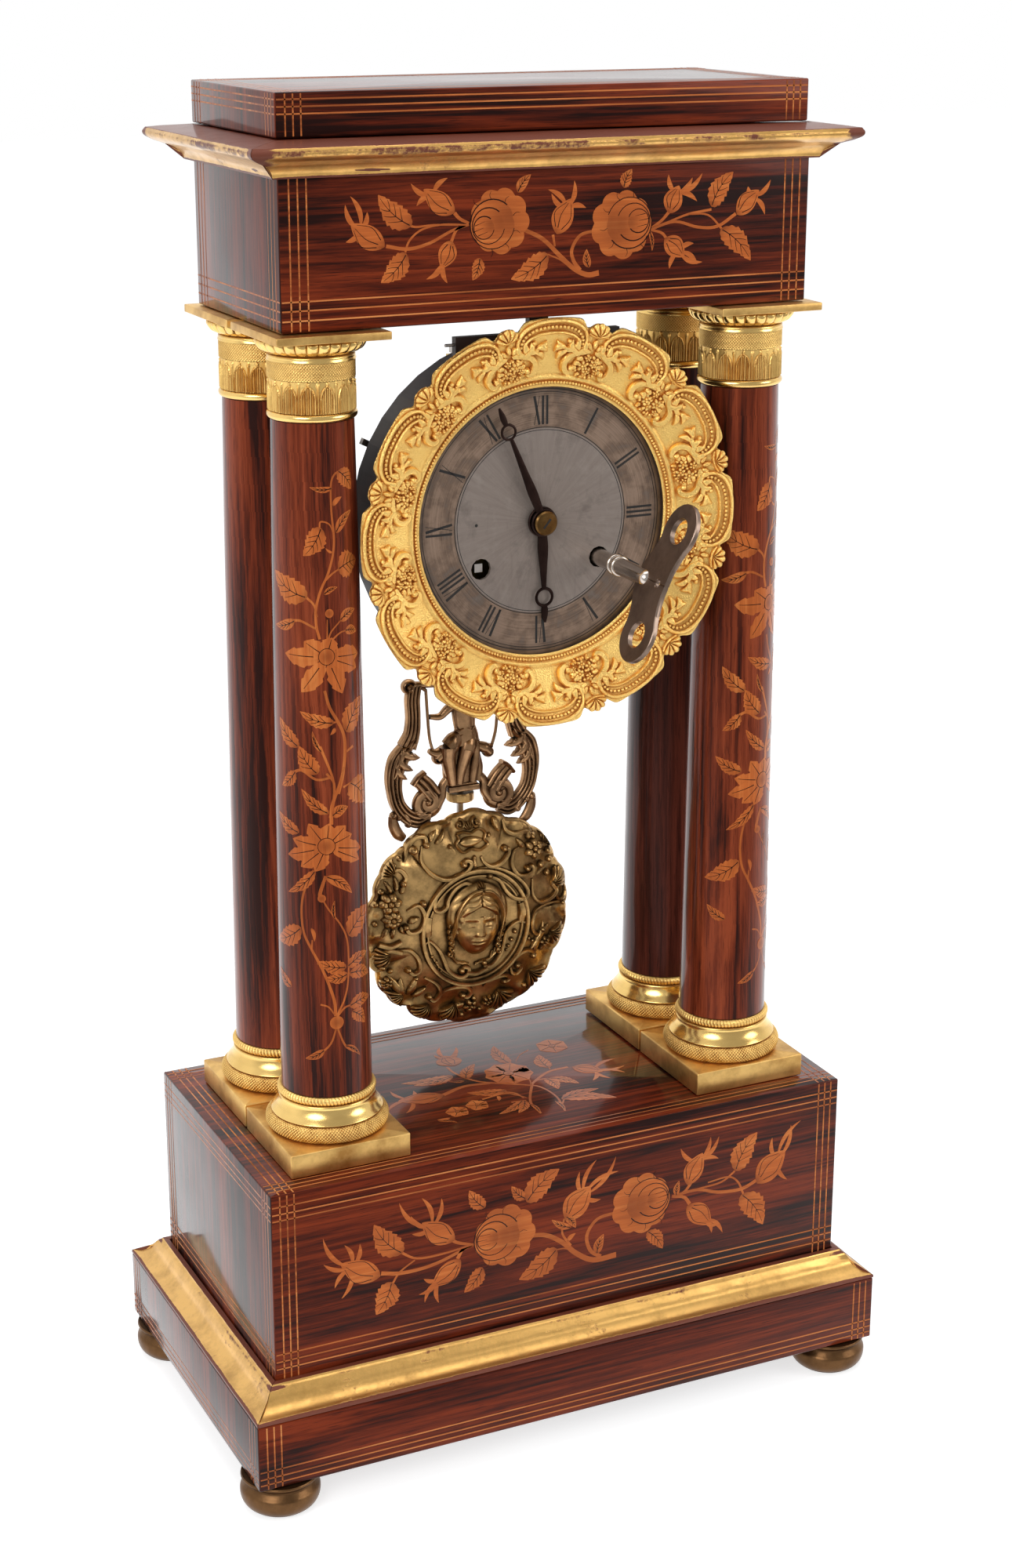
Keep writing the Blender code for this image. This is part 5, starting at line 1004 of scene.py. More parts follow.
def cut_leaf(place, root, tip, width, layer=1, teeth=0, bend=0.08, full=0.72, veined=True):
    """A leaf, a petal or a sepal. The half width is a skewed sine of the length. It is shaded by
    hot sand at the root and along one side of the middle line."""
    way = tip - root
    side, length = left_of(way), np.linalg.norm(way)

    def spot(along, across):
        half = width / length * (np.sin(math.pi * np.clip(along, 0, 1) ** full) ** 0.85 * 0.5 + 0.02)
        half = half * (1 - 0.24 * ((along * teeth) % 1) * (np.abs(across) > 0.9))
        flat = root + along[..., None] * way + (bend * 4 * along * (1 - along))[..., None] * side
        return flat + (across * half)[..., None] * side

    s, t = np.meshgrid(np.linspace(0, 1, 4 * max(teeth, 5) + 1), np.linspace(-1, 1, 7), indexing="ij")
    parts = [cut(place, spot(s, t), layer, 0.55 * np.exp(-(s / 0.14) ** 2) + 0.26 * (t > 0) * np.exp(-t / 0.5))]
    if veined and length > 5:
        run = np.linspace(0.04, 0.92, 9)
        parts.append(engraved(place, spot(run, 0 * run), layer + 1.1, 0.36))
        for start, end in VEINS:
            for half in (-1, 1):
                run, off = np.linspace(start, end, 5), half * np.linspace(0, 0.74, 5)
                parts.append(engraved(place, spot(run, off), layer + 1, 0.26))
    return parts


def cut_disc(place, centre, outline, layer, dark, lobes=0, depth=0, turn=0):
    """A round petal with a scalloped edge. The shade grows towards the dark point."""
    angle = np.arange(72) * TURN / 72
    radius = outline * (1 - depth * (1 - np.abs(np.cos(lobes * angle / 2 + turn)) ** 0.6))
    reach = np.array([0.02, 0.35, 0.6, 0.8, 0.92, 1])[:, None] * radius
    flat = np.stack([centre[0] + reach * np.cos(angle), centre[1] + reach * np.sin(angle)], -1)
    shade = 0.62 * np.exp(-(np.hypot(flat[..., 0] - dark[0], flat[..., 1] - dark[1]) / (0.8 * outline)) ** 2)
    lift = LOWEST + LAYER * layer
    return shaded(shell(np.concatenate([laid(place, flat, lift), laid(place, flat[::-1], lift - VENEER)])),
                  np.concatenate([shade, shade[::-1]]))


def arc(centre, radius, first, last, count=14):
    """Points along an arc between two angles in degrees."""
    angle = np.radians(np.linspace(first, last, count))
    return np.stack([centre[0] + radius * np.cos(angle), centre[1] + radius * np.sin(angle)], 1)


def cut_rose(place, centre, heart, radius):
    """A full rose: a scalloped outer ring, then cups set one in another towards the heart."""
    lean = heart - centre
    way = math.degrees(math.atan2(lean[1], lean[0]))
    lean = lean / (np.linalg.norm(lean) + 1e-9) * radius
    parts = [cut_disc(place, centre - 0.06 * lean, radius, 2, centre + 0.2 * lean, 9, 0.14, 0.3)]
    for share, shift, lobes, layer in ((0.74, 0.20, 7, 4), (0.54, 0.34, 5, 6), (0.34, 0.50, 5, 8)):
        middle, size = centre + shift * lean, radius * share
        parts += [cut_disc(place, middle, size, layer, middle - 0.8 * share * lean, lobes, 0.07, share),
                  engraved(place, arc(middle, size, way - 150, way + 150, 24), layer + 1, 0.42, 0.24, 1)]
    for k in range(7):
        out = radius * heading(math.radians(way + 180 + (k - 3) * 37))
        start = centre + 0.20 * lean + out * 0.72
        line = [start, start + out * 0.14 + left_of(out) * 0.05, start + out * 0.26]
        parts.append(engraved(place, line, 3, 0.22, 0.1))
    for k in (-1, 0, 1):
        start = centre + (0.86 - 0.1 * abs(k)) * lean + k * 0.16 * left_of(lean)
        parts.append(engraved(place, [start, start - 0.16 * lean, start - 0.34 * lean], 9, 0.24, 0.1))
    return parts


def cut_bud(place, root, tip, sepals, width):
    """A bud: an egg of two petals, a short neck and pointed sepals beyond it."""
    parts, way = [], tip - root
    side = left_of(way)
    for k, point in enumerate(sepals):
        start = root + way * (0.72 if (point - root) @ way > 0 else 0.3)
        parts += cut_leaf(place, start, point, 1.65, 0.5 + 0.3 * k, bend=0.14 * (-1) ** k, full=1.1, veined=False)
    parts += cut_leaf(place, root, tip, width * 1.8, 2.4, full=0.85, bend=0.03, veined=False)
    for across in (-0.20, 0.10, 0.30):
        line = [root + along * way + share * across * side for along, share in ((0.16, 0.4), (0.5, 1), (0.86, 0.3))]
        parts.append(engraved(place, line, 3.4, 0.3, 0.14))
    return parts


def cut_bloom(place, centre, tips, width):
    """A flower of separate pointed petals round a small ringed heart."""
    parts = []
    for k, point in enumerate(tips):
        parts += cut_leaf(place, centre, point, width * 1.9, 1 + 2 * (k % 2), 4, 0.03, 1.25, False)
        way = point - centre
        parts.append(engraved(place, [centre + 0.3 * way, centre + 0.9 * way], 5 + k % 2))
    size = 0.2 * np.linalg.norm(tips[0] - centre)
    return parts + [cut_disc(place, centre, size, 7, centre, 8, 0.1),
                    engraved(place, arc(centre, size, 0, 360, 20), 8, 0.2, 0.2, 1)]


def cut_plant(place, drawing):
    """All the pieces of one drawing. A bloom has as many petals as its radius in millimetres."""
    parts = []
    for k, (width, points) in enumerate(drawing["stems"]):
        grid = strip_grid(points, width * 0.75, width * 1.05)
        shade = np.broadcast_to(np.linspace(0.4, 0.05, len(grid))[:, None], grid.shape[:2])
        parts.append(cut(place, grid, 0.2 * (k % 4) - 0.4, shade))
    for k, (width, (root, tip)) in enumerate(drawing["leaves"]):
        parts += cut_leaf(place, root, tip, width * (2 if width > 1.2 else 1.6), 1 + 0.35 * (k % 3),
                          7 if width > 1.9 else 0)
    for width, (root, tip, *sepals) in drawing.get("buds", ()):
        parts += cut_bud(place, root, tip, sepals, width * 0.9)
    for radius, (centre, heart) in drawing.get("roses", ()):
        parts += cut_rose(place, centre, heart, radius)
    for width, (centre, *tips) in drawing.get("petals", ()):
        parts += cut_bloom(place, centre, tips, width)
    for radius, (centre,) in drawing.get("blooms", ()):
        tips = arc(centre, radius, 20, 380, max(5, round(radius)) + 1)[:-1]
        parts += cut_bloom(place, centre, tips, radius * 0.55)
    for radius, (centre,) in drawing.get("knots", ()):
        parts.append(cut_disc(place, centre, radius, 3, centre))
    return parts

# %% Where each piece of the drawings lies


def sketch(text, rise=0):
    """Pieces written as text and parted by semicolons: a width, then the points across and up, with
    heights counted from a level, the rise."""
    rows = [np.array(row.split(), float) for row in text.split(";")]
    return [(row[0], row[1:].reshape(-1, 2) + (0, rise)) for row in rows]


def drawing(rise, **kinds):
    """A drawing: the pieces of every kind."""
    return {kind: sketch(text, rise) for kind, text in kinds.items()}


ATTIC_FLOWERS = drawing(
    430,
    stems="""1.1 -30.8 7.6 -37 5.8 -44.5 2.4 -52 0.9 -59.5 2.1; 0.7 -30.8 7.4 -39.5 8 -47 6.8 -51.4 3.6
    -53 -0.1; 0.7 -34.5 7.6 -43.2 8 -48.9 7.6 -51.4 8.2; 1.2 -30.8 8 -33.9 9.5 -35.8 11.4; 1 -32 7.4 -35.1 6.1
    -37 2.4; 1.7 -10.8 4.9 -4.5 1.8 1.8 -3.9 6.8 -8.2 11.8 -10.5 16.1 -10.1; 1.3 14.9 3.6 9.2 2.4 6.1 -2
    6.8 -5.8 9.2 -8.9; 0.9 -0.1 -0.8 -0.8 3; 0.6 -2.6 -3.2 1.8 -5.1 4.9 -7.2; 0.8 34.9 3.2 41.8 5.2 49.2 7.4
    58 8.6; 1.1 34.9 3 44.2 5.2 53 3 60.5 3 67.4 6.8; 0.7 49.2 7.4 56.8 6.8 62.4 1.8; 1 34.9 3 39.2 1.8
    41.1 -0.1; 1.1 34.9 3.2 39.2 5.8 42.4 9""",
    leaves="""4 -50.8 8 -62 18; 3.7 -52.6 -0.5 -61.4 -9.2; 3.7 58 9.5 65.9 20.5; 3.9 61.8 2 73.6 -8.9; 3.9
    -2.6 -3.2 -15.8 -10.5; 1.7 -13.5 17 -8.9 22.4; 2.3 -27 -3.2 -29.5 -10.1; 2.2 24.9 17 27.8 22.8; 1.4
    12.4 -8.2 11.5 -2.2; 0.9 34.6 2.8 35.8 -3.9""",
    buds="""4.4 -60.1 2 -71.4 9.5 -73.2 15.5 -65.8 13 -73.2 4 -71.4 18; 4.2 -35.8 11.5 -46.4 19.2 -50.8 21.1
    -40.1 18 -38.2 22.4 -48.9 14.2; 3.8 -37 2.8 -40.5 -5.8 -45.8 -8.9 -38.5 -10.5 -43.2 -7; 4.6 0.5 3.2 5.8 14.2
    -1.4 16.1 6.8 19.9 11.1 11.1 -2.6 17.4; 4.2 42 8 45.5 16.8 41.5 20.5 54.2 20.5 52.4 11.5 50.5 19.2; 3.9
    67.8 6.5 76.1 14.2 71.8 15.5 80.5 17.4 78.6 6.1; 4.1 40.5 -0.1 48 -6.4 51.5 -2.2 42.4 -10.1 53 -9.2
    54.9 -8.5""",
    roses="""10.62 -20.5 8 -24.1 6.8; 11.25 24.9 5.2 30.5 6.1""")
BASE_FLOWERS = drawing(
    0,
    stems="""1.5 -37.9 83.6 -52.1 79.3 -64.3 78.6 -72.9 80.3; 0.9 -37.9 83.6 -49.3 82.6 -59.3 83.1 -65.7 87.1;
    0.8 -60 82.6 -65.7 79.3 -68.6 75.4; 1.3 -37.9 83.6 -43.6 85.7 -46.4 87.9; 1.4 -37.1 83.6 -41.4 82.6
    -43.6 79.3; 2.1 -15.7 82.1 -8.6 80.7 -2.1 76.4 3.6 70.7 10.7 66.4 20 66.4; 1.5 20 83.6 12.1 82.6 7.9 77.1
    9.3 70.7 13.6 67.1; 0.9 -1.4 85.7 -2.1 80 1.4 74.3; 0.6 -5 74 -0.7 73.6 2.1 71.4; 0.8 42.9 85 53.6 85.7
    63.6 86.4 69.3 89.7; 1.4 42.9 85 53.6 85.4 62.1 82.6 72.1 81.7 79 84; 0.8 57.9 87.4 66.4 87.9 70.7 85
    73.3 79.3; 1.4 42.9 85 47.9 83.6 50.4 80.3; 1.2 42.9 85 47.9 85.7 51.9 90.3""",
    leaves="""4.6 -64.7 86.4 -75.3 99.6; 4.8 -69 76 -75 64.6; 4.8 69.6 89.7 78.3 103.6; 4.9 72.4 79.3 82.1 65;
    4.8 -4.3 74.3 -19.3 65.3; 4.8 -16.4 95.7 -3.6 106; 2.2 -16.7 97.1 -22.4 103.1; 2.8 -32.9 97.1 -38.9 105; 3.2
    -33.9 73.6 -41 65.3; 3 32.9 72.9 39.3 64.6; 1.9 12.1 68.6 14.7 76; 1.3 44.7 85 45.7 90.7; 1.1 0 76.4
    3.3 78.9; 1.3 1.4 81.7 -6.4 86.4; 1.5 -0.7 86.4 3.3 81.1""",
    buds="""5.2 -73.3 79.3 -87.9 87.4 -94.3 98.6 -86.4 94.3 -94.3 88.6 -80.7 93.6 -87.9 74 -90.4 78.6; 5
    -44.7 86.9 -57.1 96.4 -65.7 106 -57.1 106 -61 92.9 -49.6 104.3 -61.4 100; 4.6 -42.4 78.6 -53.6 70.7
    -58.6 68.6 -51 63.6 -56.7 74.3 -56.4 65; 6.2 -0.7 85 9 96.4 4.7 103.1 19.3 106 20.4 100 13.3 90.3
    11.4 106.4; 4.8 49.3 88.3 55.3 100 46.1 103.6 62.1 105.3 62.1 96.4 58.6 105.7; 6.2 79 82.6 90.7 93.6 85 100
    92.9 103.6 97.1 104.6 92.1 81.4; 4.9 49.3 79.7 59.6 70 64.7 65.4 62.1 68.9 60 66.4""",
    roses="""12.14 -25.7 84.3 -29.3 84.3; 12.14 30.7 85 36.4 85.7""")
BOUQUET = drawing(
    0,
    stems="""1.2 -0.7 -36.3 0 -26.3 6.4 -14.1 9.3 -10.6 17.9 -4.9 26.4 -4.1; 1 8.1 -38.4 10.7 -26.3 9.3 -16.3
    5 -12 -9.3 -2 -14.3 8 -15 15.1; 1.9 -6.4 -4.9 -16.4 -3.4 -26.4 -7; 0.8 0.4 -22 -5 -15.6 -15 -16.6; 0.5
    10.7 8.7 15 13.7 20 16.6; 0.8 -0.7 -22 -2.1 -16.3 -9.3 -12; 0.8 9.3 -10.6 12.1 -9.9 15 -10.3; 0.8 9.3 -33.4
    13.6 -27.7 16.4 -27; 0.6 6.4 -13.4 8.1 -9.1 7.9 -6.3; 0.5 19.3 -3.4 20 -0.6; 0.7 -0.7 -24.1 -6.4 -23.4""",
    leaves="""2.7 -16.4 7.3 -36.4 8.7; 2.5 -16.4 6.6 -32.9 5.1; 2.6 -12.9 2.3 -4.3 13.4; 3.2 19.6 -1.7
    21.4 10.6; 1 -14.3 0.9 -19.6 3; 2.5 14.3 -9.9 14.3 -20.3; 2.5 15.7 -10.3 23.6 -19.1; 2.8 -3.6 -13.4
    -17.6 -9.1; 2 -2.1 -23.7 -14.7 -30.6; 2 -1.4 -24.1 -7.9 -32.7; 2.6 11.4 -29.1 27.9 -26.3; 3.4 12.1 -28.4
    30.4 -36; 0.9 -8.6 -16.3 -10 -20.3; 1 -37.1 -26.3 -31.4 -30.3; 0.9 -32.1 -26 -37 -25.4; 3 7.9 8 9.3 25.4;
    0.9 -0.7 -27.7 -1.1 -36.6; 1 8.6 -29.1 8.1 -38.4""",
    buds="""5.4 -26.4 -7 -43.6 -4.9 -42.9 4 -50 -10.9 -45 -15.6 -35 0.9; 6 -11.9 15.1 -11.9 25.1 -10 33
    -4.3 30.6 -15 27.3 -6.1 25.4; 4.6 27.9 -4.9 36.4 -13.4 46.4 -4.9 46.4 -12 29.3 -19.1 36.4 -19.9 43.6 -17.7""",
    blooms="""9.43 3.6 0.1; 6.29 29.6 15.9; 4.43 -27.6 -22.3; 4.43 -18.7 -20.3""")
UPPER_VINE = drawing(
    300,
    stems="""0.9 5 61.5 2 60.5 0.5 57 0.5 48 1.2 40 0.5 34 -1.5 28 -4 23 -5.8 17 -5.8 11 -4.8 6.5; 0.6 1 41.5
    -0.5 44.5 -3.5 45.5 -4 43.5; 0.7 2.5 29.3 0 28 -2.5 26; 0.8 -5.5 14 -6.5 18 -9 20.5; 0.9 -5.8 10 -11 12.5
    -14 12.5; 0.6 3 12.2 -0.5 9 -1.8 6.2; 0.6 5 8.5 2.5 8 -0.5 6; 0.5 -2 13 -2.2 6.2; 1.3 -3.5 -11 -1.8 -17
    1 -22 3.2 -27 3.5 -33 2.5 -40 0.5 -47; 0.7 0.5 -22 -1 -22.2; 0.9 3.8 -33 7.2 -31.5; 0.9 -1 -47 -1.2 -42
    -2.8 -37 -5.5 -30; 1 -2 -41 -7 -41.5 -12 -38.5 -16 -40""",
    leaves="""3.7 -3.5 43.5 -9.8 34.3; 3.2 3.5 61.5 10 54.8; 1.2 1 56.2 -7.2 56.8; 1.1 1 50.5 4.8 53; 1.7 2 41.5
    9.2 48; 4.6 2.5 29.3 11.8 31.2; 0.5 0.5 35 -2 36.7; 1.2 -3 21.5 2 23.5; 4.6 -8.8 20.5 -23 28; 1.7 -13.5 12.5
    -23 9.8; 1.8 2.8 12.2 10 15; 1.6 4.8 8.5 10.8 7.2; 2.4 -0.5 -22.2 -12.2 -18.2; 0.8 0 -24 -1.8 -26.2; 4.4
    4.2 -26 13.2 -15.5; 1 -5 -32 -8 -24.8; 3.4 -6.5 -39.5 -12.8 -30.2; 2.9 -13 -30.5 -21.6 -21.6; 2.2
    -14.5 -39.2 -20.8 -45.2""",
    petals="""3.6 -2.5 0.5 11.5 -0.5 10 -5 3 -12.5 -11.5 -11.5 -17.8 1 -10.2 5.8 -0.5 6.8""",
    knots="""1.5 -1.2 15""")
LOWER_VINE = drawing(
    200,
    stems="""1.3 3 62 1 56 -1.8 49 -2.2 42.5; 1 -3.5 60.5 -1 57 -1.2 51 -2.5 45; 0.7 5.5 56 2.5 55; 1.4
    -4.5 24.5 -6.5 18.5 -6.2 16.5; 1 -9.5 23.5 -12 19 -13.2 12 -12.5 4 -9.8 -2 -6.8 -8 -4.5 -14 -2.5 -21
    -2.2 -26.5; 0.7 -6 16.5 -3.5 12 0 7 2.5 1 3 -7 2.5 -15 1 -21 -1.8 -26.5; 0.6 -2.5 -26 -4.5 -23 -7.2 -22; 0.8
    3.5 -23.5 1 -24 -1.5 -26.5; 0.8 -1.5 -31.5 1 -38 4.5 -41; 0.8 -2.2 -31.5 -4 -36.5 -7.5 -40 -10.5 -41.5; 0.6
    -9.5 1.5 -9.8 -2; 0.7 -8 -7 2 -9.2""",
    leaves="""2.1 -3 46.5 -12.2 55; 1.9 -1.8 45.5 4.2 48; 5.2 5.2 56 14.2 47; 2.5 -13.5 39.5 -23.2 45; 1.8
    -4.5 24.2 5 17; 2 -8 26.5 -18.5 17.5; 0.8 -1.8 9 -1.6 15.4; 4.7 3.2 2 14 10; 2.4 2.5 -9.2 12.5 -6.5; 2.6
    3.2 -11.8 14 -15; 2.6 2 -9.2 -7.5 -6.2; 2.2 2.5 -11.8 -5.5 -12.5; 0.8 -9.8 5.8 -8.8 1; 3.6 -13.5 5.5
    -26 -1.6; 2 -18 -17 -24.8 -11.8; 2.6 3 -23.8 14 -23.5; 2.6 4 -26 10.2 -32; 1.1 1 -38 7 -43.2; 1.3 -6.2 -38.8
    -12.8 -42.4""",
    petals="""3 -4 35 9 28 10 32 5.5 38 3 41.5 -3 43 -10 43 -16 37 -18.2 31 -13 27.5 -8 26.2""",
    knots="""1.4 -6 16.5; 2.4 -1.8 -29""")
print("drawn stems on the attic:", len(ATTIC_FLOWERS["stems"]), "and leaves on a column:",
      len(UPPER_VINE["leaves"]) + len(LOWER_VINE["leaves"]))

# %% Lay the inlay on its panels

SHADED_WOOD, tree, shader = finish("inlay_wood", roughness=0.36, coat_roughness=0.12, specular=0.1)
figured = place_effect(tree, figure, {
    "Vector": add(tree, "UVMap", uv_map="grain").outputs["UV"], "Dark": srgb(158, 80, 38),
    "Middle": srgb(190, 100, 46), "Light": srgb(208, 122, 62), "Bands": 0.5})
tone = add(tree, "Attribute", attribute_name="shade").outputs["Fac"]
burnt = blend_colours(tree, span(tree, tone, 0, 0.6, 0, 0.62), figured["Color"], srgb(112, 52, 24))
feed(tree, shader, {"Base Color": blend_colours(tree, span(tree, tone, 0.75, 0.95), burnt, srgb(40, 17, 10)),
                    "Normal": bump(tree, figured["Height"], 0.06), "Coat Weight": polish(tree, 0.7)})


def front_of(node):
    """A sheet on the front face of a block: across and up from the middle of the case's floor."""
    face = skin(node)[0][1]
    return lambda across, up, lift: np.stack([across, face - lift, up], -1)


def top_of(node):
    """A sheet on the top face of a block."""
    level = skin(node)[1][2]
    return lambda across, back, lift: np.stack([across, back, level + lift], -1)


def round_column(node, turn):
    """A sheet wrapped round a column from its front line. turn slides the drawing round it."""
    middle = sum(box_mm(node)) / 2

    def place(across, up, lift):
        share = np.clip((up - SHAFT_FOOT) / (SHAFT_HEAD - SHAFT_FOOT), 0, 1)
        out = shaft_radius(share) + lift
        angle = (across + turn) / 15.4
        return np.stack([middle[0] + out * np.sin(angle), middle[1] - out * np.cos(angle), up + 0 * across], -1)
    return place


VINES = (UPPER_VINE, LOWER_VINE)
for name, place, drawings, column in (
        ("attic_flowers", front_of("attic_block"), (ATTIC_FLOWERS,), None),
        ("base_flowers", front_of("base_block"), (BASE_FLOWERS,), None),
        ("top_bouquet", top_of("base_block"), (BOUQUET,), None),
        ("vine_left", round_column("column_shaft_front_left", 0), VINES, "column_shaft_front_left"),
        ("vine_right", round_column("column_shaft_front_right", 10.2), VINES, "column_shaft_front_right")):
    shapes = [shape for drawing in drawings for shape in cut_plant(place, drawing)]
    middle = (sum(box_mm(column)) / 2)[:2] if column else (0, 0)
    piece(name, shapes, SHADED_WOOD, slot="rosewood", uv="round" if column else "block", centre=middle, crease=30)
    print(name, "has", len(shapes), "cut pieces")

# %% [markdown]
# ## Dial and hands
#
# The dial is silvered brass: a lighter middle brushed outwards, then a dark chapter ring. Both
# tones follow from the distance to its centre, so they are worked out in the finish. Circles and
# numerals are engraved and filled with black wax. A texture would need a picture of them. Here
# each stroke is a strip of its own, placed by a small table, and a numeral turns with its hour.

# %% The silvered finish

DIAL_MIDDLE = (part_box("dial")[0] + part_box("dial")[1]) / 2 / MM
DIAL_Z = DIAL_MIDDLE[2]
DIAL_FRONT = box_mm("dial")[0][1]

SILVERED, tree, shader = finish("silvered_brass", metallic=0.45, roughness=0.42)
flat = object_place(tree, (1, 0, 1), (0, 0, -DIAL_Z * MM))
radius = add(tree, "VectorMath", {"Vector": flat}, operation="LENGTH").outputs["Value"]
axes = add(tree, "SeparateXYZ", {"Vector": flat}).outputs
angle = sum_of(tree, axes["Z"], axes["X"], "ARCTAN2")


def round_noise(round_scale, out_scale, detail, roughness):
    """Noise stretched round the dial's centre and out from it."""
    polar = add(tree, "CombineXYZ", {"X": times(tree, angle, round_scale), "Y": times(tree, radius, out_scale)})
    return noise(tree, polar.outputs["Vector"], 1, detail, roughness)


rays, rounds = round_noise(16, 45, 6, 0.68), round_noise(1.5, 2600, 3, 0.6)
cloud = noise(tree, flat, 95, 7, 0.66)
scratches = noise(tree, object_place(tree, (320, 1, 14), turn=(0, 0.9, 0)), 1, 5, 0.7)
middle_tone = blend_colours(tree, span(tree, rays, 0.30, 0.70), srgb(131, 118, 110), srgb(145, 133, 124))
middle_tone = blend_colours(tree, span(tree, scratches, 0.58, 0.72, 0, 0.30), middle_tone, srgb(96, 84, 76))
mottle = sum_of(tree, times(tree, cloud, 0.75), times(tree, rounds, 0.25))
ring_tone = blend_colours(tree, span(tree, mottle, 0.38, 0.62), srgb(74, 56, 44), srgb(160, 134, 114))
tone = blend_colours(tree, span(tree, radius, 0.0315, 0.0319), middle_tone, ring_tone)
# Two cloudy tones from a noise, then the ring darkened towards its edge, from 42 to 47.5 mm out from the centre.
for share, cloud_and_edge_tone in ((span(tree, cloud, 0.54, 0.70, 0, 0.40), (66, 54, 48)),
                       (span(tree, cloud, 0.46, 0.32, 0, 0.35), (170, 158, 148)),
                       (span(tree, radius, 0.0420, 0.0475, 0, 0.70), (44, 33, 27))):
    tone = blend_colours(tree, share, tone, srgb(*cloud_and_edge_tone))
feed(tree, shader, {"Base Color": tone, "Roughness": span(tree, cloud, 0.3, 0.7, 0.30, 0.52),
                    "Normal": bump(tree, sum_of(tree, rays, rounds), 0.04)})
BLACK_WAX = brushed("black_wax", (14, 11, 10), (34, 28, 24), 0.6, (900, 900, 900), 0)
print("the dial is", round(float(2 * (box_mm("dial")[1] - DIAL_MIDDLE + CASE_LINE / MM)[0]), 1), "mm across")

# %% Circles and numerals

ROMAN = ("XII", "I", "II", "III", "IIII", "V", "VI", "VII", "VIII", "IX", "X", "XI")
NUMERAL_FOOT, NUMERAL_HEAD, HAIRLINE = 32.9, 42.6, 0.22
LETTERS = {"I": (1.60, (((0, 0), (0, 1), 0.85),)),
           "V": (2.9, (((-0.95, 1), (0, 0), 0.95), ((0.05, 0), (0.95, 1), HAIRLINE))),
           "X": (2.9, (((-0.95, 1), (0.95, 0), 0.95), ((-0.95, 0), (0.95, 1), HAIRLINE)))}


def on_dial(across, up, lift):
    """The dial's front: across and up from its centre, lift towards the viewer."""
    return np.stack([across, DIAL_FRONT - lift, DIAL_Z + up], -1)


engraving = [engraved(on_dial, arc((0, 0), radius, 0, 360, 181), 0, width, width, 1)
             for radius, width in ((31.1, 0.22), (32, 0.30), (43.9, 0.22), (44.9, 0.30))]
for hour, numeral in enumerate(ROMAN):
    away = heading(math.radians(90 - 30 * hour))
    beside = -left_of(away)
    start = -sum(LETTERS[letter][0] for letter in numeral) / 2
    for letter in numeral:
        advance, strokes = LETTERS[letter]
        for *ends, width in strokes:
            line = [(start + advance / 2 + x) * beside + (NUMERAL_FOOT + y * (NUMERAL_HEAD - NUMERAL_FOOT)) * away
                    for x, y in ends]
            engraving.append(engraved(on_dial, line, 0, width, width * 0.92))
        start += advance
dot = cut_disc(on_dial, (-24, 0.6), 0.55, 0, (-24, 0.6))
engraving.append((*dot[:2], np.ones(len(dot[0]))))
piece("dial_engraving", engraving, BLACK_WAX, slot="silvered_dial")
print("strokes and circles:", len(engraving))

# %% Hands


def hand_sheet(clockwise, middle):
    """A sheet along a hand: across it, up towards its tip, and lift towards the viewer."""
    turn = math.radians(clockwise)
    return lambda across, up, lift: np.stack([
        across * math.cos(turn) + up * math.sin(turn), middle - lift + 0 * up,
        DIAL_Z - across * math.sin(turn) + up * math.cos(turn)], -1)


def blade(place, stations, thick):
    """A flat bar of changing half width, a little crowned on top."""
    line = smooth_profile(stations, 5)
    share = np.linspace(-1, 1, 7)[None]
    across, up = share * line[:, 1:], line[:, :1] + 0 * share
    crown = thick / 2 * (1 - 0.45 * share ** 2) + 0 * up
    return slab(place(across, up, crown), place(across, up, np.full_like(crown, -thick / 2)))


def round_bar(profile, steps, name, finish, at=(0, DIAL_Z), **more):
    """A piece turned round a line that runs towards the viewer."""
    return piece(name, [turned(profile, steps, (at[0], 0, at[1]), facing=True)], finish, **more)


HANDS = {"hour_hand": ("hour_work", 178, 5.2, (26.3, 3, 0.55),
                       ((3.4, 1.3), (6.5, 1.75), (10.5, 1.8), (16.5, 1.25), (23.6, 0.7)),
                       ((29.1, 0.8), (30.8, 1.2), (32.9, 1), (35.2, 0.35))),
         "minute_hand": ("minute_work", 337.1, 4.7, (34.5, 2.5, 0.46),
                         ((2.8, 1.15), (7.5, 1.5), (12, 1.65), (19, 1.2), (32.2, 0.6)),
                         ((36.8, 0.65), (38.8, 1), (41, 0.85), (43.4, 0.3)))}
for node, (body, clockwise, hub, (ring_at, ring_size, ring_wide), stem, tip) in HANDS.items():
    low, high = box_mm(node)
    front, back = low[1], low[1] + 0.8
    place = hand_sheet(clockwise, (front + back) / 2)
    loop = arc((0, ring_at), ring_size, 0, 360, 40)
    shapes = [blade(place, stem, 0.78), blade(place, tip, 0.7), laid_path(place, loop, ring_wide, 0.38, 0, 1),
              turned([(hub, -back), (hub, -front - 0.2), (hub - 0.3, -front)], 64, (0, 0, DIAL_Z), facing=True)]
    if node == "hour_hand":
        shapes.append(turned([(2.5, -high[1]), (2.5, -back + 0.1)], 32, (0, 0, DIAL_Z), facing=True))
    piece(node + "_filed", shapes, DARK_STEEL, body=body, replaces=(node,), slot="dark_steel", crease=30)
nut_low, nut_high = box_mm("hand_nut")
nut = [(4.15, -nut_high[1]), (4.15, -nut_low[1] - 0.7), (3.7, -nut_low[1] - 0.2), (2.2, -nut_low[1] - 0.03),
       (0.3, -nut_low[1])]
round_bar(nut, 48, "hand_nut_domed", AGED_BRASS, body="minute_work", replaces=("hand_nut",),
          slot="movement_brass", crease=40)
nut_face = hand_sheet(40, nut_low[1] - 0.02)
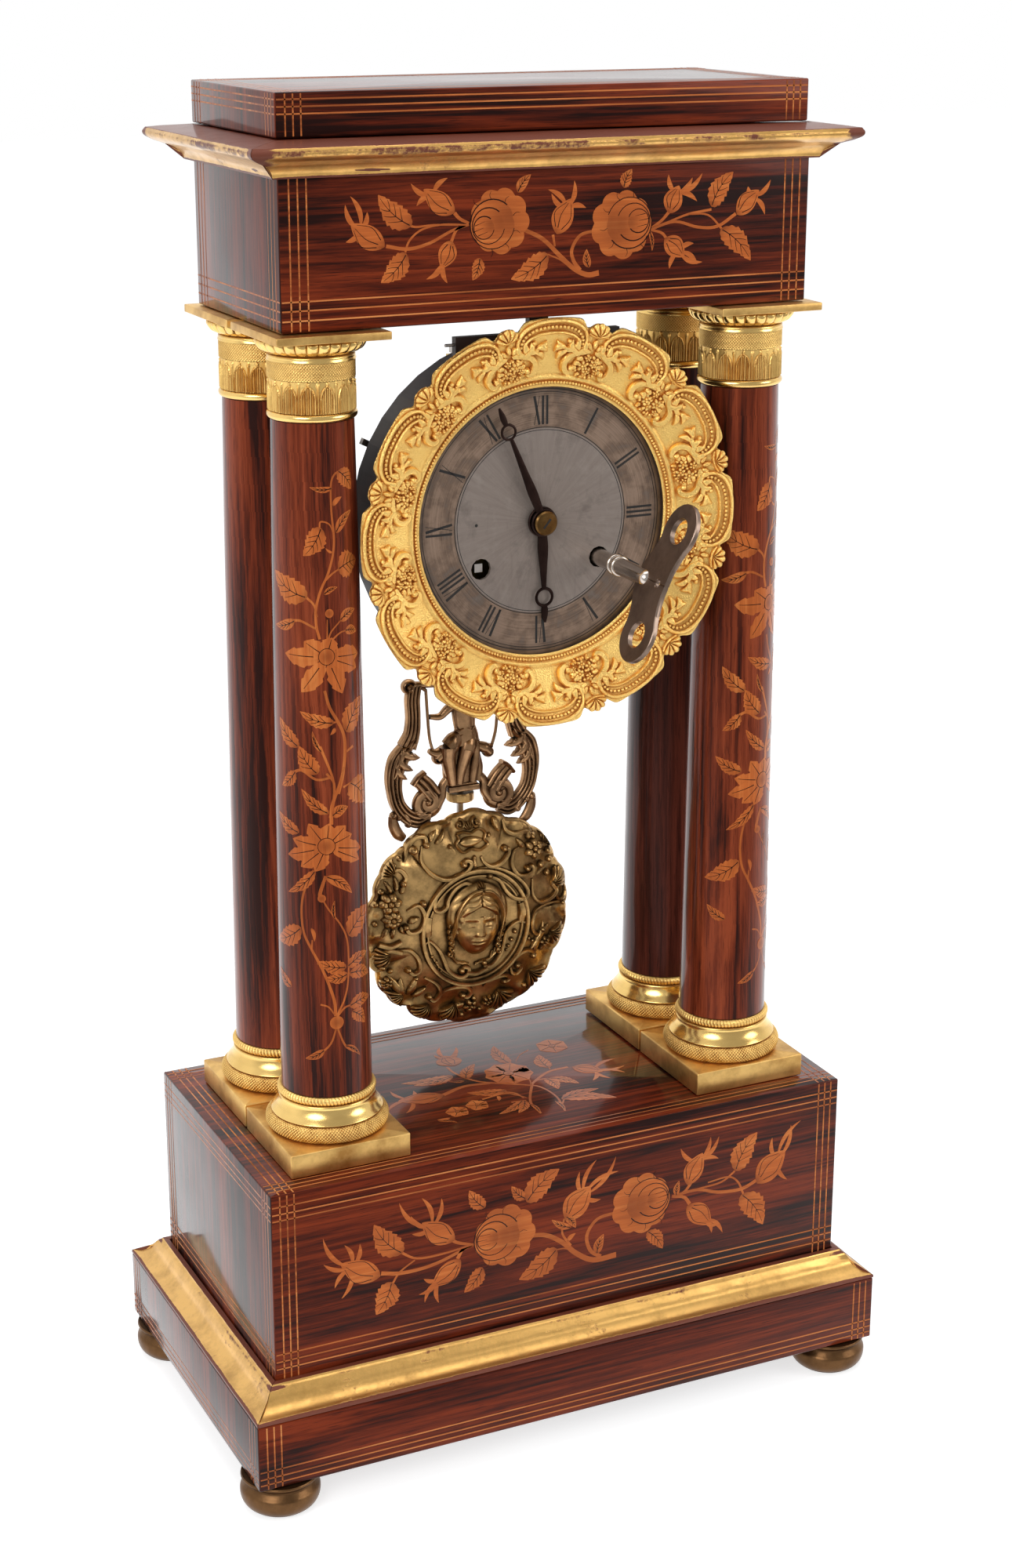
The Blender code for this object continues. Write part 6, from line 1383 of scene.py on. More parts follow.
piece("hand_nut_slot", [engraved(nut_face, [(0, -2), (0, 2)], 0, 0.7, 0.7)], BLACK_WAX,
      body="minute_work", slot="movement_brass")
print("hands made:", list(HANDS))

# %% The winding key

KEY_AT = max((sum(box_mm(node)) / 2 for node in ("going_arbor", "strike_arbor")), key=lambda at: at[0])
KEY_BACK, KEY_MIDDLE = -box_mm("winding_key")[1][1], -box_mm("winding_key")[0][1] - 9.6
LEAN = math.radians(24.5)
LOBE, LOBE_RADIUS, LOBE_HOLE, SMALL_HOLE = (18.3, 0), 9.6, 4.6, 1.4
barrel = [(1.9, KEY_BACK), (2.96, KEY_BACK), (2.96, 43.6), *arc_profile(2.8, 44.7, 0.85, -75, 75, 9), (2.96, 46.2),
          *arc_profile(2.8, 47.8, 0.85, -75, 75, 9), (2.96, 49.2), (2.96, 64.2),
          *arc_profile(0, 66.1, 2.96, 6, 86, 12)]
round_bar(barrel, 48, "winding_key_barrel", POLISHED_STEEL, (KEY_AT[0], KEY_AT[2]), body="key",
          replaces=("winding_key",), slot="steel", crease=50)


def wing_half(side):
    """Half of the flat wing: a ring between the lobe's round hole and its outline, which runs over
    the lobe, in to the waist, round half of the small hole and back along the root in the barrel."""
    small = np.radians(np.linspace(0, 180, 17))
    outline = np.concatenate([arc(LOBE, LOBE_RADIUS, 0, 116, 30),
                              smooth_profile([(12.4, 7.6), (8.6, 6.1), (4.4, 5), (0, 4.8)], 6), [(0, 3.1)],
                              SMALL_HOLE * np.stack([np.sin(small), np.cos(small)], 1), [(0, -5), (0, -10)],
                              smooth_profile([(0, -14.4), (4.4, -13.2), (9.4, -10.7), (13.4, -9.5)], 6),
                              arc(LOBE, LOBE_RADIUS, -104, -8, 26)])
    away = outline - LOBE
    away /= np.linalg.norm(away, axis=1)[:, None]
    hole, drawn_in = LOBE + LOBE_HOLE * away, outline - 0.25 * away
    rows = []
    for flat, lift in ((hole, -0.9), (hole, 0.9), (drawn_in, 0.9), (outline, 0.65), (outline, -0.65),
            (drawn_in, -0.9)):
        along, out = side * flat[:, 0], KEY_MIDDLE + flat[:, 1]
        rows.append(np.stack([KEY_AT[0] + along * math.sin(LEAN) + lift * math.cos(LEAN), -out,
                              KEY_AT[2] + along * math.cos(LEAN) - lift * math.sin(LEAN)], 1))
    return closed_ring(rows)


piece("winding_key_wing", [wing_half(1), wing_half(-1)], KEY_STEEL, body="key", slot="steel", crease=40)
print("the key stands on the arbor at", np.round(KEY_AT, 1))

# %% [markdown]
# ## The gilt bezel
#
# The bezel is one casting: a dished ring with twelve lobes, a shell in each notch and flowers
# between C-scrolls below it. Its ground is a polar grid, so the lobed edge and the dish are two
# short formulas. The ornament of one notch is drawn once on a sheet and laid twelve times, with
# small changes from seeded random numbers, as the chaser's hand would leave.

# %% The dished ring

BEZEL_INNER, BEZEL_OUTER, BEZEL_FRONT = 45.9, 69.5, -34.7
BEZEL_SLOPE = 7.6 / (BEZEL_OUTER - BEZEL_INNER)
SHEET_RADIUS, PEARLS, PEARL_RADIUS = 57, 264, 47.6
RIMS = sketch("""0.72 0 68.8 3.2 68.7 6.2 68.1 9 66.8 10.9 64.8 11.6 62.6 11.2 60.4 9.9 59.2;
    0.55 0 64.9 3.2 64.8 6 64.2 8.1 63.2 9.5 61.8 9.7 60.5 8.9 59.8 8.2 60.4""")
BEAD_ROW = smooth_profile([(0.62, 66.85), (3.4, 66.75), (6.2, 66.2), (8.6, 65), (10.1, 63.2), (10.6, 61.4)], 8)
UPPER_SCROLL = np.array([(1, 59), (3.2, 59.6), (5.4, 58.3), (7.4, 59.4), (9.4, 59.2), (11.2, 60.6)])
LOWER_SCROLL = np.array([(1.6, 58.8), (4.6, 58.2), (7.6, 57.2), (9.2, 54.9), (8.8, 52.5), (7.2, 51.4), (6, 52.3)])
BENT_LEAVES = sketch("""0.1 3.6 59 3.4 62.8; -0.12 5.2 58.9 5.4 63.2; -0.2 6.8 59.1 7.8 62.6;
    0.25 10.2 59.9 13.8 58.2; -0.2 9.8 60 13.2 62.2; 0.2 9 58.8 12.4 55.6""")
CLUSTER = zip(sketch("2.3 -2.4 54.4; 2.1 2.1 55.5; 2.1 0.3 52.7; 1.6 -0.9 57.2; 1.5 3.9 53.2"), (5, 6, 5, 5, 5))
CLUSTER = tuple(CLUSTER)
BERRIES = sketch("""0.72 1.2 57.6 2.8 57.4 -4.1 52.6 -2.9 51.4 2.3 51.1 3.4 51.5 -1.3 50.7 0.9 50.6 -4.7 54.5
    5 55.4 -0.4 55.2""")[0][1]


def lobe_edge(angle):
    """The outline: the full radius less a narrow and a wide bell curve at each notch."""
    off = np.abs((angle / (math.pi / 6)) % 1 - 0.5) * 30
    return BEZEL_OUTER - 2.6 * (np.exp(-((off - 3.75) / 1.6) ** 2) + 0.35 * np.exp(-(off / 3.75) ** 2))


def on_bezel(radius, angle, lift):
    """A point of the dish at a radius and an angle, raised at right angles to the dish."""
    tilt = math.atan(BEZEL_SLOPE)
    radius = radius - lift * math.sin(tilt)
    depth = BEZEL_FRONT - BEZEL_SLOPE * (radius - BEZEL_INNER) - lift * math.cos(tilt)
    return np.stack([radius * np.cos(angle), depth + 0 * radius, DIAL_Z + radius * np.sin(angle)], -1)


def notch_sheet(middle):
    """A sheet at one notch: across is measured along the sheet's circle, up is the radius."""
    return lambda across, up, lift: on_bezel(up, math.radians(middle) - across / SHEET_RADIUS, lift)


def ring_ground():
    """The ring's skin: the face rises in steps at the fillet, and a round edge leads to the back."""
    angle = np.arange(1080) * TURN / 1080
    edge = lobe_edge(angle)
    radius = BEZEL_INNER + (edge[None] - 0.7 - BEZEL_INNER) * np.linspace(0, 1, 60)[:, None]
    fillet = 0.75 * np.exp(-((radius - 49.3) / 0.75) ** 4) + 0.35 * np.exp(-((radius - 46.4) / 0.5) ** 4)
    rows = [on_bezel(r, angle, f - 0.25) for r, f in zip(radius, fillet)]
    rows += [on_bezel(edge - 0.15, angle, -0.5), on_bezel(edge - 0.05, angle, -1.1)]
    rows += [on_bezel(BEZEL_INNER + (edge - 0.9 - BEZEL_INNER) * k, angle, -1.8) for k in (1, 0.5, 0)]
    return closed_ring(rows)


def lobe_rim(middle):
    """A plain outer rim, a row of beads and an inner ridge, which meet in a volute at each end."""
    parts, beads, place = [], [], notch_sheet(middle)
    length = np.concatenate([[0], np.cumsum(np.linalg.norm(np.diff(BEAD_ROW, axis=0), axis=1))])
    stations = np.linspace(0, length[-1], 11)
    row = np.stack([np.interp(stations, length, BEAD_ROW[:, k]) for k in (0, 1)], 1)
    for flip in MIRRORED:
        parts += [laid_path(place, points * flip, width, 0.95, 0.1, 5, ends=(1, end))
                  for (width, points), end in zip(RIMS, (0.9, 1.3))]
        parts.append(knob(place, (8.6, 60.4) * flip, 1, 1.5))
        beads.append(row * flip)
    return parts + [repeated(BEAD, laid(place, np.concatenate(beads), 0.35), 0.63)]


def notch_ornament(middle, rng):
    """The shell, the leaves, the flowers and the two pairs of scrolls at one notch."""
    place = notch_sheet(middle)
    parts = [fluted_shell(place, (0, 64.6), 4.4, 90, 5, 150, 2),
             laid_path(place, [(-3.2, 65.3), (-1.5, 64.6), (0, 64.4), (1.5, 64.6), (3.2, 65.3)], 0.7, 0.9)]
    for *root, length, angle in ((0, 60.2, 3.4, 90), (-1, 59.8, 2.9, 122), (1.1, 59.8, 2.9, 58)):
        parts.append(leaf(place, root, root + heading(math.radians(angle)) * length, 0.85, 1.5))
    for flip in MIRRORED:
        wide = 1 + 0.06 * rng.normal()
        parts.append(laid_path(place, UPPER_SCROLL * flip, 1.25 * wide, 1.8, 0.1, 5, GROOVED, (0.6, 0.35)))
        parts += [leaf(place, root, tip, 1.15, 1.7, bend * flip[0])
                  for bend, (root, tip) in ((bend, points * flip) for bend, points in BENT_LEAVES)]
        parts += [laid_path(place, LOWER_SCROLL * flip, 1.3 * wide, 1.9, 0.1, 6, GROOVED, (0.5, 0.7)),
                  knob(place, (6.3, 52.8) * flip, 1.25, 2),
                  leaf(place, (4.8, 57.4) * flip, (3.2, 55.2) * flip, 0.85, 1.1),
                  knob(place, (8.9, 61.9) * flip, 0.8, 1.2)]
        for k in range(3):
            root = (2.2 + 0.8 * k, 56.4 - 1.5 * k) * flip
            parts.append(leaf(place, root, root + (2.8, -0.6 - 0.4 * k) * flip, 1, 1.6, 0.15 * flip[0]))
    for (size, (spot,)), petals in CLUSTER:
        spot = spot + rng.normal(0, 0.16, 2)
        parts += flower(place, spot, size * rng.uniform(0.9, 1.1), petals, 1.6, rng.uniform(0, 1))
    parts += [knob(place, spot + rng.normal(0, 0.12, 2), 0.72, 1.5, 8) for spot in BERRIES]
    return parts + [leaf(place, (x, 52), (x * 1.35, 49.9), 0.75, 1) for x in (-2.4, -0.2, 2.1)]


rng = np.random.RandomState(12)
pearls = on_bezel(np.full(PEARLS, PEARL_RADIUS), np.arange(PEARLS) * TURN / PEARLS, np.full(PEARLS, 0.15))
BEZEL_GILT = casting("stippled_gilding", (255, 214, 126), (206, 140, 66), 0.34, 1, 2100, 0.435, 0.495, 0.0013)
piece("bezel_chased", [ring_ground(), repeated(BEAD, pearls, 0.56)], BEZEL_GILT, replaces=("bezel",),
      slot="gilt_brass", crease=50)
for name, hours in (("upper", range(6)), ("lower", range(6, 12))):
    shapes = [shape for hour in hours
              for shape in lobe_rim(30 * hour) + notch_ornament(30 * hour + 15, rng)]
    piece("bezel_relief_" + name, shapes, BEZEL_GILT, slot="gilt_brass", crease=50)
    print("triangles in the bezel's", name, "relief:", triangles(shapes))

# %% [markdown]
# ## The pendulum
#
# The bob is a domed disc in the shell-and-scroll manner: an oval cartouche with a relief head in
# the middle, flowers at both sides and a ragged edge of shells. The dome is a profile turned
# round, with a scalloped rim and a slow ripple. Every motif is again drawn on the sheet, now with
# the bob's centre as its zero.

# %% The bob's dome and its scrolls

bob_low, bob_high = box_mm("pendulum_bob")
BOB_MIDDLE = (bob_low + bob_high) / 2
BOB_RADIUS, BOB_THICK, CARTOUCHE = 42.3, bob_high[1] - bob_low[1], (1, -2.6)
BOB_PROFILE = np.array(((0, 1), (0.30, 0.96), (0.55, 0.83), (0.78, 0.60), (0.93, 0.40), (1, 0.22),
                        (1.1, 0.1)))
STRANDS = sketch("""1 -19.7 32.2 -20.1 26.6 -17 21.6 -12.2 18.8 -6.8 18.8 -2.4 21 -0.7 23.5 -2.4 24.7 -3.7 23.4;
    1 3.7 25.3 4.8 22.9 7.5 21 11.6 21.6 14.6 24.1 15.3 26.3 13.6 27; 1 20.1 26 17.3 24.7 16.3 20.4 18.4 16.3
    21.8 15.1 25.2 16 25 18.2 23.1 17.6; 1 0.7 20.7 -6.1 19.8 -11.6 17 -15.3 12.3 -16 8 -13.6 6.1 -10.9 7.3
    -10.2 10.4 -7.5 14.2 -3.4 16 0 14.2 1 11.9; 1 2 21 8.8 20.4 16.3 16.6 21.3 11.7 22.9 8 21.1 6.1 17 7
    13.6 10.4 10.9 14.8 6.8 17.3; 1 -19.7 -5.7 -17.7 -5.1 -14.3 -8.8 -12.2 -13.2 -10.2 -18.1 -6.1 -21.4
    -2.7 -21.2 -1.6 -19 -3.4 -18 -4.6 -19.2; 1 22.3 -3.9 18.4 -3.2 14.3 -6.3 12.9 -10.7 11.6 -15 8.2 -18.8
    5.4 -19 4.8 -17.5; 1 -38 -7 -39.6 -10.7 -38.9 -14.2 -36.2 -13.6; 1 -30.6 -7 -25.9 -7.6 -22.6 -11.3
    -21.9 -15.7 -24.1 -17.5 -26.3 -15.7; 1 -19.7 -19.6 -15 -22.9 -13.3 -26.8 -15.6 -29.9 -17.7 -28.1; 1
    -12.9 -28.1 -11.6 -26.2 -6.8 -25.3 -2.7 -26.2 -0.7 -28.7 -2 -30.6 -4.1 -29.7; 1 4.8 -27.5 6.8 -25.3 10.9 -24
    14.3 -24.3 15.3 -26.2 13.4 -26.9; 1 15.6 -21.2 16.7 -18.3 21.1 -15.6 25 -16.2 26 -18.5; 1 16 -21.6
    16.7 -23.8 18.9 -24.4 20.6 -22.4 19 -21.2; 1 25.2 12.9 25.2 6.7 28.6 3 33.3 3.6 36.1 6.1 34 9.8 37 12.4; 1
    37 1.5 31.3 1.5 26.5 -0.1 24.7 -4.5 25.9 -8.8 28.6 -10.1 29.7 -8.2; 1 13.8 37.4 15 33.4 18.4 31.6 23.2 31.6
    26.4 29.6; 1 -26.5 27.2 -25 31.6 -22 35.2 -18.4 35.4 -17.9 32.4; 1 -33.6 22.6 -29.2 24.4 -26.6 21.4
    -27.6 18.8; 1 -26.6 8.2 -22.2 9.8 -20 5.4 -21.6 0.6 -25.6 -0.6 -27.4 1.8""")
SHIELD = sketch("""1 -5.4 34.7 -2.7 35.3 0 34.7 3.4 35.9 6.1 34 5.4 31.6 6.8 29.7 3.4 27.8 0 28.8 -3.4 27.8
    -6.1 30.9 -4.8 32.8 -5.4 34.7""")[0][1]


def on_bob(across, up, lift):
    """A point of the bob's dome, whose height falls along the profile, raised towards the viewer."""
    share = np.hypot(across, up) / BOB_RADIUS
    rise = BOB_THICK * np.interp(share, *BOB_PROFILE.T)
    oval = np.hypot((across - CARTOUCHE[0]) / 20.8, (up - CARTOUCHE[1]) / 21.8)
    dish = 1.8 * np.clip(1 - oval ** 4, 0, 1)
    ripple = 0.7 * np.sin(across * 0.31 + 1) * np.cos(up * 0.37) * np.clip(share * 1.6 - 0.8, 0, 1)
    return np.stack([BOB_MIDDLE[0] + across, bob_high[1] - (rise - dish + ripple + lift), BOB_MIDDLE[2] + up], -1)


def wide_scallops(angle):
    """An absolute sine whose lobes differ a little in length."""
    return np.abs(np.sin(angle * 5.5 + 0.5 * np.sin(3 * angle)))


def bob_edge(angle):
    """The ragged outline: two families of scallops of different length."""
    return 40.5 + 1.9 * wide_scallops(angle) ** 0.6 + 0.7 * np.abs(np.sin(angle * 13 + 1))


def on_relief(across, up, lift):
    """The sheet for the bob's ornament: points beyond the ragged edge are drawn back to it."""
    reach = np.hypot(across, up) + 1e-9
    keep = np.minimum(1, (bob_edge(np.arctan2(up, across)) - 0.5) / reach)
    return on_bob(across * keep, up * keep, lift)


def oval(middle, wide, tall, step=1):
    """Points round an ellipse."""
    angle = np.linspace(0, TURN, 90)[::step]
    return np.stack([middle[0] + wide * np.cos(angle), middle[1] + tall * np.sin(angle)], 1)


angle = np.arange(540) * TURN / 540
rows = []
for share in np.concatenate([[0.004], np.linspace(0.03, 0.94, 62), [0.97, 0.99, 1]]):
    radius = share * bob_edge(angle)
    lip = 0.75 * math.exp(-((share - 0.965) / 0.02) ** 2) - 0.6 * (share == 1)
    flutes = 0.6 * np.cos(angle * 26) * math.exp(-((share - 0.90) / 0.05) ** 2)
    flutes += 1.8 * (wide_scallops(angle) ** 0.5 - 0.8) * math.exp(-((share - 0.86) / 0.11) ** 2)
    rows.append(on_bob(radius * np.cos(angle), radius * np.sin(angle), lip + flutes))
for share in (0.99, 0.5, 0.004):
    radius = share * bob_edge(angle)
    rows.append(np.stack([BOB_MIDDLE[0] + radius * np.cos(angle), np.full(540, bob_high[1] - 0.02),
                          BOB_MIDDLE[2] + radius * np.sin(angle)], -1))
relief = [shell(np.array(rows))]
relief += [laid_path(on_relief, oval(CARTOUCHE, wide, wide + 1), thick, thick * 1.5, 0.3, 1, GROOVED)
           for wide, thick in ((21.8, 1), (19.6, 0.5))]
for width, strand in STRANDS:
    relief += [laid_path(on_relief, strand, width, 1.8, 0.1, 7, GROOVED, (0.45, 0.9)),
               knob(on_relief, strand[-1], 1.4, 2.5)]
relief += [laid_path(on_relief, SHIELD, 0.6, 1.2, 0.1, 4),
           leaf(on_relief, (-4.6, 31.4), (5.2, 31.6), 2.3, 1.5, rib=0)]
print("scrolls on the bob:", len(STRANDS))

# %% Flowers, leaves, beads and shells on the bob

FLOWERS = zip(sketch("""4.2 -33 11.7; 3.6 -32.3 5.4; 4 26.5 24.7; 3 -0.8 -34.6; 2.4 6.4 -34; 2.4 30.6 -13.4;
    2.6 -34.6 -20"""), (6, 8, 6, 5, 5, 5, 6))
LEAVES = sketch("""0.9 -30.6 16 -31 22; 0.9 -32.3 15.6 -35 20.8; 1 -28.8 15 -26.6 19.4; 1.1 -26.5 3.6 -21.8 5.2;
    0.9 -34.4 2.6 -37 -1.6; 0.9 -31.8 2.2 -32.4 -2.6; 0.9 -29.4 2.8 -27.2 -1; 1.5 -28.6 -26.8 -34.4 -16.6; 1.5
    -28 -26 -28.8 -18.4; 1.5 -26.6 -26 -22.8 -18.6; 1.2 -24.4 -27 -18.6 -24; 1.4 26 -17.6 32.9 -6.2; 1.2
    24.2 -15.8 30.1 -4.4; 1.3 29 -17.2 35 -10.6; 1.3 29.6 28 34.6 31; 1.3 24 28.4 24.8 33.6; 1.1 22.4 25.6
    19 29.8; 1 -16.6 33.4 -13.2 37.6; 1 -14.6 32.4 -10.2 37; 1.3 9.8 39.2 12.4 33; 1.4 -3 -33 -9.2 -35.4; 1.3
    8.6 -33.6 13.8 -33; 0.9 0.6 21.6 0.6 26; 1.3 0 14.2 0.6 9.6""")
BEADS = sketch("""0.8 -17 -11.3; 0.75 -15.2 -13.8; 0.65 -14.1 -16; 0.5 -13.3 -17.8; 0.9 17.7 -7; 0.8 16.3 -10.1;
    0.7 15 -12.5; 0.55 14.3 -14.1; 0.8 23.6 -10.7; 0.7 25.4 -12.1; 0.8 -8.5 30.6; 0.8 7.6 32.9; 0.7 1 25.3; 1.2
    -20.4 10.4; 1.2 -38.4 11.7; 1 -36.1 16.6; 1 -33 -15.3; 0.9 -23.1 -19.7; 1.2 -38.4 -22; 1 -36.3 -25.6; 1.3
    32.7 22.9; 1.3 29.3 17.9; 1.2 33.3 19.1; 1.1 32 14.2; 0.9 34.5 25.6; 0.9 38.6 9.4; 0.9 39.4 0.5; 0.9
    35.6 -15; 0.8 34 -12.2; 1 3.4 -37; 1.2 -4.1 -38; 1 -8.8 -37; 1 0.7 -31.6; 0.9 -28.6 28.4; 0.8 -30.6 26.2;
    0.9 -38.6 4.2; 1.7 -23.1 31; 0.9 27.4 -26.4; 1.1 22.6 -30.6; 1 -21.4 -34.8""")
SHELLS = zip(sketch("""7.4 -7 -32.6; 8.4 10.6 -30; 8.2 24 -24.6; 7.2 -17.6 -31; 8 -28 -25; 6.6 33.6 9.8;
    6.4 30.4 26.2; 7 32.6 -9.8; 6.6 -33 -8.6; 7 -30.8 22.4"""), (-112, -62, -42, -128, -146, 24, 46, -22, 196, 142))
WINGS = sketch("""1 -37.4 -4.2 -33.3 -5.3 -28.9 -3.9; 1 -36.7 -7.8 -33.3 -6.8 -28.9 -8.1;
    1 -2.7 -20.4 1.4 -21.2 6.1 -19.8""")
rng = np.random.RandomState(7)
for (size, (spot,)), petals in FLOWERS:
    relief += flower(on_relief, spot, size * 1.15, petals, 2.9, rng.uniform(0, 1))
relief += [leaf(on_relief, root, tip, width * 1.3, 2, rng.uniform(-0.12, 0.12), teeth=5, rows=16)
           for width, (root, tip) in LEAVES]
relief += [knob(on_relief, spot, size * 1.15, size * 1.9) for size, (spot,) in BEADS]
for x, turns in ((-4.1, -1.1), (2.7, 1.1)):
    relief += [laid_path(on_relief, curl((x, 38.2), 2, 90, turns), 0.7, 1.4, 0.1, 3),
               knob(on_relief, (x, 38.2), 0.8, 1.8)]
relief.append(fluted_shell(on_relief, (-0.7, 35.8), 3.4, 90, 5, 110, 1.8))
relief += [fluted_shell(on_relief, spot, radius * 1.1, way, 6, 104, 2.9) for (radius, (spot,)), way in SHELLS]
relief.append(laid_path(on_relief, oval((38.2, 5.3), 2.2, 3.2, 4), 0.75, 1.5, 0.1, 1))
relief += [laid_path(on_relief, wing, width * 1.15, 1.9, 0.2, 6, GROOVED, (0.9, 0.9)) for width, wing in WINGS]
relief += [laid_path(on_relief, [(1 + side * out, up) for out, up in ((19, 4.5), (19.8, 1), (19.4, -3))],
                     1.8, 1.5, 0.2, 6, GROOVED, (0.8, 0.8)) for side in (-1, 1)]
print("shapes on the bob so far:", len(relief))

# %% A relief head with a calm, general face

FACE_WIDE, FACE_TALL, HEAD_TIP = 8.7, 10.2, math.radians(5)
HAIR_WIDE, HAIR_TALL, HAIR_UP = 11.6, 10.4, 3
# Each hill: height, place across and width from the middle line, power, place up and width
FACE_HILLS = ((0.30, 0.15, 0.06, 2, -0.27, 0.06), (-0.95, 0.40, 0.22, 2, 0.06, 0.10),
              (0.62, 0.40, 0.18, 4, 0.03, 0.07), (0.32, 0.38, 0.24, 2, 0.21, 0.05),
              (0.45, 0, 0.22, 2, -0.84, 0.12), (0.30, 0.50, 0.20, 2, -0.25, 0.20))


def face_height(x, y):
    """Height over the head's own sheet, for x and y from -1 to 1. A dome carries the face, and
    bell curves add the nose, brows, lids, lips and chin at the places textbooks give them."""
    mirror = np.abs(x)
    height = 4.9 * np.sqrt(np.clip(1 - 0.90 * mirror ** 2.6 - 0.72 * np.abs(y) ** 3.4, 0, 1))
    nose_width = 0.13 + 0.05 * np.clip(-y * 2 + 0.2, 0, 1)
    nose_line = np.clip((0.22 - y) / 0.50, 0, 1) * (y < 0.22) * (y > -0.30)
    nose = (0.35 + 1 * nose_line) * np.exp(-(x / nose_width) ** 2)
    height += nose * np.clip((y + 0.36) / 0.06, 0, 1) * (y < 0.3)
    for rise, x0, wide, power, y0, tall in FACE_HILLS:
        height += rise * np.exp(-((mirror - x0) / wide) ** power - ((y - y0) / tall) ** 2)
    lid = (y + 0.035 + 0.04 * (mirror - 0.4)) / 0.018
    height -= 0.22 * np.exp(-((mirror - 0.40) / 0.17) ** 4 - lid ** 2)
    lips = 0.50 * np.exp(-(x / 0.24) ** 2)
    height += lips * (np.exp(-((y + 0.49) / 0.045) ** 2) + np.exp(-((y + 0.61) / 0.055) ** 2))
    height -= 0.30 * np.exp(-(x / 0.26) ** 4) * np.exp(-((y + 0.545 - 0.03 * mirror) / 0.02) ** 2)
    over = y - 0.60 + 0.50 * mirror ** 1.4
    waves = 0.55 + 0.40 * np.abs(np.sin(over * 17 + 1.2 * np.sin(mirror * 7)))
    return height + np.clip(over / 0.07, 0, 1) * waves - 0.9 * np.exp(-(x / 0.035) ** 2) * (y > 0.62)


def head_sheet(across, up, lift):
    """The head's sheet, tipped a little and set in the middle of the cartouche."""
    across, up = across * 1.08, up * 1.2
    return on_bob(1.4 + across * math.cos(HEAD_TIP) + up * math.sin(HEAD_TIP),
                  -0.6 - across * math.sin(HEAD_TIP) + up * math.cos(HEAD_TIP), lift * 1.1)


def head_shell(across, up, lift):
    """A closed cap on the head's sheet: its last row goes down into the dish."""
    return shell(np.concatenate([head_sheet(across, up, lift),
                                 head_sheet(across[-1:], up[-1:], np.full((1, 120), -0.5))]))


reach, turn = np.meshgrid(np.linspace(0.02, 1, 70), np.arange(120) * TURN / 120, indexing="ij")
x, y = reach * np.cos(turn), reach * np.sin(turn)
jaw = 1 - 0.30 * np.clip(-y - 0.15, 0, 1) ** 1.3
wave = 0.5 * np.abs(np.sin(11 * reach + 2 * np.cos(3 * turn)))
head = [head_shell(FACE_WIDE * x * jaw, FACE_TALL * y, face_height(x, y) * (1 - 0.15 * reach ** 6)),
        head_shell(HAIR_WIDE * x, HAIR_UP + HAIR_TALL * y, (3.6 + wave) * np.sqrt(1 - 0.9 * reach ** 3))]
for flip in MIRRORED:
    for k in range(9):
        lock = [(0.5, 11.4 - 0.45 * k), (3.6 + 0.25 * k, 10.8 - 0.62 * k), (7 + 0.18 * k, 7.8 - 0.75 * k),
                (9 + 0.06 * k, 3.6 - 0.9 * k), (8.8 + 0.1 * (k % 3), -0.4 - 0.8 * k)]
        lift = 4.2 - 0.34 * k if k < 6 else 1.8
        head.append(laid_path(head_sheet, lock * flip, 0.62, 0.75, lift, 5, ends=(0.7, 0.5)))
    for k in range(7):
        middle = (9.6 + 0.5 * math.sin(k), 1.6 - 1.9 * k) * flip
        head.append(laid_path(head_sheet, curl(middle, 1.3 - 0.06 * k, 90, flip[0] * 1.2), 0.5, 0.9, 1.4, 3))
    for k in range(3):
        beard = [(9.4 - k, -8 - k), (8.4 - k, -11 - k), (5 - k, -13.4), (1, -13.8 - 0.3 * k)]
        head.append(laid_path(head_sheet, beard * flip, 0.5, 0.7, 0.5, 5, ends=(0.6, 0.6)))
head += [fluted_shell(head_sheet, (0, 11), 3, 90, 5, 120, 3.4), knob(head_sheet, (0, 10.6), 1, 5.2)]
BOB = {"finish": OLD_BRONZE, "body": "pendulum", "slot": "old_gilt_bronze", "crease": 50}
piece("pendulum_bob_chased", relief, replaces=("pendulum_bob",), **BOB)
piece("pendulum_bob_head", head, **BOB)
print("triangles in the bob and in its head:", triangles(relief), triangles(head))

# %% [markdown]
# ## The pendulum's openwork frame
#
# Two fluted strips run down from scrolled tops into acanthus C-scrolls and end in volutes, with
# a small seated figure between two thin rods. Each part is a strand whose width changes along
# its path, so the whole frame is a list of paths, and the left half mirrors the right.

# %% Arms, volutes and rods

FRAME_DEPTH = sum(box_mm("pendulum_frame"))[1] / 2


def on_frame(across, up, lift):
    """The frame's upright middle plane, with lift towards the viewer. Up is height from the floor."""
    across, up = np.asarray(across, float), np.asarray(up, float)
    return np.stack([across, FRAME_DEPTH - lift + 0 * across, up + 0 * across], -1)


def spread(values, count):
    """A few values read off evenly at many stations."""
    return np.interp(np.linspace(0, 1, count), np.linspace(0, 1, len(values)), values)


def fluted(points, wide, thick, flutes):
    """A flat strand with lengthwise flutes: the section's height is a run of absolute sines."""
    u = np.linspace(-1, 1, flutes * 6 + 1)
    front = np.stack([u, 0.55 + 0.45 * np.abs(np.sin((u + 1) * flutes * math.pi / 2))], 1)
    section = np.concatenate([front, [(1, -0.8), (0, -1), (-1, -0.8)]])
    flat = smooth_profile(points, 8)
    return swept(laid(on_frame, flat, 0), spread(wide, len(flat)), thick, (0, -1, 0), section[::-1])


def rail(points, *sizes, **more):
    """A plain strand of the frame."""
    return laid_path(on_frame, points, *sizes, **more)


def stud(points, *sizes):
    """A small dome on the frame."""
    return knob(on_frame, points[0], *sizes)


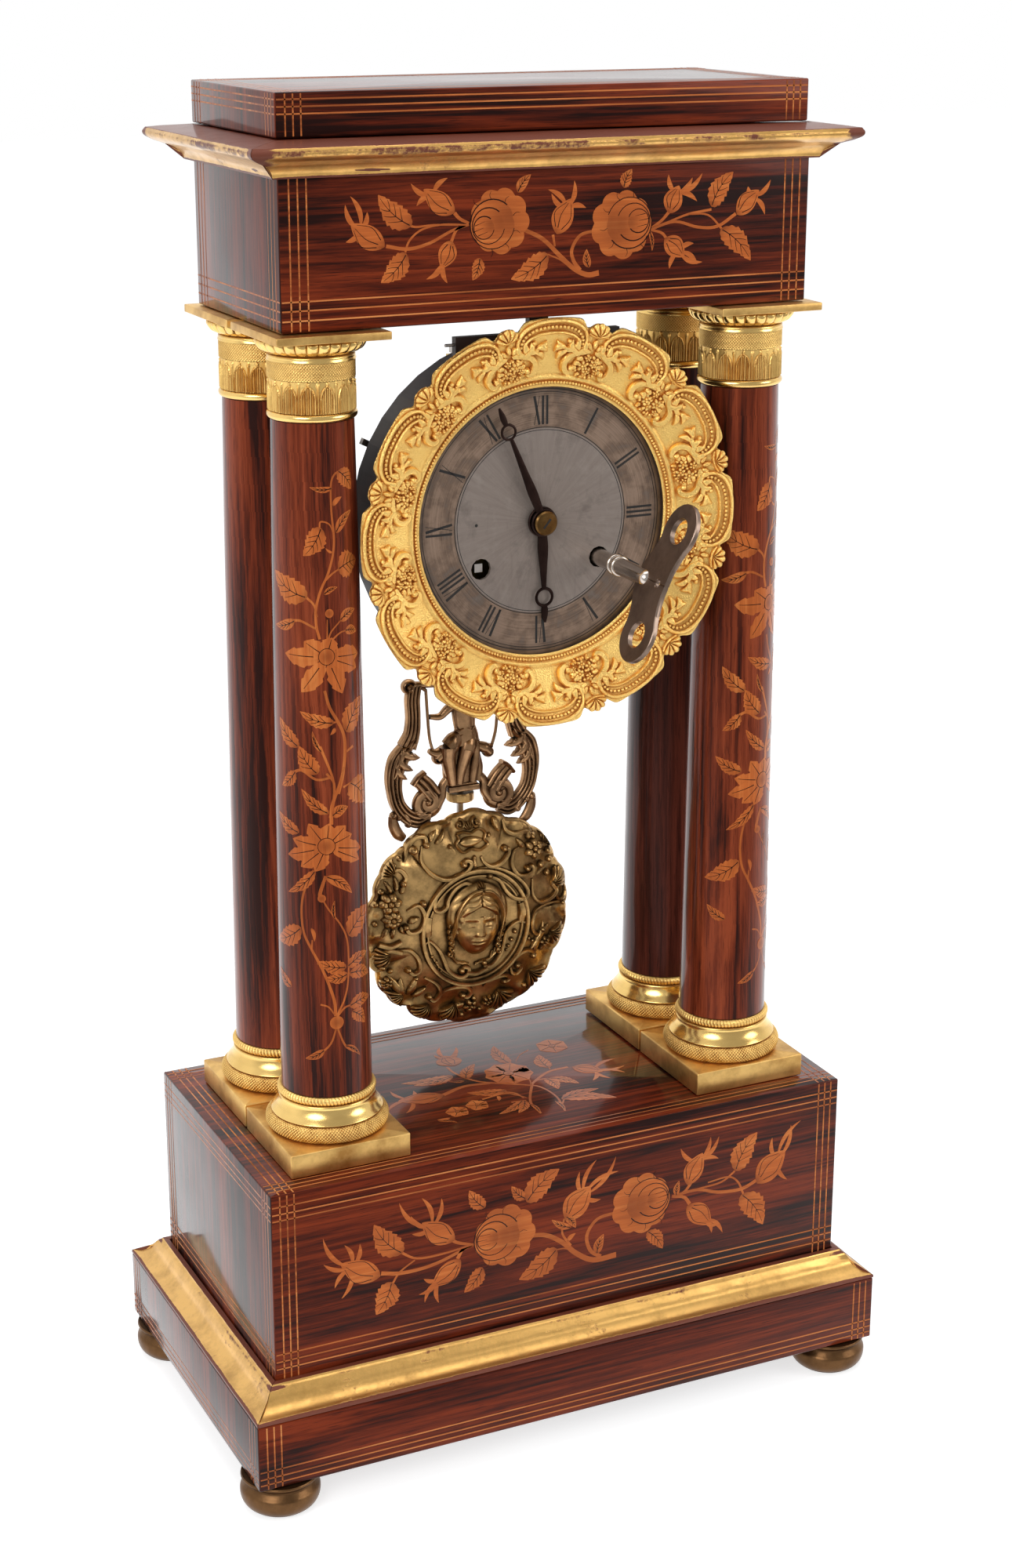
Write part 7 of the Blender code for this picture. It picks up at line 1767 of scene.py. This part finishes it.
def frond(points, width, bend):
    """A toothed leaf of the frame, which bends the other way on the other side."""
    return leaf(on_frame, *points, width, 2.2, bend * np.sign(points[0, 0]), teeth=4, rows=18, sink=1.2)


UPPER_CURL, LOWER_CURL = (21.8, 263.8), (14.6, 218.6)
ARM = [
    (fluted, [(19.4, 264.4), (20.2, 259), (20, 252), (20.6, 246), (22.6, 241.2)],
     (2.7, 2.8, 2.7, 3, 3.7), 1.6, 4),
    (rail, curl(UPPER_CURL, 2.7, 150, -1.15, tight=0.35), 0.8, 1.7, 0, 3), (stud, [UPPER_CURL], 1.2, 2),
    (rail, [(19.6, 242.4), (21.6, 240.4), (24, 238.8), (25.8, 238.4)], 1, 1.9, 0.1, 4),
    (rail, [(19.8, 244.2), (22.8, 241.6), (25.6, 241)], 0.55, 1.9, 0.1, 4),
    (fluted, [(23, 240.4), (26.2, 236.2), (27.9, 230.6), (27.8, 224.6), (26.4, 219.2), (23, 214.6),
              (18.6, 212.4), (14.6, 213.6)], (3.3, 3.9, 3.4, 2.9, 2.8, 3, 3.2, 2.6), 1.6, 4),
    *((stud, [(27.9 - 0.05 * k * k, 229.4 - 1.9 * k)], 0.55, 2.1, 8) for k in range(6)),
    (frond, [(25.6, 240.8), (17.2, 236.4)], 2.3, 0.12), (frond, [(26.8, 238.4), (20, 231.8)], 2.2, 0.14),
    (frond, [(27.6, 235.4), (22.4, 228.6)], 2, 0.14), (frond, [(24.6, 241.6), (28.6, 232)], 1.8, -0.1),
    (frond, [(27.2, 236), (29.6, 228.4)], 1.2, -0.12),
    (rail, curl(LOWER_CURL, 5.4, -100, 1.35, 22, 0.2), 1.7, 1.8, 0.1, 3, GROOVED),
    (stud, [LOWER_CURL], 1.6, 2.3), (stud, [(14.4, 218.4)], 6.3, 1.1, 24),
    (fluted, [(11.8, 220.6), (15, 225), (18, 228.2)], (3.2, 3.3, 3), 1.7, 3),
    (rail, [(15.6, 230.6), (18.4, 228.8), (20.6, 226)], 0.9, 2, 0.1, 4),
    (rail, [(11, 216.4), (8.8, 220), (8.4, 224), (6.6, 226.4)], 1.8, 1.6, 0, 5),
    *((stud, [spot], size, 1.9) for *spot, size in ((28.4, 215.4, 1.6), (26.2, 214.4, 1.4), (22.4, 211.2, 1.5),
                                                    (19.6, 215.6, 1.1))),
    (rail, [(28.6, 215), (28.2, 211.4), (26.6, 208), (24.2, 205.8)], 2.2, 1.6, -0.1, 5, circle(8), (0.8, 0.7)),
    (rail, [(14.8, 261.8), (14.2, 252), (13.4, 243), (11.6, 236.6)], 0.6, 0.7, 0, 6),
    (rail, [(14.8, 261.8), (17, 263.4), (19.4, 264)], 0.7, 0.9, 0, 5)]
frame_parts = []
for flip in MIRRORED:
    frame_parts += [draw(points * flip, *sizes) for draw, points, *sizes in ARM]
    frame_parts.append(leaf(on_frame, (24.8, 216.2) * flip, (20.4, 210) * flip, 1.2, 1.9, sink=1.2))
frame_parts.append(rail([(-20, 264.6), (-10, 263.8), (0, 264.6), (10, 263.8), (20, 264.6)], 1.3, 1.4, 0, 8))
print("strands and leaves of the frame:", len(frame_parts))

# %% The small seated figure


def limb(points, wide, thick=1):
    """A limb: a path of (across, up, lift) points with a round section of changing size."""
    across, up, lift = np.transpose(points)
    path = smooth_profile(on_frame(across, up, lift), 5)
    size = spread(wide, len(path))
    return swept(path, size, size * thick, (0, -1, 0), circle(14))


LIMBS = (
    ([(0.2, 256.6, 0.2), (0.2, 252.4, 0.4), (0.4, 248, 0.5), (0.8, 243.6, 0.6), (1, 239.6, 0.4)],
     (3.8, 5, 4.7, 4.3, 5.2, 5.6), 0.5),
    ([(-0.8, 242, -0.3), (-1.4, 236, -0.3), (-1.6, 230, -0.3), (-1.2, 224.2, -0.3)],
     (6.4, 7.4, 6.6, 5.8), 0.24),
    ([(-1.6, 242.4, 0.6), (-4.4, 241.4, 1.5), (-6.6, 239.4, 1.9)], (3, 3.7, 3.7), 0.75),
    ([(-6.6, 239.6, 1.4), (-6.6, 235, 1), (-5.6, 229.6, 0.8), (-4.8, 224.6, 0.9)], (3.5, 3, 2.4, 1.8)),
    ([(2.6, 242, 0.6), (1.8, 239.8, 1.4), (0.8, 237.4, 1.8)], (3.2, 3.4, 3.1), 0.75),
    ([(0.8, 237.8, 1.4), (-0.4, 233.6, 1), (-1.6, 229, 0.9), (-2, 224.6, 1)], (3, 2.6, 2.1, 1.6)),
    ([(4.4, 240.4, 0.3), (4.9, 235.4, 0.7), (4.2, 230, 0.6), (3.6, 224.6, 0.4)], (2.2, 1.7, 1.9, 1.6)),
    ([(-8.2, 237.6, 0.1), (-11, 237.2, 0.3), (-14, 238.6, 0.2)], (2.4, 2, 0.9)),
    ([(-3.6, 255.6, 0.3), (-6.6, 253.4, 0.2), (-9.4, 251.2, 0.1), (-13.4, 251.6, 0.1)], (1.9, 1.7, 1.4, 1)),
    ([(3.8, 255.6, 0.3), (6.8, 253.6, 0.2), (9.6, 252, 0.1), (13.4, 252.4, 0.1)], (1.9, 1.7, 1.4, 1)),
    ([(0.2, 256, 0.2), (0.1, 258.4, 0.3), (0, 260, 0.4)], (1.7, 1.5, 1.6), 0.8),
    ([(0, 257.9, 0.6), (0, 259.6, 0.7), (0, 261.6, 0.6), (0, 263, 0.4)], (1, 2.2, 2.5, 1.4), 0.95))
figure_parts = [limb(*row) for row in LIMBS]
for flip in MIRRORED:
    over = (*flip, 1)
    figure_parts += [
        limb(np.array([(5, 238.6, 0.2), (8.4, 237.2, 0.6), (10.8, 235, 0.6)]) * over, (1.6, 2.2, 1.8)),
        rail(curl((10.4, 235.4) * flip, 2.3, 60, flip[0] * 1.3), 0.8, 1.9, 0.1, 3),
        limb(np.array([(5.2, 236, -0.2), (6.4, 230, -0.2), (6, 224.6, -0.1)]) * over, (1.5, 1.8, 1.6)),
        stud([(0.8, 261.2) * flip], 0.28, 2.9, 8)]
    figure_parts += [stud([(0.5 + 0.62 * k, 263.4 - 0.21 * k * k) * flip], 0.6, 2.2, 8) for k in range(4)]
    folds = np.array([(0.8, 246.2), (2.6, 245.6), (3.6, 246.4)])
    figure_parts += [rail((folds - (0, 2.2 * k)) * flip, 0.3, 0.4, 2.4, 4) for k in range(3)]
figure_parts += [limb([(0, 261.3, 2.4), (0, 260.4, 3), (0, 260, 2.6)], (0.25, 0.38, 0.3)),
                 rail([(-0.55, 259.1), (0, 259), (0.55, 259.1)], 0.16, 0.3, 2.4, 4)]
for low, high, half, deep in ((221.2, 223.6, 6.4, 1.7), (223.6, 224.6, 5.4, 1.5)):
    figure_parts.append(rounded_block(np.array((-half, FRAME_DEPTH - deep, low)),
                                      np.array((half, FRAME_DEPTH + deep - 0.2, high)), 0.5))
piece("pendulum_frame_chased", frame_parts + figure_parts, BROWN_BRONZE, body="pendulum",
      replaces=("pendulum_frame",), slot="old_gilt_bronze", crease=55)
print("shapes in the frame and its figure:", len(frame_parts) + len(figure_parts))

# %% [markdown]
#
# Pieces whose solid shape is already right keep their mesh and only take a better finish.

# %% Finishes for the pieces that keep their shape

KEPT_FINISHES = {"rosewood": COLUMN_WOOD, "ebonised_wood": EBONISED, "gilded_wood": GILDED_WOOD,
                 "gilt_brass": MATT_GILT, "brushed_brass": PLATE_BRASS, "movement_brass": MOVEMENT_BRASS,
                 "silvered_dial": SILVERED, "dark_steel": DARK_STEEL, "steel": STEEL,
                 "old_gilt_bronze": OLD_BRONZE, "worn_gilt_bronze": FOOT_BRONZE}
for row in frame["record"]["subparts"]:
    node = frame["nodes"][row["node"]]
    for place in node.material_slots:
        place.material = KEPT_FINISHES[row["material_slot"]]
